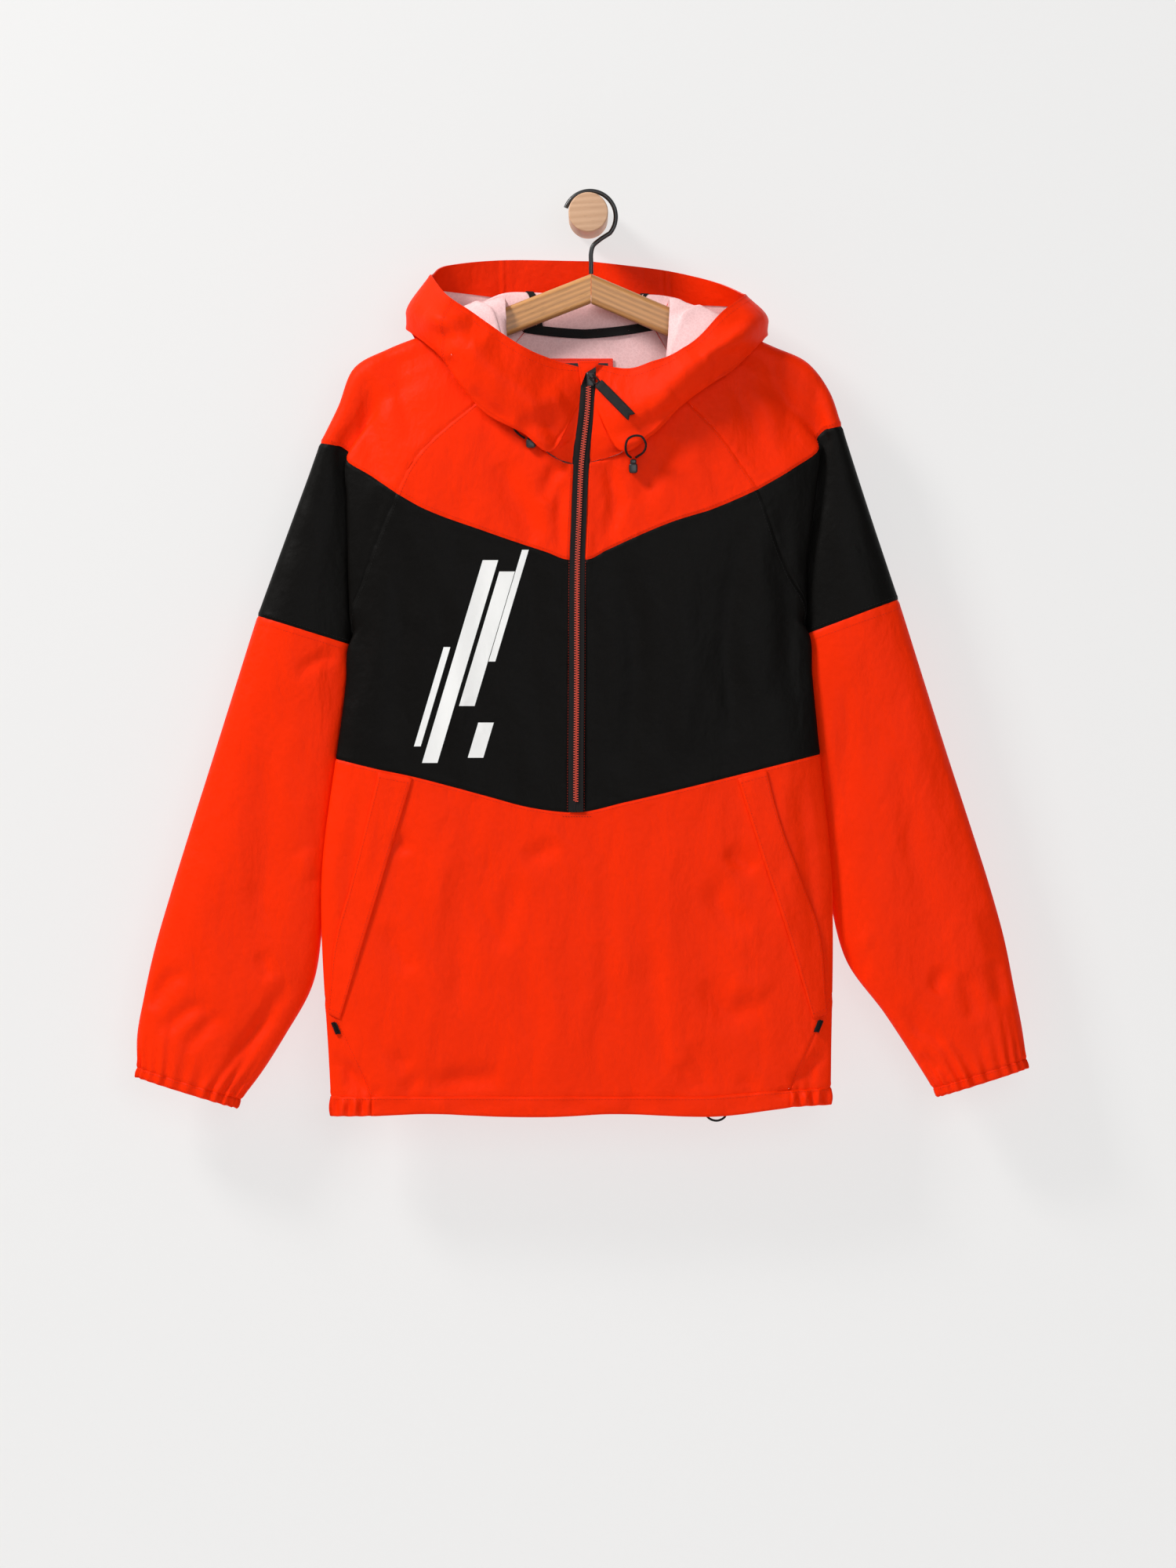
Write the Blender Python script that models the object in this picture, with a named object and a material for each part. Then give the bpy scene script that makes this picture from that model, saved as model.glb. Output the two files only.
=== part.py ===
"""Hooded half-zip anorak on a wooden hanger, hung from a round wall peg.

World frame: metres, +Z up, +X to the right of someone who faces the garment,
which looks towards -Y.  The origin is the centre of the peg's flat back end,
on the wall plane y = 0.

Tables and sizes are millimetres.  A point is given as (x, z, out), where
"out" is how far it lies in front of the hanger's middle plane; what lies
behind that plane has a negative "out".
"""

import math

import bpy
import numpy as np

MM = 0.001

# ---------------------------------------------------------------- sizes

HANGER_OFF = 60.0      # hanger's middle plane in front of the wall
CLOTH = 1.2            # cloth wall
SEAM = 0.3             # clear space between sewn pieces
OVER = 0.7             # clear space under a piece that lies on another

FRONT_OUT = 33.0       # fullest part of the front, in front of the hanger
FRONT_RISE = 170.0     # height over which the front reaches it
BACK_OUT = 19.0        # the same for the back
BACK_RISE = 60.0
BODY_MID = -4.0        # x of the middle of the body
BODY_HALF = 230.0
HEM_SHRINK = 0.22      # how much flatter the body is at the hem

SIDE_WALL = 16.0       # from the front fold round to the side seam
SIDE_TUCK = 7.0        # how far the side seam lies inside the front fold
GUSSET_COLUMNS = 4     # columns that the gusset's slanted seam crosses
GUSSET_WIDTH = 3       # columns of the gusset at its top

ZIP_HALF = 7.2         # half of the zip tapes' width
CHAIN_TOP = -170.6     # ends of the tooth chain
ZIP_BOTTOM = -571.0
ZIP_ROWS = (-157.0, -164.0, CHAIN_TOP, -178.0, -186.0, -195.0, -205.0, -216.0, -228.0, -237.0,
            -244.0, -252.0, -275.0, -300.0, -337.8, -385.0, -430.0, -480.0, -530.0, ZIP_BOTTOM,
            -581.3)
COLLAR_START = -250.0  # above here the tapes lie between the hood's front edges
COLLAR_INSET = 0.9     # and are this much narrower
CHAIN_SIZE = (5.0, 2.0)               # width, thickness
SLIDER = (2.3, -163.6, 40.0)          # middle x and z, and the out of its back
SLIDER_SIZE = (8.6, 13.0, 2.6)
GARAGE = [(-10.2, -146.3), (11.9, -145.9), (7.3, -151.6), (-2.6, -158.0), (-7.1, -169.9)]
GARAGE_OUT = (40.3, 41.3)
PULL_PIVOT = (2.7, -160.7, 45.4)
PULL_END = (41.5, -201.0, 58.0)
BRIDGE_WIDTH = 2.0
BRIDGE_ARCH = ((-3.2, -1.8), (-3.2, 1.2), (-2.4, 2.2), (2.4, 2.2), (3.2, 1.2), (3.2, -1.8),
               (1.9, -1.8), (1.9, 1.0), (-1.9, 1.0), (-1.9, -1.8))
LOOP_HALF = 2.3        # half the loop's width, on the cord's middle line
LOOP_LENGTH = 9.5
LOOP_CORNER = 0.9
LOOP_WIRE = 0.75
TAB_SIZE = (8.7, 1.2)
TAB_NOTCH = 3.0

YOKE_ROWS = 6
BAND_ROWS = 5
CHEST_ROWS = 3
LOWER_ROWS = 2
BACK_SEAMS = (-286.0, -540.0, -857.7)  # yoke, chest and hem seams at the middle of the back
FAR_COLUMNS = {False: 5, True: 3}     # columns towards the middle, front and back
INNER_STEPS = 6        # sleeve columns from the inner seam to the crest
OUTER_STEPS = 4        # and from the crest to the outer line
NEAR_OFFSETS = (0, 8, 16, 26, 36, 46, 56)

TAPE_WIDTH = 8.4       # tape over the back neck seam
TAPE_WALL = 0.8
LABEL_MIDDLE = (-8.3, -162.2)
LABEL_SIZE = (64.6, 45.0)
LABEL_OFF = 0.6        # in front of the back yoke's inner side
LABEL_WALL = 1.0
WELT_ROWS = 8
BARTACK = (5.3, 10.6)
HOOD_GAP = 0.8         # clear space round the hood's panels
LOWER_GAP = 0.6        # and at the ends of the lower sleeves

CORD_WIRE = 1.1        # radius of the elastic cords
CORDS = {
    "hood_cord_l": ((-74.0, -206.0, 36.0), (-70.0, -213.5, 36.6), (-65.0, -218.0, 36.8),
                    (-60.9, -220.6, 36.8)),
    "hood_cord_r": ((41.2, -239.2, 38.5), (37.4, -236.0, 45.0), (36.0, -229.5, 51.5),
                    (38.0, -222.5, 54.5), (43.0, -219.4, 55.8), (51.0, -219.8, 56.4),
                    (55.2, -226.0, 54.5), (53.8, -233.5, 47.0), (46.0, -239.2, 38.5)),
    "hem_cord": ((109.0, -862.0, 20.2), (113.0, -873.5, 20.6), (118.0, -878.8, 21.0),
                 (125.0, -880.4, 21.0), (131.0, -878.0, 20.4), (135.0, -864.0, 19.6)),
}
CORD_STEPS = {"hood_cord_l": 5, "hood_cord_r": 16, "hem_cord": 10}
STOPS = {              # x, z, out of its back, width, height, depth
    "l": (-55.4, -223.4, 33.0, 9.5, 12.9, 8.0),
    "r": (43.4, -247.4, 33.1, 8.4, 13.7, 8.0),
}

CUFF_WAVES = 24
SAMPLES = 4            # points on each wave
CUFF_WAVE = 1.7
CUFF_HEIGHT = 9.0
HEM_WAVES = 9
HEM_WAVE = 2.2
HEM_DROP = 15.5
HEM_WALL = 2.6

RIDGE_OUT = 12.0       # least fullness beside the shoulder's ridge, over the hanger

ARM_SIZE = (14.0, 26.5)          # hanger arm: thickness, height
ARMS = {"l": (1.0, 0.39, 212.0), "r": (-1.0, 0.425, 204.0)}   # inward, slope, reach
ARM_TIP = 10.0
ARM_BEVEL = 4.5
APEX = (2.7, -58.9)              # top of the hanger, x and z
PEG_RADIUS = 19.2
PEG_LENGTH = 78.0
PEG_SIDES = 36
HOOK_WIRE = 2.2
HOOK_RADIUS = 25.0
HOOK_CENTRE = (1.7, -3.1)

# ---------------------------------------------------------------- tables

# zip line: (x, z)
ZIP_LINE = ((0.1, -157.0), (0.1, -172.1), (-7.1, -250.4), (-9.2, -300.0),
            (-10.6, -337.8), (-11.3, -455.6), (-12.1, -571.1), (-12.1, -590.0))

# fold of the cloth near the edge of the body, against the distance "along"
# the cloth from the fold: (along, share of the full depth)
FOLD_SHARE = ((-16, 0.0), (-8, 0.25), (0, 0.5), (8, 0.72), (20, 0.88),
              (35, 0.97), (50, 1.0), (400, 1.0))

# the sleeve's inner folds beside the body, for five sections from the colour
# seam (0) to the underarm (1): inward of the body's edge and out, for the
# panel's middle, the fold, the valley and the start of the sleeve
FRONT_FOLDS = (
    # share, middle, fold, valley, sleeve
    (0.00, 25.0, 24.0, 0.5, 13.5, 3.5, 7.5, -4.0, 9.0),
    (0.45, 10.0, 20.5, 0.5, 13.0, 3.8, 6.8, -4.5, 9.3),
    (0.75, 0.0, 13.5, 0.8, 9.0, 3.0, 4.6, -4.5, 9.3),
    (0.90, 1.2, 5.6, 1.6, 4.4, 2.4, 3.4, -5.0, 9.3),
    (1.00, 4.6, 0.8, 3.4, 2.0, 1.8, 3.6, -5.0, 9.5),
)
BACK_FOLDS = (
    (0.00, 30.0, -14.5, 7.5, -8.5, 8.5, -4.5, 0.0, -6.0),
    (0.45, 17.0, -12.0, 7.0, -8.0, 7.6, -4.2, -0.5, -6.3),
    (0.75, 6.4, -8.2, 6.0, -5.6, 5.8, -3.2, -1.5, -6.6),
    (0.90, 5.4, -3.6, 5.2, -2.9, 4.6, -2.4, -2.5, -7.0),
    (1.00, 5.0, -0.7, 4.4, -1.5, 3.2, -2.6, -3.5, -7.5),
)
UNDERARM_GAP = 2.0     # the sleeve keeps this far off the body at the underarm

SIDES = {
    "l": {
        "inward": 1.0,
        "ridge_slope": 0.3975,
        # outer line of the shoulder and sleeve, (x, z), neck to colour seam
        "outer_cap": ((-83.9, -87.8), (-140.0, -110.1), (-190.0, -130.0), (-221.5, -142.5),
                      (-239.7, -180.5), (-260.2, -223.4)),
        "outer_band": ((-260.2, -223.4), (-289.1, -302.1), (-321.5, -391.0)),
        "outer_lower": ((-321.5, -391.0), (-365.1, -529.3), (-408.4, -668.4), (-422.1, -716.3),
                        (-431.6, -758.9), (-438.8, -799.1), (-438.6, -829.5)),
        # fold at the edge of the body: (z, x)
        "edge": ((-180, -234.5), (-239, -235.5), (-330, -234.0), (-418, -232.1), (-448, -234.4),
                 (-530, -245.0), (-582, -251.9), (-642, -258.7), (-678, -260.2), (-727, -257.9),
                 (-761, -255.7), (-819, -251.9), (-858, -250.0), (-890, -249.0)),
        # inner line of the lower sleeve once clear of the body: (x, z)
        "inner_lower": ((-258.7, -732.3), (-281.5, -774.8), (-311.1, -825.7), (-337.5, -861.0)),
        "inner_leaves": 0.70,
        "raglan_front": ((-76.3, -157.7), (-109.0, -185.8), (-143.2, -213.9), (-168.3, -239.0),
                         (-185.7, -273.2)),
        "raglan_back": ((-62.6, -114.4), (-92.0, -150.0), (-128.0, -194.0), (-160.0, -236.0),
                        (-178.6, -273.2)),
        # raglan seam below the yoke: (z, distance along from the body's fold)
        "raglan_low": ((-273.2, 49.6), (-338.0, 21.0), (-383.0, 3.0), (-405.0, -9.0),
                       (-419.1, -16.0)),
        # colour seam on the sleeve: z of middle, fold, valley, sleeve; then underarm
        "seam_z": (-256.0, -239.4, -233.5, -227.2),
        "underarm_z": (-419.1, -419.1, -419.1, -417.2),
        "neck_front": ((-14.0, -245.1), (-37.5, -236.7), (-48.9, -221.5), (-68.7, -182.0),
                       (-76.3, -157.7)),
        "neck_side": ((-76.3, -157.7), (-82.4, -121.2), (-83.9, -87.8)),
        "neck_back_side": ((-62.6, -114.4), (-78.6, -98.4), (-83.9, -87.8)),
        # front seams against the share of the way from zip to side: (share, z)
        "yoke_seam": ((0.0, -337.8), (0.485, -310.8), (0.87, -286.1), (1.0, -273.2)),
        "chest_seam": ((0.0, -581.8), (0.05, -581.0), (0.31, -568.1), (0.51, -555.9),
                       (0.655, -547.6), (0.81, -540.4), (1.0, -530.1)),
        "hem_seam": ((0.0, -857.7), (1.0, -857.7)),
        "gusset_top": -761.0,
        "welt_free": ((-170.5, -549.1), (-206.3, -668.4), (-240.5, -782.0)),
        "welt_stitch": ((-202.5, -543.0), (-229.8, -651.7), (-244.3, -702.6), (-251.0, -777.0)),
        "bartack": (-244.0, -791.0),
    },
    "r": {
        "inward": -1.0,
        "ridge_slope": 0.425,
        "outer_cap": ((81.8, -87.5), (140.0, -112.2), (181.0, -129.8), (210.0, -142.6),
                      (226.9, -159.8), (246.3, -206.8)),
        "outer_band": ((246.3, -206.8), (273.3, -290.7), (301.4, -375.1)),
        "outer_lower": ((301.4, -375.1), (347.8, -521.7), (394.6, -668.4), (404.8, -706.4),
                        (414.7, -755.8), (423.0, -799.1), (426.0, -821.0)),
        "edge": ((-180, 225.5), (-228, 224.7), (-284, 220.1), (-349, 211.5), (-408, 214.0),
                 (-448, 217.1), (-526, 224.7), (-594, 230.7), (-654, 236.8), (-706, 237.6),
                 (-756, 236.8), (-824, 235.6), (-850, 235.4), (-890, 235.0)),
        "inner_lower": ((238.3, -707.9), (256.6, -734.5), (280.9, -767.2), (304.5, -802.2),
                        (334.9, -850.1)),
        "inner_leaves": 0.70,
        "raglan_front": ((77.2, -157.7), (95.5, -185.1), (113.7, -201.0), (135.0, -226.9),
                         (151.7, -250.4), (163.9, -269.4)),
        "raglan_back": ((65.1, -112.1), (88.0, -150.0), (120.0, -194.0), (146.0, -234.0),
                        (157.0, -269.4)),
        "raglan_low": ((-269.4, 57.4), (-338.0, 23.0), (-376.0, 3.0), (-396.0, -9.0),
                       (-408.5, -16.0)),
        "seam_z": (-249.0, -228.8, -220.0, -210.9),
        "underarm_z": (-408.5, -408.5, -408.5, -406.0),
        "neck_front": ((0.8, -243.6), (33.9, -232.9), (49.9, -213.9), (70.4, -182.0),
                       (77.2, -157.7)),
        "neck_side": ((77.2, -157.7), (80.3, -125.0), (81.8, -87.5)),
        "neck_back_side": ((65.1, -112.1), (76.5, -100.0), (81.8, -87.5)),
        "yoke_seam": ((0.0, -337.8), (0.70, -291.5), (0.855, -280.8), (1.0, -269.4)),
        "chest_seam": ((0.0, -581.4), (0.36, -562.0), (0.64, -546.1), (1.0, -525.5)),
        "hem_seam": ((0.0, -857.7), (0.45, -857.7), (0.82, -851.5), (1.0, -849.3)),
        "gusset_top": -758.0,
        "welt_free": ((144.9, -549.1), (168.8, -625.1), (192.0, -695.4), (218.0, -782.0)),
        "welt_stitch": ((172.2, -541.5), (184.4, -588.6), (204.9, -644.9), (222.4, -692.7),
                        (230.5, -777.0)),
        "bartack": (222.6, -789.0),
    },
}

# hood sections from the zip (0) round to the middle of the back (10); each is
# the share of the neck seam where it starts, then (x, z, out) of the roll, the
# under layer, the lower fold, the face and the brim
HOOD = {
    "l": (
        (0.000, (-11.5, -220, 37), (-9.8, -201, 38), (-8.5, -186, 39), (-7.2, -168, 39), (-7.1, -152.0, 37)),
        (0.083, (-34.5, -228, 37), (-34.5, -226, 41), (-35.3, -233, 45), (-33.7, -182, 50), (-33.0, -144.8, 42)),
        (0.200, (-59.6, -190, 36), (-61.9, -199, 42), (-63.4, -216, 46), (-62.6, -174, 60), (-59.6, -134.1, 50)),
        (0.320, (-77.8, -152, 32), (-86.9, -170, 39), (-97.6, -198, 45), (-93.0, -155, 62), (-83.9, -118.9, 50)),
        (0.440, (-86.0, -119, 27), (-104.0, -138, 36), (-121.9, -172, 43), (-120.4, -129, 60), (-110.5, -100.7, 46)),
        (0.540, (-94.0, -94, 18), (-122.0, -114, 30), (-143.2, -141, 36), (-147.7, -110, 48), (-135.6, -83.2, 38)),
        (0.650, (-108.0, -86, 6), (-141.0, -101, 12), (-175.8, -114, 4), (-174.0, -95, 14), (-151.8, -62.0, 16)),
        (0.715, (-100.6, -84, -15), (-130.0, -101, -26), (-168.0, -122, -30), (-174.5, -103, -27), (-151.5, -58.5, -6)),
        (0.790, (-81.6, -76, -24), (-99.0, -150, -33), (-136.0, -196, -41), (-146.0, -121, -47), (-137.5, -48.3, -26)),
        (0.860, (-57.3, -75, -26), (-69.0, -182, -35), (-88.0, -272, -43), (-84.0, -152, -52), (-84.0, -42.0, -40)),
        (1.000, (-0.3, -78, -27), (-0.3, -197, -35), (-0.3, -298, -43), (-0.3, -174, -53), (1.2, -42.6, -44)),
    ),
    "r": (
        (0.000, (2.9, -220, 37), (4.6, -201, 38), (5.9, -186, 39), (7.2, -168, 39), (7.3, -149.0, 37)),
        (0.083, (30.1, -227, 37), (30.1, -225, 41), (30.1, -232, 45), (33.9, -186, 50), (37.7, -153.1, 42)),
        (0.200, (52.9, -193, 36), (55.9, -201, 42), (60.5, -219, 46), (60.5, -182, 60), (60.5, -147.1, 50)),
        (0.320, (74.2, -158, 32), (79.5, -172, 39), (89.4, -190, 45), (87.9, -163, 62), (83.3, -138.7, 50)),
        (0.440, (84.0, -124, 27), (98.5, -142, 36), (117.5, -169, 43), (115.2, -140, 60), (106.9, -120.5, 46)),
        (0.540, (92.0, -99, 18), (117.0, -122, 30), (142.6, -152, 36), (145.6, -121, 48), (129.7, -97.7, 38)),
        (0.650, (108.0, -90, 6), (140.0, -107, 12), (173.2, -120, 4), (172.4, -103, 14), (150.6, -81.0, 16)),
        (0.715, (100.0, -88, -15), (128.0, -105, -26), (165.0, -131, -30), (171.6, -112, -27), (149.5, -76.8, -6)),
        (0.790, (83.3, -80, -24), (98.0, -155, -33), (134.0, -200, -41), (144.0, -129, -47), (129.5, -66.5, -26)),
        (0.860, (54.4, -77, -26), (68.0, -182, -35), (87.0, -272, -43), (83.0, -152, -52), (75.7, -52.2, -40)),
        (1.000, (-0.3, -78, -27), (-0.3, -197, -35), (-0.3, -298, -43), (-0.3, -174, -53), (1.2, -42.6, -44)),
    ),
}
ROLL = 5.0                                    # first rise of the hood off the neck seam
ROLL_SHARE = (0, 0.4, 1, 1, 1, 1, 1, 1, 0.3, 0, 0)
TOP_ROUND = (0, 0, 0, 0, 0, 0, 0.3, 0.8, 1, 1, 1)
FOLD_ROUND = (0, 0.7, 1, 1, 1, 1, 1, 1, 1, 1, 1)
FOLD_RADIUS = 3.5                             # of the hood's lower fold
HOOD_STEPS = (1, 1, 1, 1, 2, 1, 1, 1, 1, 3)   # samples between the points of a section
HOOD_SEAM = 9                                 # section where side and centre panels meet
FACING_DEPTH = 1                              # rows of the brim that the facing covers

ORANGE = (0.80, 0.055, 0.008)
BLACK = (0.008, 0.008, 0.009)
OAK = (0.42, 0.22, 0.085)
BEECH = (0.66, 0.42, 0.24)


# ---------------------------------------------------------------- curves

MAX_SWING = 2.5        # longest tangent of a curve, in steps to its nearest point


class Curve:
    """A smooth curve through a few points, read by a key."""

    def __init__(self, points, keys=None):
        self.points = np.array(points, float)
        if keys is None:
            steps = np.linalg.norm(np.diff(self.points, axis=0), axis=1)
            keys = np.concatenate([[0.0], np.cumsum(steps)]) / steps.sum()
        self.keys = np.array(keys, float)
        spans = np.diff(self.keys)[:, None]
        slopes = np.diff(self.points, axis=0) / spans
        inner = (slopes[:-1] * spans[1:] + slopes[1:] * spans[:-1]) / (spans[1:] + spans[:-1])
        self.tangents = np.vstack([slopes[:1], inner, slopes[-1:]])
        steps = np.linalg.norm(np.diff(self.points, axis=0), axis=1)
        self.reach = MAX_SWING * np.minimum(np.append(steps, steps[-1]), np.append(steps[0], steps))

    def swing(self, i, span):
        """The tangent at a point, kept short beside a short step."""
        tangent = self.tangents[i] * span
        return tangent * min(1.0, self.reach[i] / max(np.linalg.norm(tangent), 1e-9))

    def at(self, key):
        key = min(max(key, self.keys[0]), self.keys[-1])
        i = min(int(np.searchsorted(self.keys, key, side="right")) - 1, len(self.keys) - 2)
        span = self.keys[i + 1] - self.keys[i]
        t = (key - self.keys[i]) / span
        a, b = self.points[i], self.points[i + 1]
        ta, tb = self.swing(i, span), self.swing(i + 1, span)
        return ((2 * t**3 - 3 * t**2 + 1) * a + (t**3 - 2 * t**2 + t) * ta
                + (3 * t**2 - 2 * t**3) * b + (t**3 - t**2) * tb)


def table_curve(rows):
    """A curve whose first column, rising or falling, is the key."""
    rows = sorted(rows)
    return Curve([row[1:] for row in rows], [row[0] for row in rows])


def blend(a, b, share):
    return a + (b - a) * share


def ease(t):
    t = min(max(t, 0.0), 1.0)
    return t * t * (3 - 2 * t)


def rise(t):
    """A quarter ellipse: steep at 0, level at 1."""
    t = min(max(t, 0.0), 1.0)
    return math.sqrt(1 - (1 - t) ** 2)


ZIP = table_curve([(z, x) for x, z in ZIP_LINE])
FOLD = table_curve(FOLD_SHARE)
ZIP_OUT = table_curve(((-157.0, 37.0), (-168.0, 38.6), (-186.0, 39.0), (-201.0, 38.2), (-220.0, 37.0),
                       (-244.0, 33.2), (-300.0, 33.0), (-340.0, 33.0), (-590.0, 30.8)))


def zip_x(z):
    return float(ZIP.at(z)[0])


def ring_angles():
    """Angles of a sleeve ring's columns, closer together on its inner side."""
    inner = [k / INNER_STEPS * math.pi / 2 for k in range(INNER_STEPS)]
    outer = [math.pi / 2 * (1 + k / OUTER_STEPS) for k in range(OUTER_STEPS + 1)]
    front = inner + outer
    return front + [2 * math.pi - angle for angle in front[-2:0:-1]]


ROUND = 0.87           # how square a sleeve's section is; 1 is an ellipse
CREST = 0.75           # where the crest lies between the raglan seam and the outer line
CREST_OUT = {False: (12.5, 18.0), True: (-10.0, -14.0)}      # down the band, front and back
SLEEVE_DEPTH = {False: (18.0, 17.0), True: (14.0, 15.0)}     # down the lower sleeve
SLEEVE_SHIFT = -4.0    # the lower sleeve hangs this far back
SLEEVE_TUCK = 4.4      # and runs this far in behind the body's fold
RING_ANGLES = ring_angles()
RING = len(RING_ANGLES)


# ---------------------------------------------------------------- body

class Side:
    """One half of the garment: its seam lines and the cloth between them."""

    def __init__(self, name):
        table = SIDES[name]
        self.name = name
        self.table = table
        self.inward = table["inward"]
        self.edge_curve = table_curve(table["edge"])
        self.raglan_low = table_curve(table["raglan_low"])
        self.curves = {key: Curve(table[key]) for key in (
            "outer_cap", "outer_band", "outer_lower", "inner_lower", "raglan_front",
            "raglan_back", "neck_front", "neck_side", "neck_back_side")}
        self.seams = {key: table_curve(table[key]) for key in (
            "yoke_seam", "chest_seam", "hem_seam")}
        self.side_rows = self.side_heights()

    def edge(self, z):
        return float(self.edge_curve.at(z)[0])

    def zip_edge(self, z):
        return zip_x(z) - self.inward * ZIP_HALF

    def drop(self, x, z):
        """How far a point lies below the line of the shoulder."""
        x0, z0 = self.table["outer_cap"][0]
        return z0 - abs(x - x0) * self.table["ridge_slope"] * (1 if abs(x) > abs(x0) else -1) - z

    def fullness(self, x, z):
        middle = (x - BODY_MID) / BODY_HALF
        hang = 1 - HEM_SHRINK * min(max((-z - 340) / 520, 0), 1.1)
        return (1 - 0.2 * middle**2) * hang

    def front_out(self, x, z, along=400):
        share = float(FOLD.at(along)[0])
        return FRONT_OUT * self.fullness(x, z) * rise(self.drop(x, z) / FRONT_RISE) * share

    def back_out(self, x, z, along=400):
        share = float(FOLD.at(along)[0])
        return -BACK_OUT * self.fullness(x, z) * rise(self.drop(x, z) / BACK_RISE) * share

    def front(self, along, z):
        """A point of the front, by its distance along from the body's fold."""
        tuck = SIDE_TUCK * (min(along, 0) / SIDE_WALL) ** 2
        x = self.edge(z) + self.inward * (max(along, 0) + tuck)
        return np.array([x, z, self.front_out(x, z, along)])

    def front_at(self, x, z):
        return self.front(self.inward * (x - self.edge(z)), z)

    def back(self, along, z):
        x = self.edge(z) + self.inward * (SIDE_TUCK + max(along, 0))
        return np.array([x, z, self.back_out(x, z, along)])

    def side_heights(self):
        """Heights of the rows where they reach the side, yoke seam to hem."""
        top, arm = self.table["raglan_low"][0][0], self.table["raglan_low"][-1][0]
        chest, gusset = self.table["chest_seam"][-1][1], self.table["gusset_top"]
        hem = self.table["hem_seam"][-1][1]
        counts = ((top, arm, BAND_ROWS), (arm, chest, CHEST_ROWS), (chest, gusset, LOWER_ROWS),
                  (gusset, hem, GUSSET_COLUMNS))
        rows = [top]
        for start, end, count in counts:
            rows += [blend(start, end, (i + 1) / count) for i in range(count)]
        return rows

    def along_at_side(self, z):
        return float(self.raglan_low.at(z)[0])

    def row(self, index, back=False):
        """One row of the body below the yoke seam, from the side to the middle."""
        side_z = self.side_rows[index]
        chest_row = BAND_ROWS + CHEST_ROWS
        top, low = ("yoke_seam", "chest_seam") if index <= chest_row else ("chest_seam", "hem_seam")
        first, last = (0, chest_row) if index <= chest_row else (chest_row, len(self.side_rows) - 1)
        share = ((side_z - self.side_rows[first])
                 / (self.side_rows[last] - self.side_rows[first]))
        start = self.along_at_side(side_z)
        columns = [start + offset for offset in NEAR_OFFSETS]
        middle = self.zip_edge(side_z) if not back else BODY_MID
        far_count = FAR_COLUMNS[back]
        reach = self.inward * (middle - self.edge(side_z)) - (SIDE_TUCK if back else 0)
        columns += [blend(columns[-1], reach, (i + 1) / far_count) for i in range(far_count)]
        points = []
        for along in columns:
            across = min((reach - along) / (reach - max(start, 0)), 1.0)
            if back:
                seams = BACK_SEAMS[:2] if index <= chest_row else BACK_SEAMS[1:]
                z = blend(side_z, blend(*seams, share), 1 - across**2)
                points.append(self.back(along, z))
                continue
            z = blend(float(self.seams[top].at(across)[0]), float(self.seams[low].at(across)[0]), share)
            point = self.front(along, z)
            if along > NEAR_OFFSETS[-1] + start:
                far = (along - start - NEAR_OFFSETS[-1]) / (reach - start - NEAR_OFFSETS[-1])
                near_x = self.edge(z) + self.inward * (start + NEAR_OFFSETS[-1])
                point = self.front_at(blend(near_x, self.zip_edge(z), far), z)
            points.append(point)
        return np.array(points)

    def hem_z(self, along, back):
        """Height of the hem's seam at a distance along from the body's fold."""
        reach = self.hem_reach(back)
        across = min((reach - along) / reach, 1.0)
        if back:
            return blend(self.side_rows[-1], BACK_SEAMS[-1], 1 - across**2)
        return float(self.seams["hem_seam"].at(across)[0])

    def hem_reach(self, back):
        z = self.side_rows[-1]
        middle = BODY_MID if back else self.zip_edge(z)
        return self.inward * (middle - self.edge(z)) - (SIDE_TUCK if back else 0)

    def yoke(self, back=False):
        """Rows of the yoke, neck seam to yoke seam, from the raglan to the middle."""
        low = self.row(0, back)
        raglan = self.curves["raglan_back" if back else "raglan_front"]
        widths = np.abs(low[:, 0] - low[0, 0]) / abs(low[-1, 0] - low[0, 0])
        rows = []
        for i in range(YOKE_ROWS + 1):
            share = i / YOKE_ROWS
            end_low = low[-1, 1]
            middle_z = blend(self.neck_point(1.0, back)[1], end_low, share)
            middle = np.array([BODY_MID if back else self.zip_edge(middle_z), middle_z])
            side = raglan.at(share)
            row = []
            for j, width in enumerate(widths):
                top = self.neck_point(width, back)
                flat = blend(top, low[j, :2], share)
                ends = blend(blend(self.neck_point(0, back), low[0, :2], share),
                             blend(self.neck_point(1, back), low[-1, :2], share), width)
                x, z = flat - ends + blend(side, middle, width)
                out = self.back_out(x, z) if back else self.front_out(x, z)
                row.append((x, z, out))
            rows.append(row)
        return np.array(rows)

    def neck_point(self, width, back):
        if back:
            corner = np.array(self.table["neck_back_side"][0])
            return blend(corner, np.array([BODY_MID, -115.9]), width)
        return self.curves["neck_front"].at(1 - width)

    # ------------------------------------------------------------ sleeve

    def folds(self, share, back):
        """Section points beside the body at a share of the way to the underarm."""
        values = table_curve(BACK_FOLDS if back else FRONT_FOLDS).at(share)
        heights = [blend(a, b, share) for a, b in zip(self.table["seam_z"], self.table["underarm_z"])]
        return [np.array([self.edge(z) + self.inward * values[2 * i], z, values[2 * i + 1]])
                for i, z in enumerate(heights)]

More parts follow.
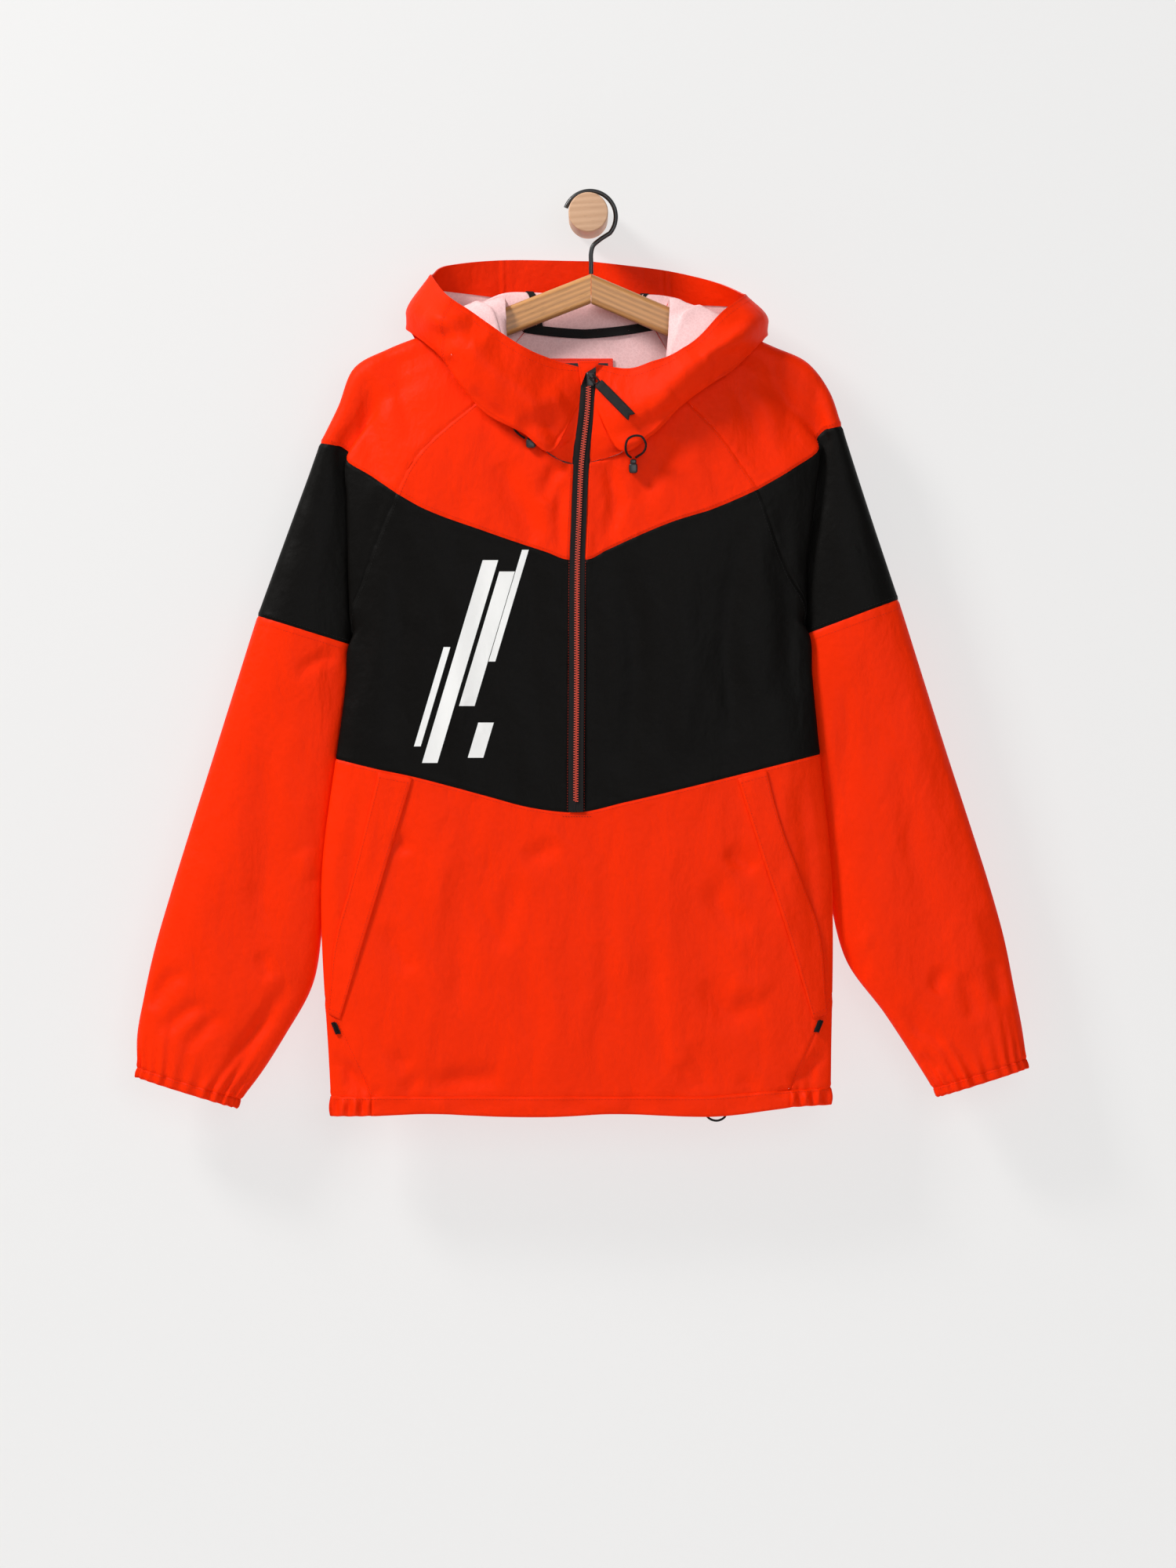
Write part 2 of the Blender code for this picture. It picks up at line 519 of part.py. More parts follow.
    def band_row(self, share, back=False):
        """A row of the black band, from the raglan seam round to the outer line."""
        side_z = self.side_rows[0] + (self.side_rows[BAND_ROWS] - self.side_rows[0]) * share
        along = self.along_at_side(side_z)
        start = self.back(along, side_z) if back else self.front(along, side_z)
        start[0] -= self.inward * UNDERARM_GAP * ease((share - 0.5) / 0.5)
        folds = self.folds(share, back)
        outer = np.append(self.curves["outer_band"].at(share), 0.0)
        crest_out = blend(*CREST_OUT[back], share)
        crest = blend(folds[-1], outer, 0.5)
        crest[2] = crest_out
        dent = blend(folds[-1], crest, 0.5)
        dent[2] = blend(folds[-1][2], crest_out, 0.7)
        return np.array([start, *folds, dent, crest, *self.outer_arc(crest, outer)])

    def outer_arc(self, crest, outer):
        points = []
        for k in range(1, OUTER_STEPS + 1):
            angle = k / OUTER_STEPS * math.pi / 2
            point = blend(crest, outer, math.sin(angle) ** ROUND)
            point[2] = crest[2] * math.cos(angle) ** ROUND if k < OUTER_STEPS else 0.0
            points.append(point)
        return points

    def cap_rows(self, back=False):
        """Rows of the sleeve cap, neck seam to colour seam."""
        low = self.band_row(0.0, back)
        neck = self.curves["neck_back_side" if back else "neck_side"]
        raglan = self.curves["raglan_back" if back else "raglan_front"]
        shares = [0, 0.16, 0.3, 0.42, 0.52, 0.62, CREST]
        arc = [blend(CREST, 1.0, math.sin(k / OUTER_STEPS * math.pi / 2) ** ROUND)
               for k in range(1, OUTER_STEPS + 1)]
        out_at = self.back_out if back else self.front_out
        rows = []
        for i in range(YOKE_ROWS + 1):
            share = i / YOKE_ROWS
            side, outer = raglan.at(share), self.curves["outer_cap"].at(share)
            flat = []
            for j, width in enumerate(shares + arc):
                ends = blend(blend(neck.at(0), low[0, :2], share),
                             blend(neck.at(1), low[-1, :2], share), width)
                flat.append(blend(neck.at(width), low[j, :2], share) - ends + blend(side, outer, width))
            start_out, crest_out = out_at(*side), out_at(*flat[INNER_STEPS])
            crest_out = math.copysign(max(abs(crest_out), RIDGE_OUT), crest_out)
            fold_share = ease((share - 0.4) / 0.6)
            row = []
            for j, (x, z) in enumerate(flat):
                if j <= INNER_STEPS:
                    plain = blend(start_out, crest_out, j / INNER_STEPS)
                else:
                    angle = (j - INNER_STEPS) / OUTER_STEPS * math.pi / 2
                    plain = crest_out * max(math.cos(angle), 0.0) ** ROUND
                row.append((x, z, blend(plain, low[j, 2], fold_share)))
            row[-1] = (*row[-1][:2], 0.0)
            rows.append(row)
        rows[-1] = low
        return np.array(rows)

    def lower_row(self, share, waves=0.0, angles=None):
        """A closed ring of the lower sleeve, from the underarm line round."""
        top = np.vstack([self.band_row(1.0), self.band_row(1.0, True)[-2:0:-1]])
        outer = self.curves["outer_lower"].at(share)
        leave = self.table["inner_leaves"]
        if share < leave:
            z = blend(top[0, 1], self.table["inner_lower"][0][1], share / leave)
            tuck = blend(SIDE_TUCK - UNDERARM_GAP, SLEEVE_TUCK, ease(share / 0.08))
            x = self.edge(z) + self.inward * blend(tuck, 0.0, ease((share - 0.45) / 0.25))
            inner = np.array([x, z])
        else:
            inner = self.curves["inner_lower"].at((share - leave) / (1 - leave))
        settle = ease(share / 0.22)
        shift = SLEEVE_SHIFT * ease(share / 0.3)
        ring = []
        for angle in RING_ANGLES if angles is None else angles:
            c, s = math.cos(angle), math.sin(angle)
            across = 0.5 - 0.5 * math.copysign(abs(c) ** ROUND, c)
            depth = blend(*SLEEVE_DEPTH[s < 0], share)
            x, z = blend(inner, outer, across)
            out = depth * math.copysign(abs(s) ** ROUND, s) + shift
            out += waves * math.copysign(min(abs(s) * 3, 1), s) * math.cos(CUFF_WAVES * angle)
            key = float(np.interp(angle, RING_ANGLES + [2 * math.pi], range(RING + 1)))
            low, high = top[int(key) % RING], top[(int(key) + 1) % RING]
            start = blend(low, high, key - int(key))
            ring.append(blend(start, np.array([x, z, out]), settle))
        return np.array(ring)


# ---------------------------------------------------------------- meshes

def world(points):
    """(x, z, out) in millimetres to world metres."""
    points = np.asarray(points, float)
    return np.stack([points[..., 0], -(HANGER_OFF + points[..., 2]), points[..., 1]], -1) * MM


def material(name, colour, roughness=0.6):
    found = bpy.data.materials.get(name)
    if found:
        return found
    made = bpy.data.materials.new(name)
    made.use_nodes = True
    shader = made.node_tree.nodes["Principled BSDF"]
    shader.inputs["Base Color"].default_value = (*colour, 1.0)
    shader.inputs["Roughness"].default_value = roughness
    return made


def add_object(name, vertices, faces, colour, roughness=0.6, smooth=True):
    mesh = bpy.data.meshes.new(name)
    mesh.from_pydata([tuple(v) for v in vertices], [], faces)
    mesh.validate()
    obj = bpy.data.objects.new(name, mesh)
    obj.data.materials.append(material("mat_" + name, colour, roughness))
    bpy.context.scene.collection.objects.link(obj)
    if smooth:
        mesh.shade_smooth()
        mesh.set_sharp_from_angle(angle=math.radians(50))
    return obj


def face_normal(corners):
    """Length is the face's area."""
    spokes = corners - corners.mean(axis=0)
    return 0.5 * np.cross(spokes, np.roll(spokes, -1, axis=0)).sum(axis=0)


def point_normals(points, faces):
    normals = np.zeros_like(points)
    for face in faces:
        normal = face_normal(points[list(face)])
        normals[list(face)] += normal / max(np.linalg.norm(normal), 1e-12)
    lengths = np.linalg.norm(normals, axis=1)
    return normals / np.maximum(lengths, 1e-12)[:, None]


def shrink_edge(points, faces, gap):
    """Pull the outline in by half a seam gap; return the outline's edges."""
    edges = {}
    for face in faces:
        for a, b in zip(face, face[1:] + face[:1]):
            edges[(a, b)] = face
    outline = [edge for edge in edges if edge[::-1] not in edges]
    pulls = {}
    for a, b in outline:
        inward = np.cross(face_normal(points[list(edges[(a, b)])]), points[b] - points[a])
        for v in (a, b):
            pulls.setdefault(v, []).append(inward / max(np.linalg.norm(inward), 1e-12))
    moved = points.copy()
    for v, (first, second) in pulls.items():
        bisector = (first + second) / max(1 + float(np.dot(first, second)), 0.5)
        moved[v] += bisector * gap / 2
    return moved, outline


def halved(points, faces):
    """Faces with each four-sided one cut along its shorter diagonal."""
    made = []
    for face in faces:
        if len(face) == 3:
            made.append(face)
            continue
        a, b, c, d = face
        short = np.linalg.norm(points[a] - points[c]) <= np.linalg.norm(points[b] - points[d])
        made += [(a, b, c), (a, c, d)] if short else [(b, c, d), (b, d, a)]
    return made


def wall(name, points, faces, colour, thickness=CLOTH, gap=SEAM, normals=None, lift=0.0):
    """A closed wall of cloth: its outer side, an inner side and the rim."""
    faces = [tuple(int(i) for i in face) for face in faces]
    used = sorted({i for face in faces for i in face})
    index = {old: new for new, old in enumerate(used)}
    faces = [tuple(index[i] for i in face) for face in faces]
    points = world(np.asarray(points)[used])
    normals = point_normals(points, faces) if normals is None else np.asarray(normals)[used]
    outer, outline = shrink_edge(points, faces, gap * MM)
    faces = halved(outer, faces)
    outer = outer + normals * lift * MM
    inner = outer - normals * thickness * MM
    count = len(outer)
    vertices = np.vstack([outer, inner])
    rim = halved(vertices, [(b, a, a + count, b + count) for a, b in outline])
    inside = [tuple(i + count for i in reversed(face)) for face in faces]
    return add_object(name, vertices, faces + inside + rim, colour)


class Sheet:
    """A grid of cloth points with normals, cut into pieces by rows and columns."""

    def __init__(self, grid, flip=False, closed=False):
        self.grid = np.asarray(grid, float)
        self.rows, self.columns = self.grid.shape[:2]
        self.flip, self.closed = flip, closed
        self.points = self.grid.reshape(-1, 3)
        self.same = list(range(len(self.points)))
        for i in range(1, len(self.points)):
            if i % self.columns and np.linalg.norm(self.points[i] - self.points[i - 1]) < 0.01:
                self.same[i] = self.same[i - 1]
        self.normals = point_normals(world(self.points), self.cells())

    def index(self, row, column):
        return self.same[row * self.columns + column % self.columns]

    def cell(self, row, column):
        """The corners of one cell; where two of them meet it is a triangle."""
        corners = (self.index(row, column), self.index(row, column + 1),
                   self.index(row + 1, column + 1), self.index(row + 1, column))
        return tuple(dict.fromkeys(corners[::-1] if self.flip else corners))

    def cells(self, rows=None, columns=None):
        rows = rows or (0, self.rows - 1)
        columns = columns or (0, self.columns if self.closed else self.columns - 1)
        cells = [self.cell(r, c) for r in range(*rows) for c in range(*columns)]
        return [cell for cell in cells if len(cell) > 2]

    def cut(self, name, colour, rows=None, columns=None, extra=(), without=(), **options):
        faces = [f for f in self.cells(rows, columns) if f not in without] + list(extra)
        return wall(name, self.points, faces, colour, normals=self.normals, **options)


def solid(name, vertices, faces, colour, roughness=0.6):
    """An object from millimetre points, its faces turned to look outwards."""
    vertices = world(vertices)
    centre = vertices.mean(axis=0)
    volume = 0.0
    for face in faces:
        for b, c in zip(face[1:-1], face[2:]):
            volume += np.dot(vertices[face[0]] - centre,
                             np.cross(vertices[b] - centre, vertices[c] - centre))
    if volume < 0:
        faces = [face[::-1] for face in faces]
    return add_object(name, vertices, faces, colour, roughness)


def extruded(ends):
    """Vertices and faces of a prism between two outlines of equal length."""
    count = len(ends[0])
    faces = [tuple(range(count)), tuple(range(2 * count - 1, count - 1, -1))]
    faces += [(i, i + count, (i + 1) % count + count, (i + 1) % count) for i in range(count)]
    return np.vstack(ends), faces


def rectangle(x, z, width, height):
    return [(x + u * width / 2, z + v * height / 2) for u, v in ((-1, -1), (1, -1), (1, 1), (-1, 1))]


def prism(name, outline, out, colour, roughness=0.6, bevel=0.0, segments=1):
    """An outline in the front view, extruded between two values of out."""
    ends = [[(x, z, depth) for x, z in outline] for depth in out]
    obj = solid(name, *extruded(ends), colour, roughness)
    if bevel:
        modifier = obj.modifiers.new("Rounded edges", "BEVEL")
        modifier.width = bevel * MM
        modifier.segments = segments
        modifier.limit_method = "ANGLE"
        modifier.angle_limit = math.radians(40)
    return obj


def tube(name, points, radius, colour, sides=8, closed=False):
    """A round cord or wire along points (x, z, out)."""
    centres = world(points)
    if closed:
        tangents = np.roll(centres, -1, axis=0) - np.roll(centres, 1, axis=0)
    else:
        tangents = np.gradient(centres, axis=0)
    tangents /= np.linalg.norm(tangents, axis=1)[:, None]
    side = np.cross(tangents[0], (0.3, 0.2, 0.93))
    vertices = []
    for centre, tangent in zip(centres, tangents):
        side = side - tangent * np.dot(side, tangent)
        side /= np.linalg.norm(side)
        other = np.cross(tangent, side)
        for k in range(sides):
            angle = 2 * math.pi * k / sides
            vertices.append(centre + radius * MM * (math.cos(angle) * side + math.sin(angle) * other))
    faces = []
    count = len(centres)
    for i in range(count if closed else count - 1):
        for k in range(sides):
            a, b = i * sides + k, i * sides + (k + 1) % sides
            after_a, after_b = (a + sides) % (count * sides), (b + sides) % (count * sides)
            faces.append((a, b, after_b, after_a))
    if not closed:
        last = (count - 1) * sides
        faces.append(tuple(range(sides))[::-1])
        faces.append(tuple(range(last, last + sides)))
    return add_object(name, vertices, faces, colour, 0.5)


# ---------------------------------------------------------------- pieces

def build_peg_and_hanger():
    turns = [2 * math.pi * k / PEG_SIDES for k in range(PEG_SIDES)]
    peg = [(PEG_RADIUS * math.cos(turn), PEG_RADIUS * math.sin(turn)) for turn in turns]
    prism("wall_peg", peg, (-HANGER_OFF, PEG_LENGTH - HANGER_OFF), BEECH, 0.55, bevel=1.0)
    half = ARM_SIZE[0] / 2
    for name, (inward, slope, reach) in ARMS.items():
        mitre = APEX[0] - inward * SEAM / 2
        arm = prism("hanger_arm_" + name, arm_outline(inward, slope, reach, mitre), (-half, half),
                    OAK, 0.5, bevel=ARM_BEVEL, segments=2)
        round_all_but(arm, mitre)
    build_hook()


def arm_outline(inward, slope, reach, mitre):
    """One arm of the hanger in the front view: mitred at the top, rounded at its tip."""
    height, tip = ARM_SIZE[1], ARM_TIP
    run = math.hypot(1, slope)
    along = np.array((-inward / run, -slope / run))
    down = np.array((inward * slope / run, -1 / run))
    low = np.array((mitre, APEX[1] - height * run))
    length = (reach + inward * APEX[0]) * run
    outline = [(mitre, APEX[1]), (mitre, float(low[1]))]
    centre = low + along * (length - height * slope - tip) - down * tip
    for turn in (1.0, -1.0):
        for k in range(5):
            angle = k / 4 * math.pi / 2
            first, second = (along, down) if turn > 0 else (-down, along)
            point = centre + tip * (math.sin(angle) * first + math.cos(angle) * second)
            outline.append((float(point[0]), float(point[1])))
        centre = centre - down * (height - 2 * tip)
    return outline


def round_all_but(arm, mitre):
    """Round the long edges alone, so that the two arms meet flush at the mitre."""
    mesh = arm.data
    weights = mesh.attributes.new("bevel_weight_edge", "FLOAT", "EDGE")
    for edge in mesh.edges:
        a, b = (mesh.vertices[v].co for v in edge.vertices)
        across = abs(a.y - b.y) > 0.01 * MM
        at_mitre = all(abs(end.x - mitre * MM) < 0.01 * MM for end in (a, b))
        weights.data[edge.index].value = 0.0 if across or at_mitre else 1.0
    arm.modifiers[0].limit_method = "WEIGHT"


def build_hook():
    cx, cz = HOOK_CENTRE
    turn = [math.radians(160 - 200 * k / 18) for k in range(19)]
    arc = [(cx + HOOK_RADIUS * math.cos(a), cz + HOOK_RADIUS * math.sin(a)) for a in turn]
    neck = Curve([arc[-1], (10.5, -26.0), (4.6, -31.5), (APEX[0], -38.5), (APEX[0], -48.0),
                  (APEX[0], APEX[1] + SEAM)])
    path = arc + [tuple(neck.at(k / 9)) for k in range(1, 10)]
    tube("hanger_hook", [(x, z, 0.0) for x, z in path], HOOK_WIRE, BLACK)


def build_front(sides):
    """Yokes, chest panels, and the lower front with a gusset cut off each corner."""
    chest = BAND_ROWS + CHEST_ROWS
    halves = []
    for key, side in sides.items():
        Sheet(side.yoke(), flip=key == "l").cut("front_yoke_" + key, ORANGE)
        half = [side.row(i) for i in range(len(side.side_rows))]
        Sheet(half, flip=key == "l").cut("front_chest_" + key, BLACK, rows=(0, chest))
        halves.append(np.array(half))
    sheet = Sheet(np.concatenate([halves[0], halves[1][:, ::-1]], axis=1), flip=True)
    removed, kept = [], []
    for key in sides:
        cut_gusset(key, sheet, chest + LOWER_ROWS, removed, kept)
    sheet.cut("front_lower", ORANGE, rows=(chest, sheet.rows - 1), extra=kept, without=removed)


def cut_gusset(key, sheet, top, removed, kept):
    """Cut the three-cornered gusset off one lower corner of the front.

    The cells that the front loses go into removed, and the halves that it
    keeps along the slanted seam into kept."""
    gusset = []
    for step, row in enumerate(range(top, sheet.rows - 1)):
        ends = list(range(GUSSET_WIDTH + 1 + step))
        if key == "r":
            ends = [sheet.columns - 1 - column for column in ends]
        cells = [sheet.cell(row, min(pair)) for pair in zip(ends, ends[1:])]
        removed += cells
        gusset += cells[:-1]
        gusset.append(tuple(i for i in cells[-1] if i != sheet.index(row, ends[-1])))
        kept.append(tuple(i for i in cells[-1] if i != sheet.index(row + 1, ends[-2])))
    wall("side_gusset_" + key, sheet.points, gusset, ORANGE, normals=sheet.normals)


def build_back(sides):
    yokes = [side.yoke(back=True) for side in sides.values()]
    whole = np.concatenate([yokes[0][:, :-1], yokes[1][:, ::-1]], axis=1)
    Sheet(whole).cut("back_yoke", ORANGE)
    rows = [np.array([side.row(i, back=True) for i in range(len(side.side_rows))])
            for side in sides.values()]
    sheet = Sheet(np.concatenate([rows[0][:, :-1], rows[1][:, ::-1]], axis=1))
    chest = BAND_ROWS + CHEST_ROWS
    sheet.cut("back_chest", BLACK, rows=(0, chest))
    sheet.cut("back_lower", ORANGE, rows=(chest, sheet.rows - 1))


def build_sleeves(sides):
    for key, side in sides.items():
        flip = key == "r"
        cap = np.concatenate([side.cap_rows(), side.cap_rows(True)[:, -2::-1]], axis=1)
        band = np.array([np.vstack([side.band_row(i / BAND_ROWS),
                                    side.band_row(i / BAND_ROWS, True)[-2::-1]])
                         for i in range(BAND_ROWS + 1)])
        arm = Sheet(np.concatenate([cap[:-1], band]), flip=flip)
        arm.cut("sleeve_cap_" + key, ORANGE, rows=(0, YOKE_ROWS))
        arm.cut("sleeve_band_" + key, BLACK, rows=(YOKE_ROWS, YOKE_ROWS + BAND_ROWS))
        build_lower_sleeve(key, side, flip)


def build_lower_sleeve(key, side, flip):
    """The orange lower sleeve, whose last row ripples into the cuff."""
    shares = [0, 0.035, 0.1, 0.2, 0.34, 0.48, 0.62, 0.74, 0.85, 0.94]
    fine = [2 * math.pi * k / (CUFF_WAVES * SAMPLES) for k in range(CUFF_WAVES * SAMPLES)]
    sheet = Sheet(np.array([side.lower_row(share) for share in shares]), flip=flip, closed=True)
    rippled = side.lower_row(1.0, CUFF_WAVE, fine)
    points = np.vstack([sheet.points, rippled])
    faces = sheet.cells()
    base, first = (len(shares) - 1) * RING, len(shares) * RING
    middles = [(a + b) / 2 for a, b in zip(RING_ANGLES, RING_ANGLES[1:] + [2 * math.pi])]
    owner = [int(np.searchsorted(middles, angle)) % RING for angle in fine]
    for i, column in enumerate(owner):
        after = owner[(i + 1) % len(owner)]
        a, b = first + i, first + (i + 1) % len(owner)
        face = (base + column, b, a) if column == after else (base + column, base + after, b, a)
        faces.append(face[::-1] if flip else face)
    wall("sleeve_lower_" + key, points, faces, ORANGE, gap=LOWER_GAP)
    build_cuff(key, side, flip, rippled)


def build_cuff(key, side, flip, top):
    outer, inner = side.curves["outer_lower"], side.curves["inner_lower"]
    axis = outer.at(1.0) - outer.at(0.9) + inner.at(1.0) - inner.at(0.8)
    low = top.copy()
    low[:, :2] += axis / np.linalg.norm(axis) * CUFF_HEIGHT
    Sheet(np.array([top, low]), flip=flip, closed=True).cut("cuff_" + key, ORANGE, thickness=1.8)


def hem_ring(side, back, start, end, count, wave):
    """Three rows of the hem channel between two places on one side."""
    rings = []
    for drop in (0.0, 0.5, 1.0):
        ring = []
        for i in range(count + 1):
            along = blend(start, end, i / count)
            top = side.hem_z(along, back)
            point = side.back(along, top) if back else side.front(along, top)
            swing = wave * math.sin(math.pi * drop * 0.9) * math.sin(math.pi * i / 2)
            facing = ease((along + SIDE_WALL / 2) / SIDE_WALL)
            point[2] += (-1.0 if back else 1.0) * (0.5 + swing) * facing
            point[0] -= side.inward * (0.5 + swing) * (1 - facing)
            point[1] = top - HEM_DROP * drop
            ring.append(point)
        rings.append(ring)
    return np.array(rings)


def build_hem(sides):
    side_in = NEAR_OFFSETS[-1] - SIDE_WALL
    for name, back in (("hem_front", False), ("hem_back", True)):
        halves = [hem_ring(sides[key], back, side_in, sides[key].hem_reach(back), 8, 0.0)
                  for key in ("l", "r")]
        first = 1 if back else 0
        whole = np.concatenate([halves[0], halves[1][:, ::-1][:, first:]], axis=1)
        Sheet(whole, flip=not back).cut(name, ORANGE, thickness=HEM_WALL)
    count = HEM_WAVES * 2
    for key, side in sides.items():
        front = hem_ring(side, False, side_in, -SIDE_WALL, count, HEM_WAVE)
        rear = hem_ring(side, True, -SIDE_WALL, side_in, count, HEM_WAVE)
        whole = np.concatenate([front[:, :-1], rear[:, 1:]], axis=1)
        Sheet(whole, flip=key == "r").cut("hem_side_" + key, ORANGE, thickness=1.6)


def neck_loop(side):
    """The neck seam of one half, from the zip to the middle of the back."""
    yoke, back = side.yoke()[0][::-1], side.yoke(True)[0]
    cap, cap_back = side.cap_rows()[0], side.cap_rows(True)[0][::-1]
    points = np.vstack([yoke, cap[1:], cap_back[1:], back[1:]])
    steps = np.linalg.norm(np.diff(points, axis=0), axis=1)
    return points, np.concatenate([[0.0], np.cumsum(steps)]) / steps.sum()


def turn_points(before, tip, after, rounded):
    """A tip of the hood's section with the points that round it off."""
    back = (before + after) / 2 - tip
    back *= FOLD_RADIUS / np.linalg.norm(back)
    across = after - before
    across -= back * np.dot(across, back) / FOLD_RADIUS**2
    across *= FOLD_RADIUS / max(np.linalg.norm(across), 1.0)
    return (blend(blend(before, tip, 0.8), tip + back - across, rounded), tip,
            blend(blend(tip, after, 0.2), tip + back + across, rounded))


def hood_section(side, section, loop):
    """Points of the hood from the neck seam to the brim at one section."""
    table = HOOD[side.name]
    flat = [[row[0], *[value for point in row[1:] for value in point], *rest]
            for row, *rest in zip(table, ROLL_SHARE, TOP_ROUND, FOLD_ROUND)]
    values = Curve(flat, range(len(flat))).at(section)
    points, lengths = loop
    start = np.array([np.interp(values[0], lengths, points[:, i]) for i in range(3)])
    top, under, fold, face, brim = (values[1 + 3 * i:4 + 3 * i] for i in range(5))
    rolled, top_round, fold_round = (min(max(value, 0.0), 1.0) for value in values[-3:])
    ahead = (top - start) / np.linalg.norm(top - start)
    start = start + rolled * np.array([side.inward * 0.9, 0.6, 0.0])
    lift = np.array([side.inward * 0.35, 0.92, 0.1])
    roll = start + ROLL * blend(ahead, lift, rolled)
    curve = Curve([start, roll, *turn_points(roll, top, under, top_round), under,
                   *turn_points(under, fold, face, fold_round), face, brim])
    samples = [curve.at(0)]
    for i, steps in enumerate(HOOD_STEPS):
        for k in range(1, steps + 1):
            samples.append(curve.at(blend(curve.keys[i], curve.keys[i + 1], k / steps)))
    return np.array(samples)


def build_hood(sides):
    loops = {key: neck_loop(side) for key, side in sides.items()}
    stations = [0.5 * k for k in range(2 * HOOD_SEAM + 1)]
    centre = [9.25, 9.5, 9.75, 10.0]
    columns = [hood_section(sides["l"], s, loops["l"]) for s in stations + centre]
    columns += [hood_section(sides["r"], s, loops["r"]) for s in (centre[:-1][::-1] + stations[::-1])]
    sheet = Sheet(columns)
    seam, total = len(stations) - 1, sheet.rows - 1
    sheet.cut("hood_side_l", ORANGE, rows=(0, seam), gap=HOOD_GAP)
    sheet.cut("hood_centre", ORANGE, rows=(seam, total - seam), gap=HOOD_GAP)
    sheet.cut("hood_side_r", ORANGE, rows=(total - seam, total), gap=HOOD_GAP)
    rim = sheet.columns - 1
    sheet.cut("hood_facing", ORANGE, rows=(10, total - 10), columns=(rim - FACING_DEPTH, rim),
              thickness=1.0, lift=-(CLOTH + 0.4), gap=1.0)
    for key, side in sides.items():
        before, seam, after = (hood_section(side, s, loops[key])[1:6] for s in (8.5, HOOD_SEAM, 9.25))
        strip = [blend(seam, before, 0.25), seam, blend(seam, after, 0.3)]
        Sheet(strip, flip=key == "r").cut("hood_tape_" + key, BLACK, thickness=0.8,
                                          lift=-(CLOTH + 0.5))


def build_neck(sides):
    """Tape over the back neck seam, and the label below it."""
    line = np.vstack([sides["l"].yoke(True)[0], sides["r"].yoke(True)[0][-2::-1]])
    line = line[2:-2]
    grid = [line + np.array([0.0, rise_by, CLOTH + SEAM + TAPE_WALL])
            for rise_by in (TAPE_WIDTH / 2, 0.0, -TAPE_WIDTH / 2)]
    Sheet(grid, flip=True).cut("neck_tape", BLACK, thickness=TAPE_WALL)
    x, z = LABEL_MIDDLE
    width, height = LABEL_SIZE
    out = -BACK_OUT + CLOTH + LABEL_OFF
    prism("neck_label", rectangle(x, z, width, height), (out, out + LABEL_WALL), ORANGE, 0.7)


def build_zip(sides):
    """Tapes in the front opening, the tooth chain on them and the slider."""
    for key, side in sides.items():
        grid = []
        for z in ZIP_ROWS:
            half = ZIP_HALF - COLLAR_INSET * ease((z - COLLAR_START) / 10)
            grid.append([(zip_x(z) - side.inward * x, z, zip_out(z)) for x in (half, 0.1)])
        Sheet(grid, flip=key == "r").cut("zip_tape_" + key, BLACK)
    heights = [z for z in ZIP_ROWS if ZIP_BOTTOM <= z <= CHAIN_TOP]
    half = CHAIN_SIZE[0] / 2
    grid = [[(zip_x(z) + x, z, zip_out(z)) for x in (-half, half)] for z in heights]
    Sheet(grid).cut("zip_chain", ORANGE, thickness=CHAIN_SIZE[1], lift=CHAIN_SIZE[1] + 0.3)
    x, z, out = SLIDER
    width, height, depth = SLIDER_SIZE
    prism("zip_slider", rectangle(x, z, width, height), (out, out + depth), BLACK, 0.35, bevel=0.8)
    prism("zip_garage", GARAGE, GARAGE_OUT, ORANGE)


def zip_out(z):
    return float(ZIP_OUT.at(z)[0])


def build_pull():
    """The slider's bridge, and the cord loop and tab that swing on it."""
    pivot = np.array(PULL_PIVOT)
    down = np.array(PULL_END) - pivot
    length = np.linalg.norm(down)
    down /= length
    across = np.array([-down[1], down[0], 0.0])
    across /= np.linalg.norm(across)
    up = np.cross(across, down)
    up *= math.copysign(1.0, up[2])

    def place(points):
        return [tuple(pivot + u * across + v * down + w * up) for u, v, w in points]

    half = BRIDGE_WIDTH / 2
    solid("zip_bridge", *extruded([place([(u, v, w) for v, w in BRIDGE_ARCH]) for u in (-half, half)]),
          BLACK, 0.35)
    corner, reach = LOOP_CORNER, LOOP_LENGTH
    path = []
    for cu, cv, first in ((LOOP_HALF - corner, reach - corner, 0), (corner - LOOP_HALF, reach - corner, 1),
                          (corner - LOOP_HALF, corner, 2), (LOOP_HALF - corner, corner, 3)):
        for k in range(4):
            angle = (first + k / 3) * math.pi / 2
            path.append((cu + corner * math.cos(angle), cv + corner * math.sin(angle), 0.0))
    tube("pull_loop", place(path), LOOP_WIRE, BLACK, sides=6, closed=True)
    half, thick, start = TAB_SIZE[0] / 2, TAB_SIZE[1] / 2, reach + LOOP_WIRE + SEAM
    tab = [(-half, start), (half, start), (half, length), (0.0, length - TAB_NOTCH), (-half, length)]
    solid("pull_tab", *extruded([place([(u, v, w) for u, v in tab]) for w in (-thick, thick)]), BLACK)


def build_cords():
    """Elastic cords of the hood and hem, and the hood's cord stops."""
    for name, points in CORDS.items():
        curve = Curve(points)
        count = CORD_STEPS[name]
        tube(name, [curve.at(k / count) for k in range(count + 1)], CORD_WIRE, BLACK, sides=6)
    for key, (x, z, out, width, height, depth) in STOPS.items():
        prism("cord_stop_" + key, rectangle(x, z, width, height), (out, out + depth), BLACK, 0.4, bevel=1.6)


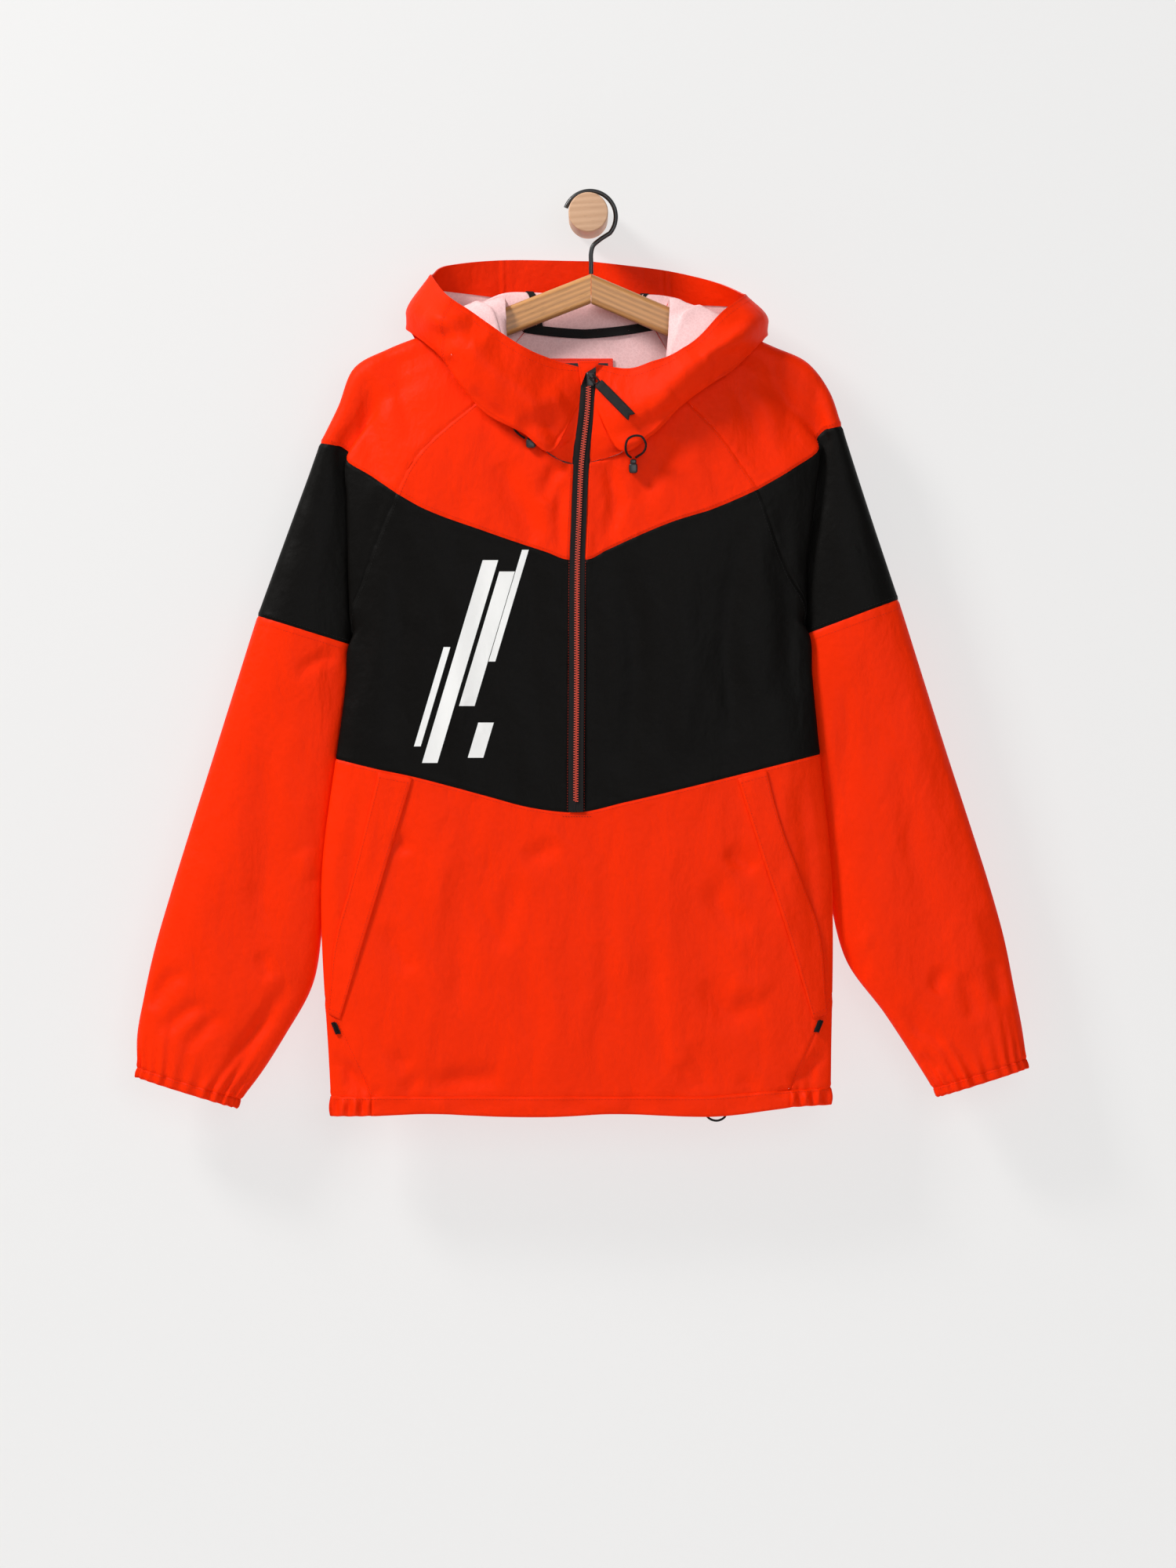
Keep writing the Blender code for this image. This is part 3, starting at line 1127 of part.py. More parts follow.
def build_pockets(sides):
    """Welts over the slanted hand pockets, with a bar tack at the foot of each."""
    for key, side in sides.items():
        free, stitch = Curve(side.table["welt_free"]), Curve(side.table["welt_stitch"])
        grid = []
        for i in range(WELT_ROWS + 1):
            ends = free.at(i / WELT_ROWS), stitch.at(i / WELT_ROWS)
            grid.append([side.front_at(*blend(*ends, share)) for share in (0.0, 0.35, 0.7, 1.0)])
        Sheet(grid, flip=key == "r").cut("pocket_welt_" + key, ORANGE, lift=CLOTH + OVER)
        x, z = side.table["bartack"]
        width, height = BARTACK
        grid = [[side.front_at(x + side.inward * u * width, z - v * height) for u in (0.5, 0.17, -0.17, -0.5)]
                for v in (-0.5, -0.2, 0.2, 0.5)]
        Sheet(grid, flip=key == "r").cut("bartack_" + key, BLACK, thickness=0.9, lift=0.9 + OVER)


def main():
    for obj in list(bpy.data.objects):
        bpy.data.objects.remove(obj, do_unlink=True)
    sides = {key: Side(key) for key in ("l", "r")}
    build_peg_and_hanger()
    build_front(sides)
    build_back(sides)
    build_sleeves(sides)
    build_hem(sides)
    build_hood(sides)
    build_neck(sides)
    build_zip(sides)
    build_pull()
    build_cords()
    build_pockets(sides)


main()
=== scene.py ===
"""Looks of a hooded half-zip anorak on a wooden hanger, hung from a wall peg.

Tables and sizes are millimetres unless a name says otherwise.  A point is
(x, z, out): "out" is how far it lies in front of the hanger's middle plane.
The cloth is laid as fine grids on the forms of the solids, pressed with
listed creases and cut into the sewn pieces.
"""

from __future__ import annotations

import logging
import math
from dataclasses import dataclass, field
from enum import Enum
from typing import Any, Callable, Iterable, Sequence

import bmesh
import bpy
import numpy as np
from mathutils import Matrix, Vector

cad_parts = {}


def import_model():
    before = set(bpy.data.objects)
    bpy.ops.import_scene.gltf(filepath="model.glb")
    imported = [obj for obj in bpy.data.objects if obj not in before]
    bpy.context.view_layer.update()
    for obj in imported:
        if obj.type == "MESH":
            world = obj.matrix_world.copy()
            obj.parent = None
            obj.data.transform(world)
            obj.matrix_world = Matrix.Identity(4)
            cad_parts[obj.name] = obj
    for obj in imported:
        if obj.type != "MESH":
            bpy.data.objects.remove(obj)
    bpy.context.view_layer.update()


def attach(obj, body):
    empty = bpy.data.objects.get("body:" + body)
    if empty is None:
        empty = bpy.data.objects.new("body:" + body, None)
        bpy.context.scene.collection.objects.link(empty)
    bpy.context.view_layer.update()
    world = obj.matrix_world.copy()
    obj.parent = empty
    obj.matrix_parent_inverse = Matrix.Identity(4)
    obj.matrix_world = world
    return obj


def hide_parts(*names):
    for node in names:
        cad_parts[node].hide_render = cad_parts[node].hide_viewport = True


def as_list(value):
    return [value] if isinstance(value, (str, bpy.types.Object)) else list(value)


LOG = logging.getLogger("anorak")
MM = 0.001
Point = tuple[float, ...]
Value = float | np.ndarray
Socket = bpy.types.NodeSocket
Sockets = bpy.types.bpy_prop_collection

# ---------------------------------------------------------------- sizes

HANGER_OFF = 60.0      # hanger's middle plane in front of the wall
CLOTH = 1.2            # cloth wall
SEAM = 0.3             # clear space between sewn pieces
OVER = 0.7             # clear space under a piece that lies on another

FRONT_OUT = 33.0       # fullest part of the front, in front of the hanger
FRONT_RISE = 170.0     # height over which the front reaches it
BACK_OUT = 19.0        # the same for the back
BACK_RISE = 60.0
BODY_MID = -4.0        # x of the middle of the body
BODY_HALF = 230.0
HEM_SHRINK = 0.22      # how much flatter the body is at the hem

SIDE_WALL = 16.0       # from the front fold round to the side seam
SIDE_TUCK = 7.0        # how far the side seam lies inside the front fold
GUSSET_COLUMNS = 4

ZIP_HALF = 7.2         # half of the zip tapes' width
CHAIN_TOP = -170.6     # ends of the tooth chain
ZIP_BOTTOM = -571.0
ZIP_ROWS = (-157.0, -164.0, CHAIN_TOP, -178.0, -186.0, -195.0, -205.0, -216.0, -228.0, -237.0,
            -244.0, -252.0, -275.0, -300.0, -337.8, -385.0, -430.0, -480.0, -530.0, ZIP_BOTTOM,
            -581.3)
COLLAR_START = -250.0  # above here the tapes lie between the hood's front edges
COLLAR_INSET = 0.9     # and are this much narrower
CHAIN_SIZE = (5.0, 2.0)               # width, thickness
SLIDER = (2.3, -163.6, 40.0)          # middle x and z, and the out of its back
SLIDER_SIZE = (8.6, 13.0, 2.6)
GARAGE = [(-10.2, -146.3), (11.9, -145.9), (7.3, -151.6), (-2.6, -158.0), (-7.1, -169.9)]
PULL_PIVOT = (2.7, -160.7, 45.4)
PULL_END = (41.5, -201.0, 58.0)
BRIDGE_WIDTH = 2.0
BRIDGE_ARCH = ((-3.2, -1.8), (-3.2, 1.2), (-2.4, 2.2), (2.4, 2.2), (3.2, 1.2), (3.2, -1.8),
               (1.9, -1.8), (1.9, 1.0), (-1.9, 1.0), (-1.9, -1.8))     # down, up
LOOP_HALF = 2.3        # half the loop's width, on the cord's middle line
LOOP_LENGTH = 9.5
LOOP_CORNER = 0.9
LOOP_WIRE = 0.75
TAB_SIZE = (8.7, 1.2)
TAB_NOTCH = 3.0

YOKE_ROWS = 6
BAND_ROWS = 5
CHEST_ROWS = 3
LOWER_ROWS = 2
BACK_SEAMS = (-286.0, -540.0, -857.7)  # yoke, chest and hem seams at the middle of the back
FAR_COLUMNS = {False: 5, True: 3}     # columns towards the middle, front and back
INNER_STEPS = 6        # sleeve columns from the inner seam to the crest
OUTER_STEPS = 4        # and from the crest to the outer line
NEAR_OFFSETS = (0, 8, 16, 26, 36, 46, 56)

TAPE_WIDTH = 8.4       # tape over the back neck seam
TAPE_WALL = 0.8
LABEL_MIDDLE = (-8.3, -162.2)
LABEL_SIZE = (64.6, 45.0)
WELT_ROWS = 8
BARTACK = (5.3, 10.6)

CORD_WIRE = 1.1        # radius of the elastic cords
CORDS = {              # points of each middle line
    "hood_cord_l": ((-74.0, -206.0, 36.0), (-70.0, -213.5, 36.6), (-65.0, -218.0, 36.8),
                    (-60.9, -220.6, 36.8)),
    "hood_cord_r": ((41.2, -239.2, 38.5), (37.4, -236.0, 45.0), (36.0, -229.5, 51.5),
                    (38.0, -222.5, 54.5), (43.0, -219.4, 55.8), (51.0, -219.8, 56.4),
                    (55.2, -226.0, 54.5), (53.8, -233.5, 47.0), (46.0, -239.2, 38.5)),
    "hem_cord": ((109.0, -862.0, 20.2), (113.0, -873.5, 20.6), (118.0, -878.8, 21.0),
                 (125.0, -880.4, 21.0), (131.0, -878.0, 20.4), (135.0, -864.0, 19.6)),
}
STOPS = {              # x, z, out of its back, width, height, depth
    "l": (-55.4, -223.4, 33.0, 9.5, 12.9, 8.0),
    "r": (43.4, -247.4, 33.1, 8.4, 13.7, 8.0),
}

CUFF_WAVES = 24        # gathers round a cuff
CUFF_WAVE = 1.7        # their height
CUFF_HEIGHT = 9.0
HEM_WAVES = 9          # gathers at each side of the hem
HEM_WAVE = 2.7         # their height
HEM_DROP = 15.5        # depth of the hem channel
HEM_WALL = 2.6

RIDGE_OUT = 12.0       # least fullness beside the shoulder's ridge, over the hanger

ARM_SIZE = (14.0, 26.5)          # hanger arm: thickness, height
ARMS = {"l": (1.0, 0.39, 212.0), "r": (-1.0, 0.425, 204.0)}   # inward, slope, reach
ARM_TIP = 10.0
ARM_BEVEL = 4.5
APEX = (2.7, -58.9)              # top of the hanger, x and z
PEG_RADIUS = 19.2
PEG_LENGTH = 78.0
HOOK_WIRE = 2.2
HOOK_RADIUS = 25.0
HOOK_CENTRE = (1.7, -3.1)

# ---------------------------------------------------------------- tables

# zip line: (x, z)
ZIP_LINE = ((0.1, -157.0), (0.1, -172.1), (-7.1, -250.4), (-9.2, -300.0),
            (-10.6, -337.8), (-11.3, -455.6), (-12.1, -571.1), (-12.1, -590.0))

# fold of the cloth near the edge of the body, against the distance "along"
# the cloth from the fold: (along, share of the full depth)
FOLD_SHARE = ((-16, 0.0), (-8, 0.25), (0, 0.5), (8, 0.72), (20, 0.88),
              (35, 0.97), (50, 1.0), (400, 1.0))

# the sleeve's inner folds beside the body, for five sections from the colour
# seam (0) to the underarm (1): inward of the body's edge and out, for the
# panel's middle, the fold, the valley and the start of the sleeve
FRONT_FOLDS = (
    # share, middle, fold, valley, sleeve
    (0.00, 25.0, 24.0, 0.5, 13.5, 3.5, 7.5, -4.0, 9.0),
    (0.45, 10.0, 20.5, 0.5, 13.0, 3.8, 6.8, -4.5, 9.3),
    (0.75, 0.0, 13.5, 0.8, 9.0, 3.0, 4.6, -4.5, 9.3),
    (0.90, 1.2, 5.6, 1.6, 4.4, 2.4, 3.4, -5.0, 9.3),
    (1.00, 4.6, 0.8, 3.4, 2.0, 1.8, 3.6, -5.0, 9.5),
)
BACK_FOLDS = (
    (0.00, 30.0, -14.5, 7.5, -8.5, 8.5, -4.5, 0.0, -6.0),
    (0.45, 17.0, -12.0, 7.0, -8.0, 7.6, -4.2, -0.5, -6.3),
    (0.75, 6.4, -8.2, 6.0, -5.6, 5.8, -3.2, -1.5, -6.6),
    (0.90, 5.4, -3.6, 5.2, -2.9, 4.6, -2.4, -2.5, -7.0),
    (1.00, 5.0, -0.7, 4.4, -1.5, 3.2, -2.6, -3.5, -7.5),
)
UNDERARM_GAP = -1.0    # the sleeve laps this far over the body at the underarm

SIDES = {
    "l": {
        "inward": 1.0,
        "ridge_slope": 0.3975,
        # outer line of the shoulder and sleeve, (x, z), neck to colour seam
        "outer_cap": ((-83.9, -87.8), (-140.0, -110.1), (-190.0, -130.0), (-221.5, -142.5),
                      (-239.7, -180.5), (-260.2, -223.4)),
        "outer_band": ((-260.2, -223.4), (-289.1, -302.1), (-321.5, -391.0)),
        "outer_lower": ((-321.5, -391.0), (-365.1, -529.3), (-408.4, -668.4), (-422.1, -716.3),
                        (-431.6, -758.9), (-438.8, -799.1), (-438.6, -829.5)),
        # fold at the edge of the body: (z, x)
        "edge": ((-180, -234.5), (-239, -235.5), (-330, -234.0), (-418, -232.1), (-448, -234.4),
                 (-530, -245.0), (-582, -251.9), (-642, -258.7), (-678, -260.2), (-727, -257.9),
                 (-761, -255.7), (-819, -251.9), (-858, -250.0), (-890, -249.0)),
        # inner line of the lower sleeve once clear of the body: (x, z)
        "inner_lower": ((-258.7, -732.3), (-281.5, -774.8), (-311.1, -825.7), (-337.5, -861.0)),
        "inner_leaves": 0.70,
        "raglan_front": ((-76.3, -157.7), (-109.0, -185.8), (-143.2, -213.9), (-168.3, -239.0),
                         (-185.7, -273.2)),
        "raglan_back": ((-62.6, -114.4), (-92.0, -150.0), (-128.0, -194.0), (-160.0, -236.0),
                        (-178.6, -273.2)),
        # raglan seam below the yoke: (z, distance along from the body's fold)
        "raglan_low": ((-273.2, 49.6), (-338.0, 21.0), (-383.0, 3.0), (-405.0, -9.0),
                       (-419.1, -16.0)),
        # colour seam on the sleeve: z of middle, fold, valley, sleeve; then underarm
        "seam_z": (-256.0, -239.4, -233.5, -227.2),
        "underarm_z": (-419.1, -419.1, -419.1, -417.2),
        "neck_front": ((-14.0, -245.1), (-37.5, -236.7), (-48.9, -221.5), (-68.7, -182.0),
                       (-76.3, -157.7)),
        "neck_side": ((-76.3, -157.7), (-82.4, -121.2), (-83.9, -87.8)),
        "neck_back_side": ((-62.6, -114.4), (-78.6, -98.4), (-83.9, -87.8)),
        # front seams against the share of the way from zip to side: (share, z)
        "yoke_seam": ((0.0, -337.8), (0.485, -310.8), (0.87, -286.1), (1.0, -273.2)),
        "chest_seam": ((0.0, -581.8), (0.05, -581.0), (0.31, -568.1), (0.51, -555.9),
                       (0.655, -547.6), (0.81, -540.4), (1.0, -530.1)),
        "hem_seam": ((0.0, -857.7), (1.0, -857.7)),
        "gusset_top": -761.0,
        "welt_free": ((-170.5, -549.1), (-206.3, -668.4), (-240.5, -782.0)),
        "welt_stitch": ((-202.5, -543.0), (-229.8, -651.7), (-244.3, -702.6), (-251.0, -777.0)),
        "bartack": (-244.0, -791.0),
    },
    "r": {
        "inward": -1.0,
        "ridge_slope": 0.425,
        "outer_cap": ((81.8, -87.5), (140.0, -112.2), (181.0, -129.8), (210.0, -142.6),
                      (226.9, -159.8), (246.3, -206.8)),
        "outer_band": ((246.3, -206.8), (273.3, -290.7), (301.4, -375.1)),
        "outer_lower": ((301.4, -375.1), (347.8, -521.7), (394.6, -668.4), (404.8, -706.4),
                        (414.7, -755.8), (423.0, -799.1), (426.0, -821.0)),
        "edge": ((-180, 225.5), (-228, 224.7), (-284, 220.1), (-349, 211.5), (-408, 214.0),
                 (-448, 217.1), (-526, 224.7), (-594, 230.7), (-654, 236.8), (-706, 237.6),
                 (-756, 236.8), (-824, 235.6), (-850, 235.4), (-890, 235.0)),
        "inner_lower": ((238.3, -707.9), (256.6, -734.5), (280.9, -767.2), (304.5, -802.2),
                        (334.9, -850.1)),
        "inner_leaves": 0.70,
        "raglan_front": ((77.2, -157.7), (95.5, -185.1), (113.7, -201.0), (135.0, -226.9),
                         (151.7, -250.4), (163.9, -269.4)),
        "raglan_back": ((65.1, -112.1), (88.0, -150.0), (120.0, -194.0), (146.0, -234.0),
                        (157.0, -269.4)),
        "raglan_low": ((-269.4, 57.4), (-338.0, 23.0), (-376.0, 3.0), (-396.0, -9.0),
                       (-408.5, -16.0)),
        "seam_z": (-249.0, -228.8, -220.0, -210.9),
        "underarm_z": (-408.5, -408.5, -408.5, -406.0),
        "neck_front": ((0.8, -243.6), (33.9, -232.9), (49.9, -213.9), (70.4, -182.0),
                       (77.2, -157.7)),
        "neck_side": ((77.2, -157.7), (80.3, -125.0), (81.8, -87.5)),
        "neck_back_side": ((65.1, -112.1), (76.5, -100.0), (81.8, -87.5)),
        "yoke_seam": ((0.0, -337.8), (0.70, -291.5), (0.855, -280.8), (1.0, -269.4)),
        "chest_seam": ((0.0, -581.4), (0.36, -562.0), (0.64, -546.1), (1.0, -525.5)),
        "hem_seam": ((0.0, -857.7), (0.45, -857.7), (0.82, -851.5), (1.0, -849.3)),
        "gusset_top": -758.0,
        "welt_free": ((144.9, -549.1), (168.8, -625.1), (192.0, -695.4), (218.0, -782.0)),
        "welt_stitch": ((172.2, -541.5), (184.4, -588.6), (204.9, -644.9), (222.4, -692.7),
                        (230.5, -777.0)),
        "bartack": (222.6, -789.0),
    },
}

# hood sections from the zip (0) round to the middle of the back (10); each is
# the share of the neck seam where it starts, then (x, z, out) of the roll, the
# under layer, the lower fold, the face and the brim
HOOD = {
    "l": (
        (0.000, (-11.5, -220, 37), (-9.8, -201, 38), (-8.5, -186, 39), (-7.2, -168, 39),
         (-7.1, -152.0, 37)),
        (0.083, (-34.5, -228, 37), (-34.5, -226, 41), (-35.3, -233, 45), (-33.7, -182, 50),
         (-33.0, -144.8, 42)),
        (0.200, (-59.6, -190, 36), (-61.9, -199, 42), (-63.4, -216, 46), (-62.6, -174, 60),
         (-59.6, -134.1, 50)),
        (0.320, (-77.8, -152, 32), (-86.9, -170, 39), (-97.6, -198, 45), (-93.0, -155, 62),
         (-83.9, -118.9, 50)),
        (0.440, (-86.0, -119, 27), (-104.0, -138, 36), (-121.9, -172, 43), (-120.4, -129, 60),
         (-110.5, -100.7, 46)),
        (0.540, (-94.0, -94, 18), (-122.0, -114, 30), (-143.2, -141, 36), (-147.7, -110, 48),
         (-135.6, -83.2, 38)),
        (0.650, (-108.0, -86, 6), (-141.0, -101, 12), (-175.8, -114, 4), (-174.0, -95, 14),
         (-151.8, -62.0, 16)),
        (0.715, (-100.6, -84, -15), (-130.0, -101, -26), (-168.0, -122, -30), (-174.5, -103, -27),
         (-151.5, -58.5, -6)),
        (0.790, (-81.6, -76, -24), (-99.0, -150, -33), (-136.0, -196, -41), (-146.0, -121, -47),
         (-137.5, -48.3, -26)),
        (0.860, (-57.3, -75, -26), (-69.0, -182, -35), (-88.0, -272, -43), (-84.0, -152, -52),
         (-84.0, -42.0, -40)),
        (1.000, (-0.3, -78, -27), (-0.3, -197, -35), (-0.3, -298, -43), (-0.3, -174, -53),
         (1.2, -42.6, -44)),
    ),
    "r": (
        (0.000, (2.9, -220, 37), (4.6, -201, 38), (5.9, -186, 39), (7.2, -168, 39),
         (7.3, -149.0, 37)),
        (0.083, (30.1, -227, 37), (30.1, -225, 41), (30.1, -232, 45), (33.9, -186, 50),
         (37.7, -153.1, 42)),
        (0.200, (52.9, -193, 36), (55.9, -201, 42), (60.5, -219, 46), (60.5, -182, 60),
         (60.5, -147.1, 50)),
        (0.320, (74.2, -158, 32), (79.5, -172, 39), (89.4, -190, 45), (87.9, -163, 62),
         (83.3, -138.7, 50)),
        (0.440, (84.0, -124, 27), (98.5, -142, 36), (117.5, -169, 43), (115.2, -140, 60),
         (106.9, -120.5, 46)),
        (0.540, (92.0, -99, 18), (117.0, -122, 30), (142.6, -152, 36), (145.6, -121, 48),
         (129.7, -97.7, 38)),
        (0.650, (108.0, -90, 6), (140.0, -107, 12), (173.2, -120, 4), (172.4, -103, 14),
         (150.6, -81.0, 16)),
        (0.715, (100.0, -88, -15), (128.0, -105, -26), (165.0, -131, -30), (171.6, -112, -27),
         (149.5, -76.8, -6)),
        (0.790, (83.3, -80, -24), (98.0, -155, -33), (134.0, -200, -41), (144.0, -129, -47),
         (129.5, -66.5, -26)),
        (0.860, (54.4, -77, -26), (68.0, -182, -35), (87.0, -272, -43), (83.0, -152, -52),
         (75.7, -52.2, -40)),
        (1.000, (-0.3, -78, -27), (-0.3, -197, -35), (-0.3, -298, -43), (-0.3, -174, -53),
         (1.2, -42.6, -44)),
    ),
}
ROLL = 5.0                                    # first rise of the hood off the neck seam
ROLL_SHARE = (0, 0.4, 1, 1, 1, 1, 1, 1, 0.3, 0, 0)
TOP_ROUND = (0, 0, 0, 0, 0, 0, 0.3, 0.8, 1, 1, 1)
FOLD_ROUND = (0, 0.7, 1, 1, 1, 1, 1, 1, 1, 1, 1)
FOLD_RADIUS = 3.5                             # of the hood's lower fold
HOOD_SEAM = 9                                 # section where side and centre panels meet

CAP_SHARES = (0, 0.16, 0.3, 0.42, 0.52, 0.62)  # columns of the sleeve cap up to its crest
BACK_NECK_Z = -115.9
ZIP_FORM = ((-157.0, 37.0), (-168.0, 38.6), (-186.0, 39.0), (-201.0, 38.2), (-220.0, 37.0),
            (-244.0, 33.2), (-300.0, 33.0), (-340.0, 33.0), (-590.0, 30.8))
MAX_SWING = 2.5        # longest tangent of a curve, in steps to its nearest point
ROUND = 0.87           # how square a sleeve's section is; 1 is an ellipse
CREST = 0.75           # where the crest lies between the raglan seam and the outer line

# creases: height, reach to each side, then the line's (x, z) points
LOWER_FRONT_CREASES = (
    (-1.8, 7, (-62.6, -628.1), (-45.9, -621.3), (-29.2, -609.1)),
    (1, 14, (-40.6, -584.8), (-45.9, -630.4), (-38.3, -706.4), (-29.2, -782.4), (-34.5, -850.8)),
    (-0.9, 8, (8.8, -588.6), (14.9, -668.4), (18.7, -744.4), (21, -820.4)),
    (-2.2, 9, (112.2, -744.4), (125.1, -765.7), (140.3, -776.3), (153.2, -770.3), (170.7, -773.3)),
    (1.5, 11, (136.5, -746.2), (155.5, -753.5), (170.7, -763.4)),
    (-2, 7, (132.7, -619), (147.9, -628.9), (163.1, -638)),
    (-1.6, 8, (136.5, -638), (125.1, -668.4), (136.5, -683.6), (159.3, -695)),
    (-1.8, 6, (-186.5, -603.8), (-175.1, -622.8)),
    (-1.6, 7, (-192.6, -691.2), (-182.7, -717.8), (-169, -739.1)),
    (-1.3, 8, (-105.2, -668.4), (-93, -691.2), (-83.9, -704.1), (-77.8, -683.6), (-72.5, -645.6)),
    (-3, 8, (-156.1, -846), (-121.9, -840.7), (-83.9, -838.4)),
    (-1.4, 8, (-192.3, -827.1), (-182, -822), (-172, -829)),
    (-1.5, 5, (-248.1, -816.6), (-235.9, -828), (-213.1, -854.6)),
    (-1.5, 5, (232.3, -816.6), (212.5, -829.5), (193.5, -847)),
    (-1.6, 6, (89.4, -824.2), (102.3, -854.6)),
    (-1.6, 6, (98.5, -805.2), (108.4, -831.8), (113.7, -856.9)),
    (-1.2, 7, (-219.2, -562), (-230.6, -645.6), (-238.9, -729.2)),
    (-1.2, 7, (201.1, -554.4), (212.5, -630.4), (220.1, -721.6)),
    (1.2, 13, (-144.7, -562), (-144.7, -630.4), (-153.8, -706.4), (-156.1, -782.4),
     (-159.9, -835.6)),
    (-0.8, 12, (-121.9, -630.4), (-129.5, -782.4)),
    (1, 13, (75.7, -600), (79.5, -668.4), (87.1, -744.4), (92.4, -797.6)),
    (-1.2, 8, (60.5, -706.4), (66.6, -782.4), (75.7, -843.2)),
    (-1.5, 4.5, (-228, -858), (-231, -838), (-229, -822)),
    (-1.3, 4.5, (-217, -858), (-221, -842), (-226, -830)),
    (-1.3, 4.5, (-204, -858), (-207, -848)),
    (-1.2, 5, (-176, -858), (-171, -845), (-161, -838)),
    (-1.5, 4.5, (212, -858), (216, -838), (214, -822)),
    (-1.3, 4.5, (201, -858), (206, -843), (212, -832)),
    (-1.3, 4.5, (188, -858), (191, -848)),
    (-1.2, 5, (160, -858), (155, -845), (146, -839)),
)
YOKE_CREASES = (
    (-2.4, 8, (-213.1, -159.2), (-211.6, -204.8), (-205.5, -250.4), (-197.9, -265.6)),
    (-2, 8, (-186.5, -136.4), (-178.9, -182), (-167.5, -227.6)),
    (-2, 9, (-83.9, -242.8), (-68.7, -280.8), (-45.9, -318.8)),
    (-2.4, 6, (-21.6, -242.8), (-33.7, -254.2), (-44.4, -280.8)),
    (-1.6, 5, (-26.1, -262.6), (-28.4, -303.6), (-26.1, -330.2)),
    (-1.8, 6, (16.7, -244.2), (26.3, -280.8), (18.7, -318.8)),
    (-1.8, 9, (83.3, -220), (68.1, -250.4), (45.3, -280.8)),
    (-1.4, 7, (220.1, -159.2), (221.6, -220)),
    (-2, 8, (174.5, -144), (193.5, -204.8), (197.3, -242.8)),
    (-1.8, 8, (136.5, -159.2), (159.3, -204.8), (178.3, -250.4)),
)
CHEST_CREASES = (
    (-1.6, 10, (-175.1, -311.2), (-182.7, -402.4), (-190.3, -516.4)),
    (1.2, 12, (-121.9, -341.6), (-125.7, -440.4), (-121.9, -524)),
    (-1.2, 10, (-45.9, -349.2), (-53.5, -440.4), (-38.3, -539.2)),
    (-1.4, 10, (37.7, -341.6), (49.1, -440.4), (37.7, -546.8)),
    (1.4, 12, (83.3, -326.4), (98.5, -425.2), (90.9, -524)),
    (-1.6, 10, (144.1, -303.6), (136.5, -402.4), (140.3, -516.4)),
    (-1.5, 9, (178.3, -280.8), (189.7, -364.4), (197.3, -478.4)),
    (-1.5, 9, (-213.1, -280.8), (-214.6, -372), (-224.5, -478.4)),
)
SLEEVE_L_CREASES = (
    (-1.6, 12, (-309.6, -462.5), (-314.2, -635.7), (-320.3, -744.4)),
    (-1.4, 5, (-281.5, -449.5), (-266.3, -436.6), (-243.5, -429)),
    (-1.5, 6, (-318, -717.1), (-309.6, -744.4)),
    (1.2, 8, (-276.9, -619.8), (-266.3, -646.4)),
    (-2.2, 6, (-425.9, -774.8), (-414.5, -753.5), (-399.3, -740.6), (-387.9, -744.4)),
    (-2, 6, (-414.5, -797.6), (-399.3, -782.4), (-380.3, -771), (-365.1, -774.8)),
    (-2, 6, (-391.7, -812.8), (-371.2, -790), (-357.5, -774.8)),
    (-2, 6, (-342.3, -820.4), (-319.5, -790), (-289.1, -744.4)),
    (-1.8, 6, (-353.7, -839.4), (-334.7, -812.8), (-308.1, -774.8)),
)
SLEEVE_R_CREASES = (
    (-1.2, 8, (245.9, -438.1), (251.3, -519.5), (249, -595.5)),
    (-1.4, 10, (306, -519.5), (321.9, -650.2), (344, -704.1)),
    (-1.1, 8, (249, -712.2), (261.9, -732.7), (274.8, -735)),
    (0.8, 9, (259.9, -702.4), (274.3, -711.8)),
    (-2, 6, (344, -731.5), (335.6, -758.1)),
    (-2.4, 6, (306, -769.5), (321.9, -790.8), (346.3, -807.5)),
    (-2, 7, (365.3, -736.8), (376.7, -785.5)),
    (-1.8, 7, (392.6, -726.2), (403.3, -769.5)),
    (-1.8, 5, (321.9, -818.1), (340.9, -834.1)),
    (-1.6, 7, (387.3, -676.8), (406.3, -731.5)),
)
HOOD_CREASES = (
    (-4, 7, (-157, -112), (-142, -123.4), (-124, -116.8), (-97, -122)),
    (3, 7, (-158, -98), (-136, -108), (-112, -107)),
    (-2.2, 8, (-154, -124), (-131.6, -129), (-110, -130)),
    (-3, 6, (-134.8, -141.7), (-128, -162.3)),
    (-3, 6, (-111.3, -172.9), (-100.6, -190.4), (-73.3, -207.9)),
    (-3.5, 8, (-68, -211), (-46, -206), (-26, -193)),
    (2.5, 8, (-60, -194), (-40, -189), (-24, -178)),
    (-3, 6, (-38.3, -203), (-31.5, -216), (-22, -227)),
    (-2.5, 10, (-98, -128), (-66, -158), (-30, -170)),
    (-4, 7, (20, -223), (32, -217), (59.4, -208), (81, -194), (96, -186)),
    (2.5, 7, (60, -197), (72, -190), (84, -180)),
    (-4, 7, (113.7, -168), (133.2, -156), (148.6, -143), (159, -136)),
    (-4, 8, (94, -138), (128.9, -119), (155, -102)),
    (3, 7, (108, -142), (135, -127), (160, -113)),
    (-3, 6, (118, -152), (137.8, -141), (153, -138)),
    (-2, 10, (88, -150), (60, -166), (32, -178)),
)
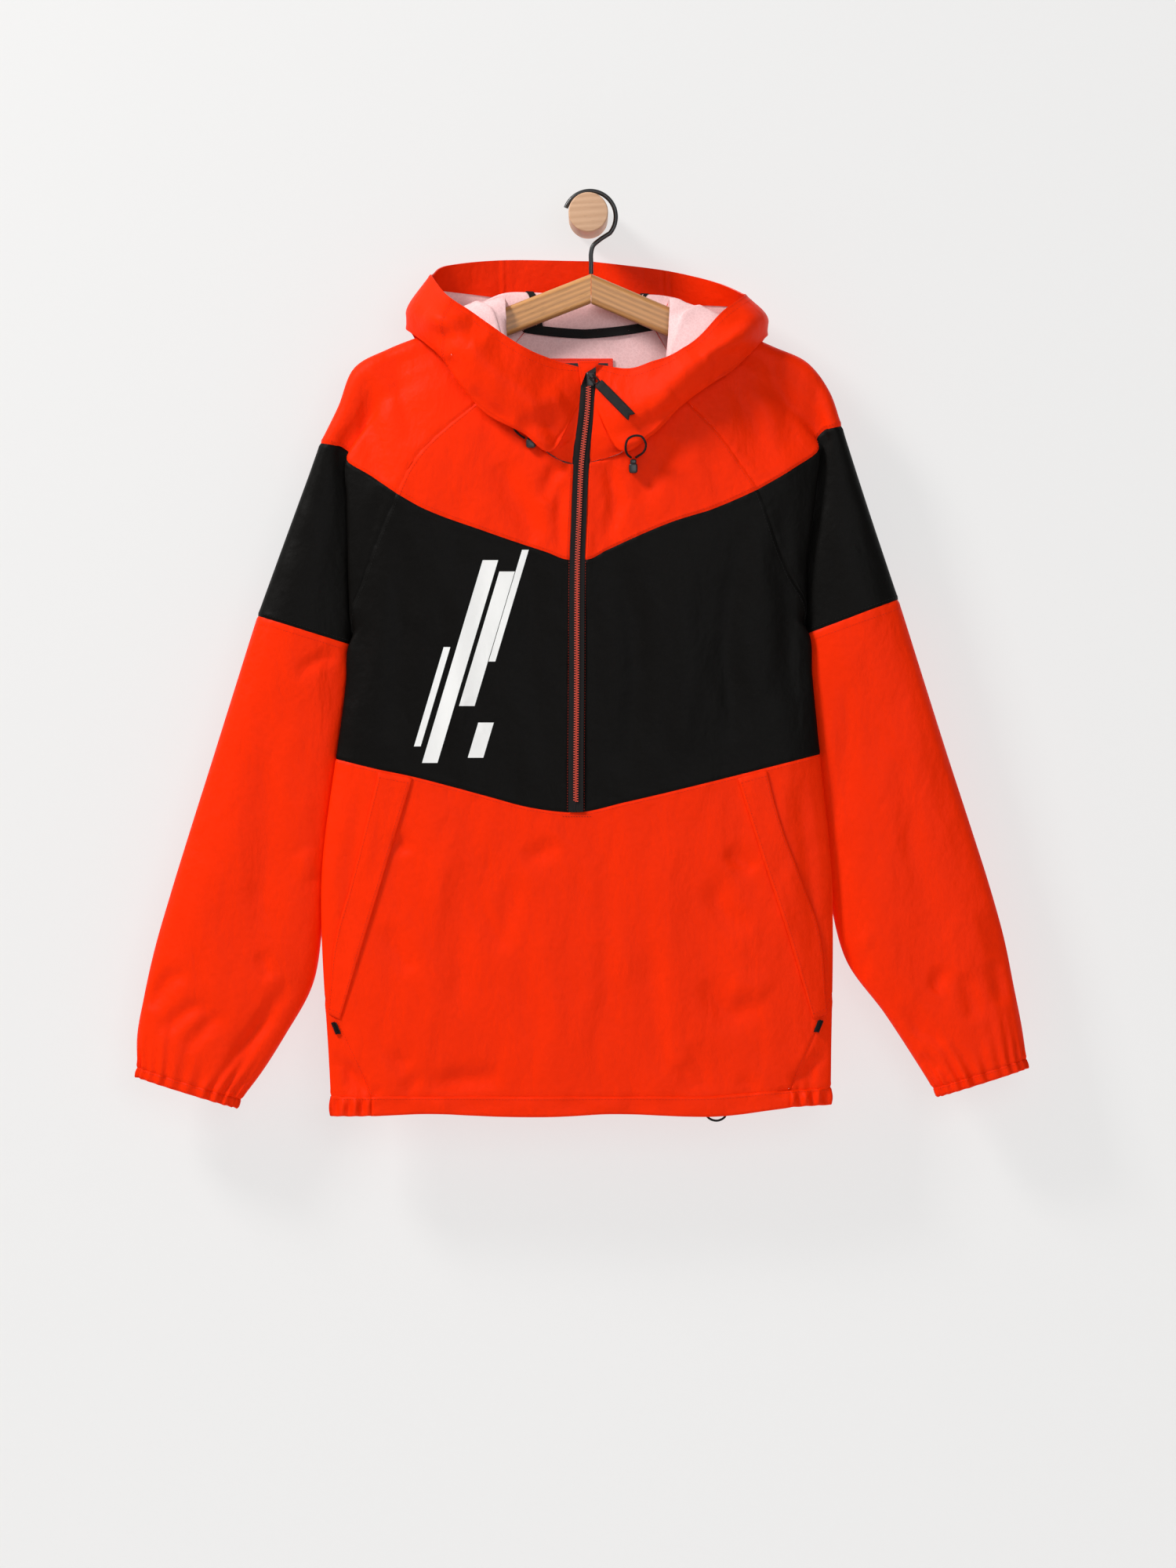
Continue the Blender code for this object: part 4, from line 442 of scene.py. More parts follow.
BACK_CREASES = (
    (-1.2, 9, (-150, -160), (-135, -200), (-120, -232)),
    (-1.2, 9, (142, -168), (128, -205), (112, -238)),
    (-0.8, 12, (-44, -150), (-30, -205), (-34, -262)),
    (-0.9, 11, (52, -148), (61, -200), (56, -256)),
    (-1.6, 10, (-172, -330), (-160, -430), (-176, -520)),
    (1.2, 13, (-112, -310), (-99, -430), (-114, -530)),
    (-1.2, 12, (-46, -332), (-39, -450), (-53, -536)),
    (1.1, 14, (19, -320), (29, -430), (17, -531)),
    (-1.5, 10, (81, -326), (72, -441), (87, -524)),
    (1.1, 12, (139, -316), (151, -421), (137, -519)),
    (-1.4, 9, (186, -352), (176, -441), (187, -518)),
    (-1.5, 10, (-192, -581), (-178, -690), (-187, -800), (-179, -848)),
    (1.2, 14, (-131, -566), (-123, -680), (-137, -792)),
    (-1.3, 11, (-71, -589), (-63, -702), (-77, -838)),
    (1.1, 15, (-16, -571), (-9, -681), (-21, -802)),
    (-1.4, 10, (46, -579), (53, -701), (43, -829)),
    (1.1, 13, (101, -568), (94, -682), (107, -818)),
    (-1.5, 10, (161, -582), (151, -691), (167, -799)),
    (-1.2, 8, (206, -602), (197, -700), (207, -788)),
    (-1.6, 6, (-232, -798), (-206, -814), (-189, -841)),
    (-1.5, 6, (216, -794), (191, -811), (171, -839)),
    (-1.8, 7, (-92, -812), (-66, -824), (-38, -816)),
    (-1.4, 10, (-247, -300), (-270, -400), (-289, -486)),
    (-1.6, 11, (-331, -519), (-351, -641), (-371, -742)),
    (-1.7, 6, (-300, -474), (-322, -456), (-349, -463)),
    (-1.8, 6, (-387, -641), (-361, -626), (-334, -643)),
    (-2.0, 6, (-421, -799), (-404, -779), (-384, -771)),
    (-2.0, 6, (-396, -816), (-379, -789), (-354, -776)),
    (-1.8, 6, (-369, -834), (-349, -801), (-326, -771)),
    (-1.4, 10, (236, -292), (256, -391), (276, -481)),
    (-1.6, 11, (311, -511), (336, -632), (354, -731)),
    (-1.7, 6, (281, -466), (306, -449), (331, -458)),
    (-1.8, 6, (371, -631), (347, -617), (318, -636)),
    (-2.0, 6, (409, -791), (391, -771), (372, -764)),
    (-2.0, 6, (384, -809), (366, -783), (341, -770)),
    (-1.8, 6, (357, -829), (337, -795), (312, -764)),
)
CREASE_REACH = 1.35     # shown reach of a crease for each millimetre in its table
STEEPEST = 0.5          # height of a crease for each millimetre of reach
FRONT_DEPTH = 2.0       # shown height for each millimetre in the table
BACK_DEPTH = 1.5
HOOD_DEPTH = 1.3
PRINT_BARS = (          # x and z of the middle, width, height
    (-124.0, -436.0, 15.0, 196.0),
    (-98.0, -414.0, 15.0, 130.0),
    (-77.0, -382.0, 6.5, 108.0),
    (-151.0, -470.0, 6.5, 96.0),
    (-104.0, -512.0, 15.0, 34.0),
)
FULL_FOLD = 400.0       # a distance from the fold where the cloth has its full depth
FLATTER_FROM = (340.0, 520.0, 1.1)      # the body flattens from here, over this, to this share
PLAN_ROUND = 0.2        # fullness lost from the middle of the body to its side
BAND_CRESTS = {False: (12.5, 18.0), True: (-10.0, -14.0)}   # out, top to underarm, front and back
DENT = 0.7              # how far the band rises to its crest halfway there
LAP_FROM = 0.5          # the band laps over the body from here down
FOLDS_FROM = 0.4        # the cap takes up the folds beside the body from here down
LOWER_DEPTHS = {True: (18.0, 17.0), False: (14.0, 15.0)}    # lower sleeve, front and back
LOWER_TUCK = 4.4        # how far the lower sleeve starts inside the body's fold
LOWER_TUCKED = (0.08, 0.45, 0.25)       # shares: reached by, left from, left over
LOWER_SETTLES = 0.22    # share of its length where the sleeve takes its own form
LOWER_SHIFT = (-4.0, 0.3)               # backward shift, and the share it comes in over
ROLL_OFF = (0.9, 0.6)   # start of the hood's roll, inward and up from the neck seam
ROLL_LIFT = (0.35, 0.92, 0.1)           # the roll's direction: inward, up, out

# ---------------------------------------------------------------- surfaces

def blend(a: Value, b: Value, share: Value) -> Value:
    """Return the value a share of the way from a to b."""
    return a + (b - a) * share


def smooth(t: Value, ends: Sequence[np.ndarray], tangents: Sequence[np.ndarray]) -> np.ndarray:
    """Return a point of a cubic between two ends with their tangents."""
    return ((2 * t**3 - 3 * t**2 + 1) * ends[0] + (t**3 - 2 * t**2 + t) * tangents[0]
            + (3 * t**2 - 2 * t**3) * ends[1] + (t**3 - t**2) * tangents[1])


def knots(points: np.ndarray, spans: np.ndarray) -> np.ndarray:
    """Return a tangent for each point, per unit of its key.

    Args:
        points: the points, or rows of points, in order.
        spans: the step of the key from each to the next.

    Returns:
        The tangents, as many as the points.
    """
    slopes = np.diff(points, axis=0) / spans
    inner = (slopes[:-1] * spans[1:] + slopes[1:] * spans[:-1]) / (spans[1:] + spans[:-1])
    return np.concatenate([slopes[:1], inner, slopes[-1:]])


def gone(lines: np.ndarray) -> np.ndarray:
    """Return the distance gone along a line of points at each of them."""
    return np.append(0.0, np.cumsum(np.linalg.norm(np.diff(lines, axis=0), axis=1)))


def bell(distance: Value, width: float) -> Value:
    """Return a round bump, 1 at no distance and nearly 0 past twice the width."""
    return np.exp(-((distance / width) ** 2))


def ease(t: float) -> float:
    """Return a smooth step from 0 to 1."""
    t = min(max(t, 0.0), 1.0)
    return t * t * (3 - 2 * t)


def rise(t: float) -> float:
    """Return a quarter ellipse, steep at 0 and level at 1."""
    t = min(max(t, 0.0), 1.0)
    return math.sqrt(1 - (1 - t) ** 2)


class Curve:
    """A smooth curve through a few points, read by a key."""

    def __init__(self, points: Sequence[Point], keys: Sequence[float] | None = None) -> None:
        """Fit the curve.

        Args:
            points: the points it passes through.
            keys: a rising key for each point; the share of its length if None.
        """
        self.points = np.array(points, float)
        steps = np.linalg.norm(np.diff(self.points, axis=0), axis=1)
        self.keys = np.array(gone(self.points) / steps.sum() if keys is None else keys, float)
        self.tangents = knots(self.points, np.diff(self.keys)[:, None])
        self.reach = MAX_SWING * np.minimum(np.append(steps, steps[-1]), np.append(steps[0], steps))

    def swing(self, i: int, span: float) -> np.ndarray:
        """Return the tangent at point i, kept short beside a short step."""
        tangent = self.tangents[i] * span
        return tangent * min(1.0, self.reach[i] / max(np.linalg.norm(tangent), 1e-9))

    def at(self, key: float) -> np.ndarray:
        """Return the curve's point at a key.

        Args:
            key: how far along, by the keys of its points.

        Returns:
            The point.
        """
        key = min(max(key, self.keys[0]), self.keys[-1])
        i = min(int(np.searchsorted(self.keys, key, side="right")) - 1, len(self.keys) - 2)
        span = self.keys[i + 1] - self.keys[i]
        t = (key - self.keys[i]) / span
        return smooth(t, self.points[i:i + 2], (self.swing(i, span), self.swing(i + 1, span)))

    def sampled(self, count: int) -> np.ndarray:
        """Return points at even keys from the first to the last."""
        keys = np.linspace(self.keys[0], self.keys[-1], count)
        return np.array([self.at(key) for key in keys])


def table_curve(rows: Iterable[Point]) -> Curve:
    """Return a curve whose first column, rising or falling, is the key."""
    ordered = sorted(rows)
    return Curve([row[1:] for row in ordered], [row[0] for row in ordered])


ZIP = table_curve([(z, x) for x, z in ZIP_LINE])
ZIP_OUT = table_curve(ZIP_FORM)
FOLD = table_curve(FOLD_SHARE)


def zip_x(z: float) -> float:
    """Return the x of the zip's middle at a height."""
    return float(ZIP.at(z)[0])


def zip_out(z: float) -> float:
    """Return how far forward the zip lies at a height."""
    return float(ZIP_OUT.at(z)[0])


def ring_angles() -> list[float]:
    """Return the angles of a sleeve ring's columns.

    Returns:
        The angles, in radians, from the underarm line.
    """
    inner = [k / INNER_STEPS * math.pi / 2 for k in range(INNER_STEPS)]
    outer = [math.pi / 2 * (1 + k / OUTER_STEPS) for k in range(OUTER_STEPS + 1)]
    front = inner + outer
    return front + [2 * math.pi - angle for angle in front[-2:0:-1]]


RING_ANGLES = ring_angles()
RING = len(RING_ANGLES)


class Side:
    """One half of the garment: its seam lines and the cloth between them."""

    def __init__(self, name: str) -> None:
        """Read the half's tables; name is "l" or "r".

        Args:
            name: its name.
        """
        table = SIDES[name]
        self.name = name
        self.table = table
        self.inward = table["inward"]
        self.edge_curve = table_curve(table["edge"])
        self.raglan_low = table_curve(table["raglan_low"])
        self.curves = {key: Curve(table[key]) for key in (
            "outer_cap", "outer_band", "outer_lower", "inner_lower", "raglan_front",
            "raglan_back", "neck_front", "neck_side", "neck_back_side")}
        self.seams = {key: table_curve(table[key]) for key in (
            "yoke_seam", "chest_seam", "hem_seam")}
        self.side_rows = self.side_heights()

    def edge(self, z: float) -> float:
        """Return the x of the body's fold at a height."""
        return float(self.edge_curve.at(z)[0])

    def zip_edge(self, z: float) -> float:
        """Return the x where this half meets the zip tape."""
        return zip_x(z) - self.inward * ZIP_HALF

    def drop(self, x: float, z: float) -> float:
        """Return how far a point lies below the line of the shoulder."""
        x0, z0 = self.table["outer_cap"][0]
        return z0 - abs(x - x0) * self.table["ridge_slope"] * (1 if abs(x) > abs(x0) else -1) - z

    def fullness(self, x: float, z: float) -> float:
        """Return the body's share of its full depth at a point.

        Args:
            x: place across.
            z: place up.

        Returns:
            A share from 0 to 1.
        """
        middle = (x - BODY_MID) / BODY_HALF
        start, reach, most = FLATTER_FROM
        hanging = 1 - HEM_SHRINK * min(max((-z - start) / reach, 0), most)
        return (1 - PLAN_ROUND * middle**2) * hanging

    def front_out(self, x: float, z: float, along: float = FULL_FOLD) -> float:
        """Return how far forward the front lies."""
        share = float(FOLD.at(along)[0])
        return FRONT_OUT * self.fullness(x, z) * rise(self.drop(x, z) / FRONT_RISE) * share

    def back_out(self, x: float, z: float, along: float = FULL_FOLD) -> float:
        """Return how far back the back lies, as a negative number."""
        share = float(FOLD.at(along)[0])
        return -BACK_OUT * self.fullness(x, z) * rise(self.drop(x, z) / BACK_RISE) * share

    def front(self, along: float, z: float) -> np.ndarray:
        """Return a point of the front, by its distance along from the fold.

        Args:
            along: distance along the cloth from the fold.
            z: place up.

        Returns:
            Across, up and out, in millimetres.
        """
        tuck = SIDE_TUCK * (min(along, 0) / SIDE_WALL) ** 2
        x = self.edge(z) + self.inward * (max(along, 0) + tuck)
        return np.array([x, z, self.front_out(x, z, along)])

    def front_at(self, x: float, z: float) -> np.ndarray:
        """Return the point of the front at an x and z."""
        return self.front(self.inward * (x - self.edge(z)), z)

    def back(self, along: float, z: float) -> np.ndarray:
        """Return a point of the back, by its distance along from the side."""
        x = self.edge(z) + self.inward * (SIDE_TUCK + max(along, 0))
        return np.array([x, z, self.back_out(x, z, along)])

    def side_heights(self) -> list[float]:
        """Return the heights of the rows at the side, yoke seam to hem.

        Returns:
            The heights, top first.
        """
        top, arm = self.table["raglan_low"][0][0], self.table["raglan_low"][-1][0]
        chest, gusset = self.table["chest_seam"][-1][1], self.table["gusset_top"]
        hem = self.table["hem_seam"][-1][1]
        rows = [top]
        for start, end, count in ((top, arm, BAND_ROWS), (arm, chest, CHEST_ROWS),
                                  (chest, gusset, LOWER_ROWS), (gusset, hem, GUSSET_COLUMNS)):
            rows += [blend(start, end, (i + 1) / count) for i in range(count)]
        return rows

    def row(self, index: int, back: bool = False) -> np.ndarray:
        """Return one row of the body below the yoke seam, side to middle.

        Args:
            index: number of the row.
            back: whether it is the back.

        Returns:
            Its points, in millimetres.
        """
        side_z = self.side_rows[index]
        chest_row = BAND_ROWS + CHEST_ROWS
        top, low = ("yoke_seam", "chest_seam") if index <= chest_row else ("chest_seam", "hem_seam")
        first, last = (0, chest_row) if index <= chest_row else (chest_row, len(self.side_rows) - 1)
        share = ((side_z - self.side_rows[first])
                 / (self.side_rows[last] - self.side_rows[first]))
        start = float(self.raglan_low.at(side_z)[0])
        columns = [start + offset for offset in NEAR_OFFSETS]
        middle = self.zip_edge(side_z) if not back else BODY_MID
        far_count = FAR_COLUMNS[back]
        reach = self.inward * (middle - self.edge(side_z)) - (SIDE_TUCK if back else 0)
        columns += [blend(columns[-1], reach, (i + 1) / far_count) for i in range(far_count)]
        points = []
        for along in columns:
            across = min((reach - along) / (reach - max(start, 0)), 1.0)
            if back:
                seams = BACK_SEAMS[:2] if index <= chest_row else BACK_SEAMS[1:]
                z = blend(side_z, blend(*seams, share), 1 - across**2)
                points.append(self.back(along, z))
                continue
            z = blend(float(self.seams[top].at(across)[0]), float(self.seams[low].at(across)[0]),
                      share)
            point = self.front(along, z)
            if along > NEAR_OFFSETS[-1] + start:
                far = (along - start - NEAR_OFFSETS[-1]) / (reach - start - NEAR_OFFSETS[-1])
                near_x = self.edge(z) + self.inward * (start + NEAR_OFFSETS[-1])
                point = self.front_at(blend(near_x, self.zip_edge(z), far), z)
            points.append(point)
        return np.array(points)

    def hem_z(self, along: float, back: bool) -> float:
        """Return the height of the hem's seam at a distance from the fold.

        Args:
            along: distance along the cloth from the fold.
            back: whether it is the back.

        Returns:
            The height, in millimetres.
        """
        reach = self.hem_reach(back)
        across = min((reach - along) / reach, 1.0)
        if back:
            return blend(self.side_rows[-1], BACK_SEAMS[-1], 1 - across**2)
        return float(self.seams["hem_seam"].at(across)[0])

    def hem_reach(self, back: bool) -> float:
        """Return the width of this half's hem.

        Args:
            back: whether it is the back.

        Returns:
            The width, in millimetres.
        """
        z = self.side_rows[-1]
        middle = BODY_MID if back else self.zip_edge(z)
        return self.inward * (middle - self.edge(z)) - (SIDE_TUCK if back else 0)

    def yoke(self, back: bool = False) -> np.ndarray:
        """Return the rows of the yoke, neck seam to yoke seam.

        Args:
            back: whether it is the back.

        Returns:
            Rows of points, in millimetres.
        """
        low = self.row(0, back)
        raglan = self.curves["raglan_back" if back else "raglan_front"]
        widths = np.abs(low[:, 0] - low[0, 0]) / abs(low[-1, 0] - low[0, 0])
        rows = []
        for i in range(YOKE_ROWS + 1):
            share = i / YOKE_ROWS
            middle_z = blend(self.neck_point(1.0, back)[1], low[-1, 1], share)
            middle = np.array([BODY_MID if back else self.zip_edge(middle_z), middle_z])
            side = raglan.at(share)
            row = []
            for j, width in enumerate(widths):
                flat = blend(self.neck_point(width, back), low[j, :2], share)
                ends = blend(blend(self.neck_point(0, back), low[0, :2], share),
                             blend(self.neck_point(1, back), low[-1, :2], share), width)
                x, z = flat - ends + blend(side, middle, width)
                row.append((x, z, self.back_out(x, z) if back else self.front_out(x, z)))
            rows.append(row)
        return np.array(rows)

    def neck_point(self, width: float, back: bool) -> np.ndarray:
        """Return a point of the neck seam, raglan (0) to middle (1)."""
        if back:
            corner = np.array(self.table["neck_back_side"][0])
            return blend(corner, np.array([BODY_MID, BACK_NECK_Z]), width)
        return self.curves["neck_front"].at(1 - width)

    def folds(self, share: float, back: bool) -> list[np.ndarray]:
        """Return the section beside the body at a share of the way down.

        Args:
            share: share of the way down.
            back: whether it is the back.

        Returns:
            The points beside the body.
        """
        values = table_curve(BACK_FOLDS if back else FRONT_FOLDS).at(share)
        heights = [blend(a, b, share)
                   for a, b in zip(self.table["seam_z"], self.table["underarm_z"])]
        return [np.array([self.edge(z) + self.inward * values[2 * i], z, values[2 * i + 1]])
                for i, z in enumerate(heights)]

    def band_row(self, share: float, back: bool = False) -> np.ndarray:
        """Return a row of the dark band, raglan seam round to the outer line.

        Args:
            share: share of the way down.
            back: whether it is the back.

        Returns:
            Its points, in millimetres.
        """
        side_z = self.side_rows[0] + (self.side_rows[BAND_ROWS] - self.side_rows[0]) * share
        along = float(self.raglan_low.at(side_z)[0])
        start = self.back(along, side_z) if back else self.front(along, side_z)
        start[0] -= self.inward * UNDERARM_GAP * ease((share - LAP_FROM) / (1 - LAP_FROM))
        folds = self.folds(share, back)
        outer = np.append(self.curves["outer_band"].at(share), 0.0)
        crest_out = blend(*BAND_CRESTS[back], share)
        crest = blend(folds[-1], outer, 0.5)
        crest[2] = crest_out
        dent = blend(folds[-1], crest, 0.5)
        dent[2] = blend(folds[-1][2], crest_out, DENT)
        return np.array([start, *folds, dent, crest, *self.outer_arc(crest, outer)])

    @staticmethod
    def outer_arc(crest: np.ndarray, outer: np.ndarray) -> list[np.ndarray]:
        """Return the points from a sleeve's crest round to its outer line.

        Args:
            crest: the sleeve's crest.
            outer: the sleeve's outer line.

        Returns:
            The points, in order.
        """
        points = []
        for k in range(1, OUTER_STEPS + 1):
            angle = k / OUTER_STEPS * math.pi / 2
            point = blend(crest, outer, math.sin(angle) ** ROUND)
            point[2] = crest[2] * math.cos(angle) ** ROUND if k < OUTER_STEPS else 0.0
            points.append(point)
        return points

    def cap_rows(self, back: bool = False) -> np.ndarray:
        """Return the rows of the sleeve cap, neck seam to colour seam.

        Args:
            back: whether it is the back.

        Returns:
            Rows of points, in millimetres.
        """
        low = self.band_row(0.0, back)
        neck = self.curves["neck_back_side" if back else "neck_side"]
        raglan = self.curves["raglan_back" if back else "raglan_front"]
        arc = [blend(CREST, 1.0, math.sin(k / OUTER_STEPS * math.pi / 2) ** ROUND)
               for k in range(1, OUTER_STEPS + 1)]
        out_at = self.back_out if back else self.front_out
        rows = []
        for i in range(YOKE_ROWS + 1):
            share = i / YOKE_ROWS
            side, outer = raglan.at(share), self.curves["outer_cap"].at(share)
            flat = []
            for j, width in enumerate([*CAP_SHARES, CREST, *arc]):
                ends = blend(blend(neck.at(0), low[0, :2], share),
                             blend(neck.at(1), low[-1, :2], share), width)
                flat.append(blend(neck.at(width), low[j, :2], share) - ends
                            + blend(side, outer, width))
            start_out, crest_out = out_at(*side), out_at(*flat[INNER_STEPS])
            crest_out = math.copysign(max(abs(crest_out), RIDGE_OUT), crest_out)
            fold_share = ease((share - FOLDS_FROM) / (1 - FOLDS_FROM))
            row = []
            for j, (x, z) in enumerate(flat):
                if j <= INNER_STEPS:
                    plain = blend(start_out, crest_out, j / INNER_STEPS)
                else:
                    angle = (j - INNER_STEPS) / OUTER_STEPS * math.pi / 2
                    plain = crest_out * max(math.cos(angle), 0.0) ** ROUND
                row.append((x, z, blend(plain, low[j, 2], fold_share)))
            row[-1] = (*row[-1][:2], 0.0)
            rows.append(row)
        rows[-1] = low
        return np.array(rows)

    def lower_row(self, share: float) -> np.ndarray:
        """Return a closed ring of the lower sleeve, from the underarm line.

        Args:
            share: share of the way down.

        Returns:
            Its points, in millimetres.
        """
        top = np.vstack([self.band_row(1.0), self.band_row(1.0, True)[-2:0:-1]])
        outer = self.curves["outer_lower"].at(share)
        leave = self.table["inner_leaves"]
        if share < leave:
            z = blend(top[0, 1], self.table["inner_lower"][0][1], share / leave)
            by, start, over = LOWER_TUCKED
            tuck = blend(SIDE_TUCK - UNDERARM_GAP, LOWER_TUCK, ease(share / by))
            x = self.edge(z) + self.inward * blend(tuck, 0.0, ease((share - start) / over))
            inner = np.array([x, z])
        else:
            inner = self.curves["inner_lower"].at((share - leave) / (1 - leave))
        settle = ease(share / LOWER_SETTLES)
        shift = LOWER_SHIFT[0] * ease(share / LOWER_SHIFT[1])
        ring = []
        for k, angle in enumerate(RING_ANGLES):
            c, s = math.cos(angle), math.sin(angle)
            across = 0.5 - 0.5 * math.copysign(abs(c) ** ROUND, c)
            depth = blend(*LOWER_DEPTHS[s > 0], share)
            x, z = blend(inner, outer, across)
            out = depth * math.copysign(abs(s) ** ROUND, s) + shift
            ring.append(blend(top[k], np.array([x, z, out]), settle))
        return np.array(ring)

    def neck_loop(self) -> tuple[np.ndarray, np.ndarray]:
        """Return the neck seam, zip to middle of the back, and its shares.

        Returns:
            The points and the share of the way at each.
        """
        points = np.vstack([self.yoke()[0][::-1], self.cap_rows()[0][1:],
                            self.cap_rows(True)[0][::-1][1:], self.yoke(True)[0][1:]])
        lengths = gone(points)
        return points, lengths / lengths[-1]


class HoodForm:
    """Sections of the hood as it lies folded round the neck opening."""

    def __init__(self, side: Side) -> None:
        """Read the half's sections; side carries the neck seam.

        Args:
            side: the half it belongs to.
        """
        self.side = side
        self.loop = side.neck_loop()
        flat = [[row[0], *[value for point in row[1:] for value in point], *rest]
                for row, *rest in zip(HOOD[side.name], ROLL_SHARE, TOP_ROUND, FOLD_ROUND)]
        self.table = Curve(flat, range(len(flat)))

    @staticmethod
    def turn(before: np.ndarray, tip: np.ndarray, after: np.ndarray, rounded: float) -> tuple:
        """Return a tip of a section with the points that round it off.

        Args:
            before: the point before the tip.
            tip: the tip itself.
            after: the point after it.
            rounded: how round the tip is, from 0 to 1.

        Returns:
            The points in place of the tip.
        """
        back = (before + after) / 2 - tip
        back *= FOLD_RADIUS / np.linalg.norm(back)
        across = after - before
        across -= back * np.dot(across, back) / FOLD_RADIUS**2
        across *= FOLD_RADIUS / max(np.linalg.norm(across), 1.0)
        return (blend(blend(before, tip, 0.8), tip + back - across, rounded), tip,
                blend(blend(tip, after, 0.2), tip + back + across, rounded))

    def section(self, station: float, steps: Sequence[int]) -> np.ndarray:
        """Return points from the neck seam to the brim.

        Args:
            station: 0 at the zip to 10 at the middle of the back.
            steps: samples between the section's own points.

        Returns:
            The samples, in millimetres.
        """
        values = self.table.at(station)
        points, lengths = self.loop
        start = np.array([np.interp(values[0], lengths, points[:, i]) for i in range(3)])
        top, under, fold, face, brim = (values[1 + 3 * i:4 + 3 * i] for i in range(5))
        rolled, top_round, fold_round = (min(max(value, 0.0), 1.0) for value in values[-3:])
        ahead = (top - start) / np.linalg.norm(top - start)
        start = start + rolled * np.array([self.side.inward * ROLL_OFF[0], ROLL_OFF[1], 0.0])
        lift = np.array([self.side.inward * ROLL_LIFT[0], *ROLL_LIFT[1:]])
        roll = start + ROLL * blend(ahead, lift, rolled)
        curve = Curve([start, roll, *self.turn(roll, top, under, top_round), under,
                       *self.turn(under, fold, face, fold_round), face, brim])
        samples = [curve.at(0)]
        for i, count in enumerate(steps):
            for k in range(1, count + 1):
                samples.append(curve.at(blend(curve.keys[i], curve.keys[i + 1], k / count)))
        return np.array(samples)


# ---------------------------------------------------------------- creases

class Face(Enum):
    """Which side of the garment a crease is pressed into."""

    FRONT = 1.0
    BACK = -1.0


FAR = 1e9               # a distance past any point


@dataclass(frozen=True)
class Crease:
    """A soft ridge, or with a negative height a trough, along a line."""

    path: tuple[Point, ...]      # (x, z) in the front view
    height: float
    width: float                 # reach to each side
    face: Face = Face.FRONT

    def heights(self, flat: np.ndarray) -> np.ndarray:
        """Return the crease's height at points.

        Args:
            flat: (n, 2) x and z.

        Returns:
            (n,) heights, nearly 0 away from the crease and at its ends.
        """
        line = np.array(self.path)
        if len(line) > 2:
            line = Curve(self.path).sampled(4 * len(line))
        starts = gone(line)
        best = np.full(len(flat), FAR)
        share = np.zeros(len(flat))
        for a, b, start, length in zip(line, line[1:], starts, np.diff(starts)):
            t = np.clip((flat - a) @ (b - a) / length**2, 0, 1)
            off = flat - a - t[:, None] * (b - a)
            distance = np.linalg.norm(off, axis=1)
            near = distance < best
            best[near] = distance[near]
            share[near] = ((start + t * length) / starts[-1])[near]
        taper = 1 - np.abs(2 * share - 1) ** 3
        return self.height * taper * bell(best, self.width)


@dataclass(frozen=True)
class Relief:
    """Listed creases and a faint uneven rumple over a stretch of cloth."""

    creases: tuple[Crease, ...]
    seed: int
    rumple: float = 0.15         # mm of height for each wave
    waves: int = 18
    shortest: float = 26.0       # length of the shortest wave
    longest: float = 5.5         # times that is the longest
    turn: float = 0.6            # spread of the waves' slant, in radians
    usual: float = 60.0          # length of a wave of full height
    upright: float = 0.8         # below 1 draws the waves out downwards
    grip: float = 1.7            # how soon cloth that turns away loses its creases

    def offsets(self, points: np.ndarray, normals: np.ndarray) -> np.ndarray:
        """Return how far to press points along "out".

        Args:
            points: (n, 3) points.
            normals: (n, 3) unit normals that face outwards.

        Returns:
            (n,) offsets, forward on the front and backward on the back.
        """
        flat = points[:, :2]
        facing = normals[:, 2]
        total = np.zeros(len(points))
        for face in Face:
            weight = np.clip(self.grip * facing * face.value, 0, 1)
            height = self.uneven(flat, face)
            for crease in self.creases:
                if crease.face is face:
                    height = height + crease.heights(flat)
            total += face.value * weight * height
        return total

    def uneven(self, flat: np.ndarray, face: Face) -> np.ndarray:
        """Return a sum of long slanted waves, mostly upright ones.

        Args:
            flat: the flat places of the points.
            face: the face the creases are on.

        Returns:
            The heights, about -1 to 1.
        """
        random = np.random.default_rng(self.seed + int(face.value))
        height = np.zeros(len(flat))
        for _ in range(self.waves):
            length = self.shortest * self.longest ** random.random()
            turn = random.normal(0.0, self.turn)
            across = flat[:, 0] * math.cos(turn) + flat[:, 1] * math.sin(turn) * self.upright
            phase = 2 * math.pi * random.random()
            wave = np.sin(2 * math.pi * across / length + phase)
            height += self.rumple * (length / self.usual) * wave
        return height


# ---------------------------------------------------------------- cloth

NEAR_SEAM = (0.9, 1.8, 3.2, 5.2)     # extra lines of points beside a seam
NEAR_SHARE = 0.45                    # they stay within this share of the step to the next row
SEAM_DIP = (0.55, 1.3)               # depth and reach of the groove at a seam
SEAM_LIP = (0.3, 3.4, 1.7)           # height, place and reach of the lip beside it
SEAM_PUCKER = (0.13, 7.0)            # height and reach of the small waves along a seam
PUCKERS = (11.0, 17.3, 29.0)         # their lengths
SHELL = 0.5                          # thickness of the shown cloth
STITCH_LIFT = 0.12                   # stitches lie this far off the cloth
TOUCHING = 0.01                      # points nearer than this are one
ROLLED = 0.45                        # swell of a rolled edge, in walls
SHARP = 70.0                         # degrees where a panel's edge shows as an edge
WHOLE = 1                            # how a cell of the grid is kept: its corners by code
CELL_CORNERS = {WHOLE: (0, 1, 2, 3), 2: (0, 2, 3), 3: (0, 1, 2), 4: (0, 1, 3), 5: (1, 2, 3)}


def seam_profile(distance: np.ndarray) -> np.ndarray:
    """Return the height of the cloth at a distance from a seam."""
    lip, place, reach = SEAM_LIP
    return lip * bell(distance - place, reach) - SEAM_DIP[0] * bell(distance, SEAM_DIP[1])


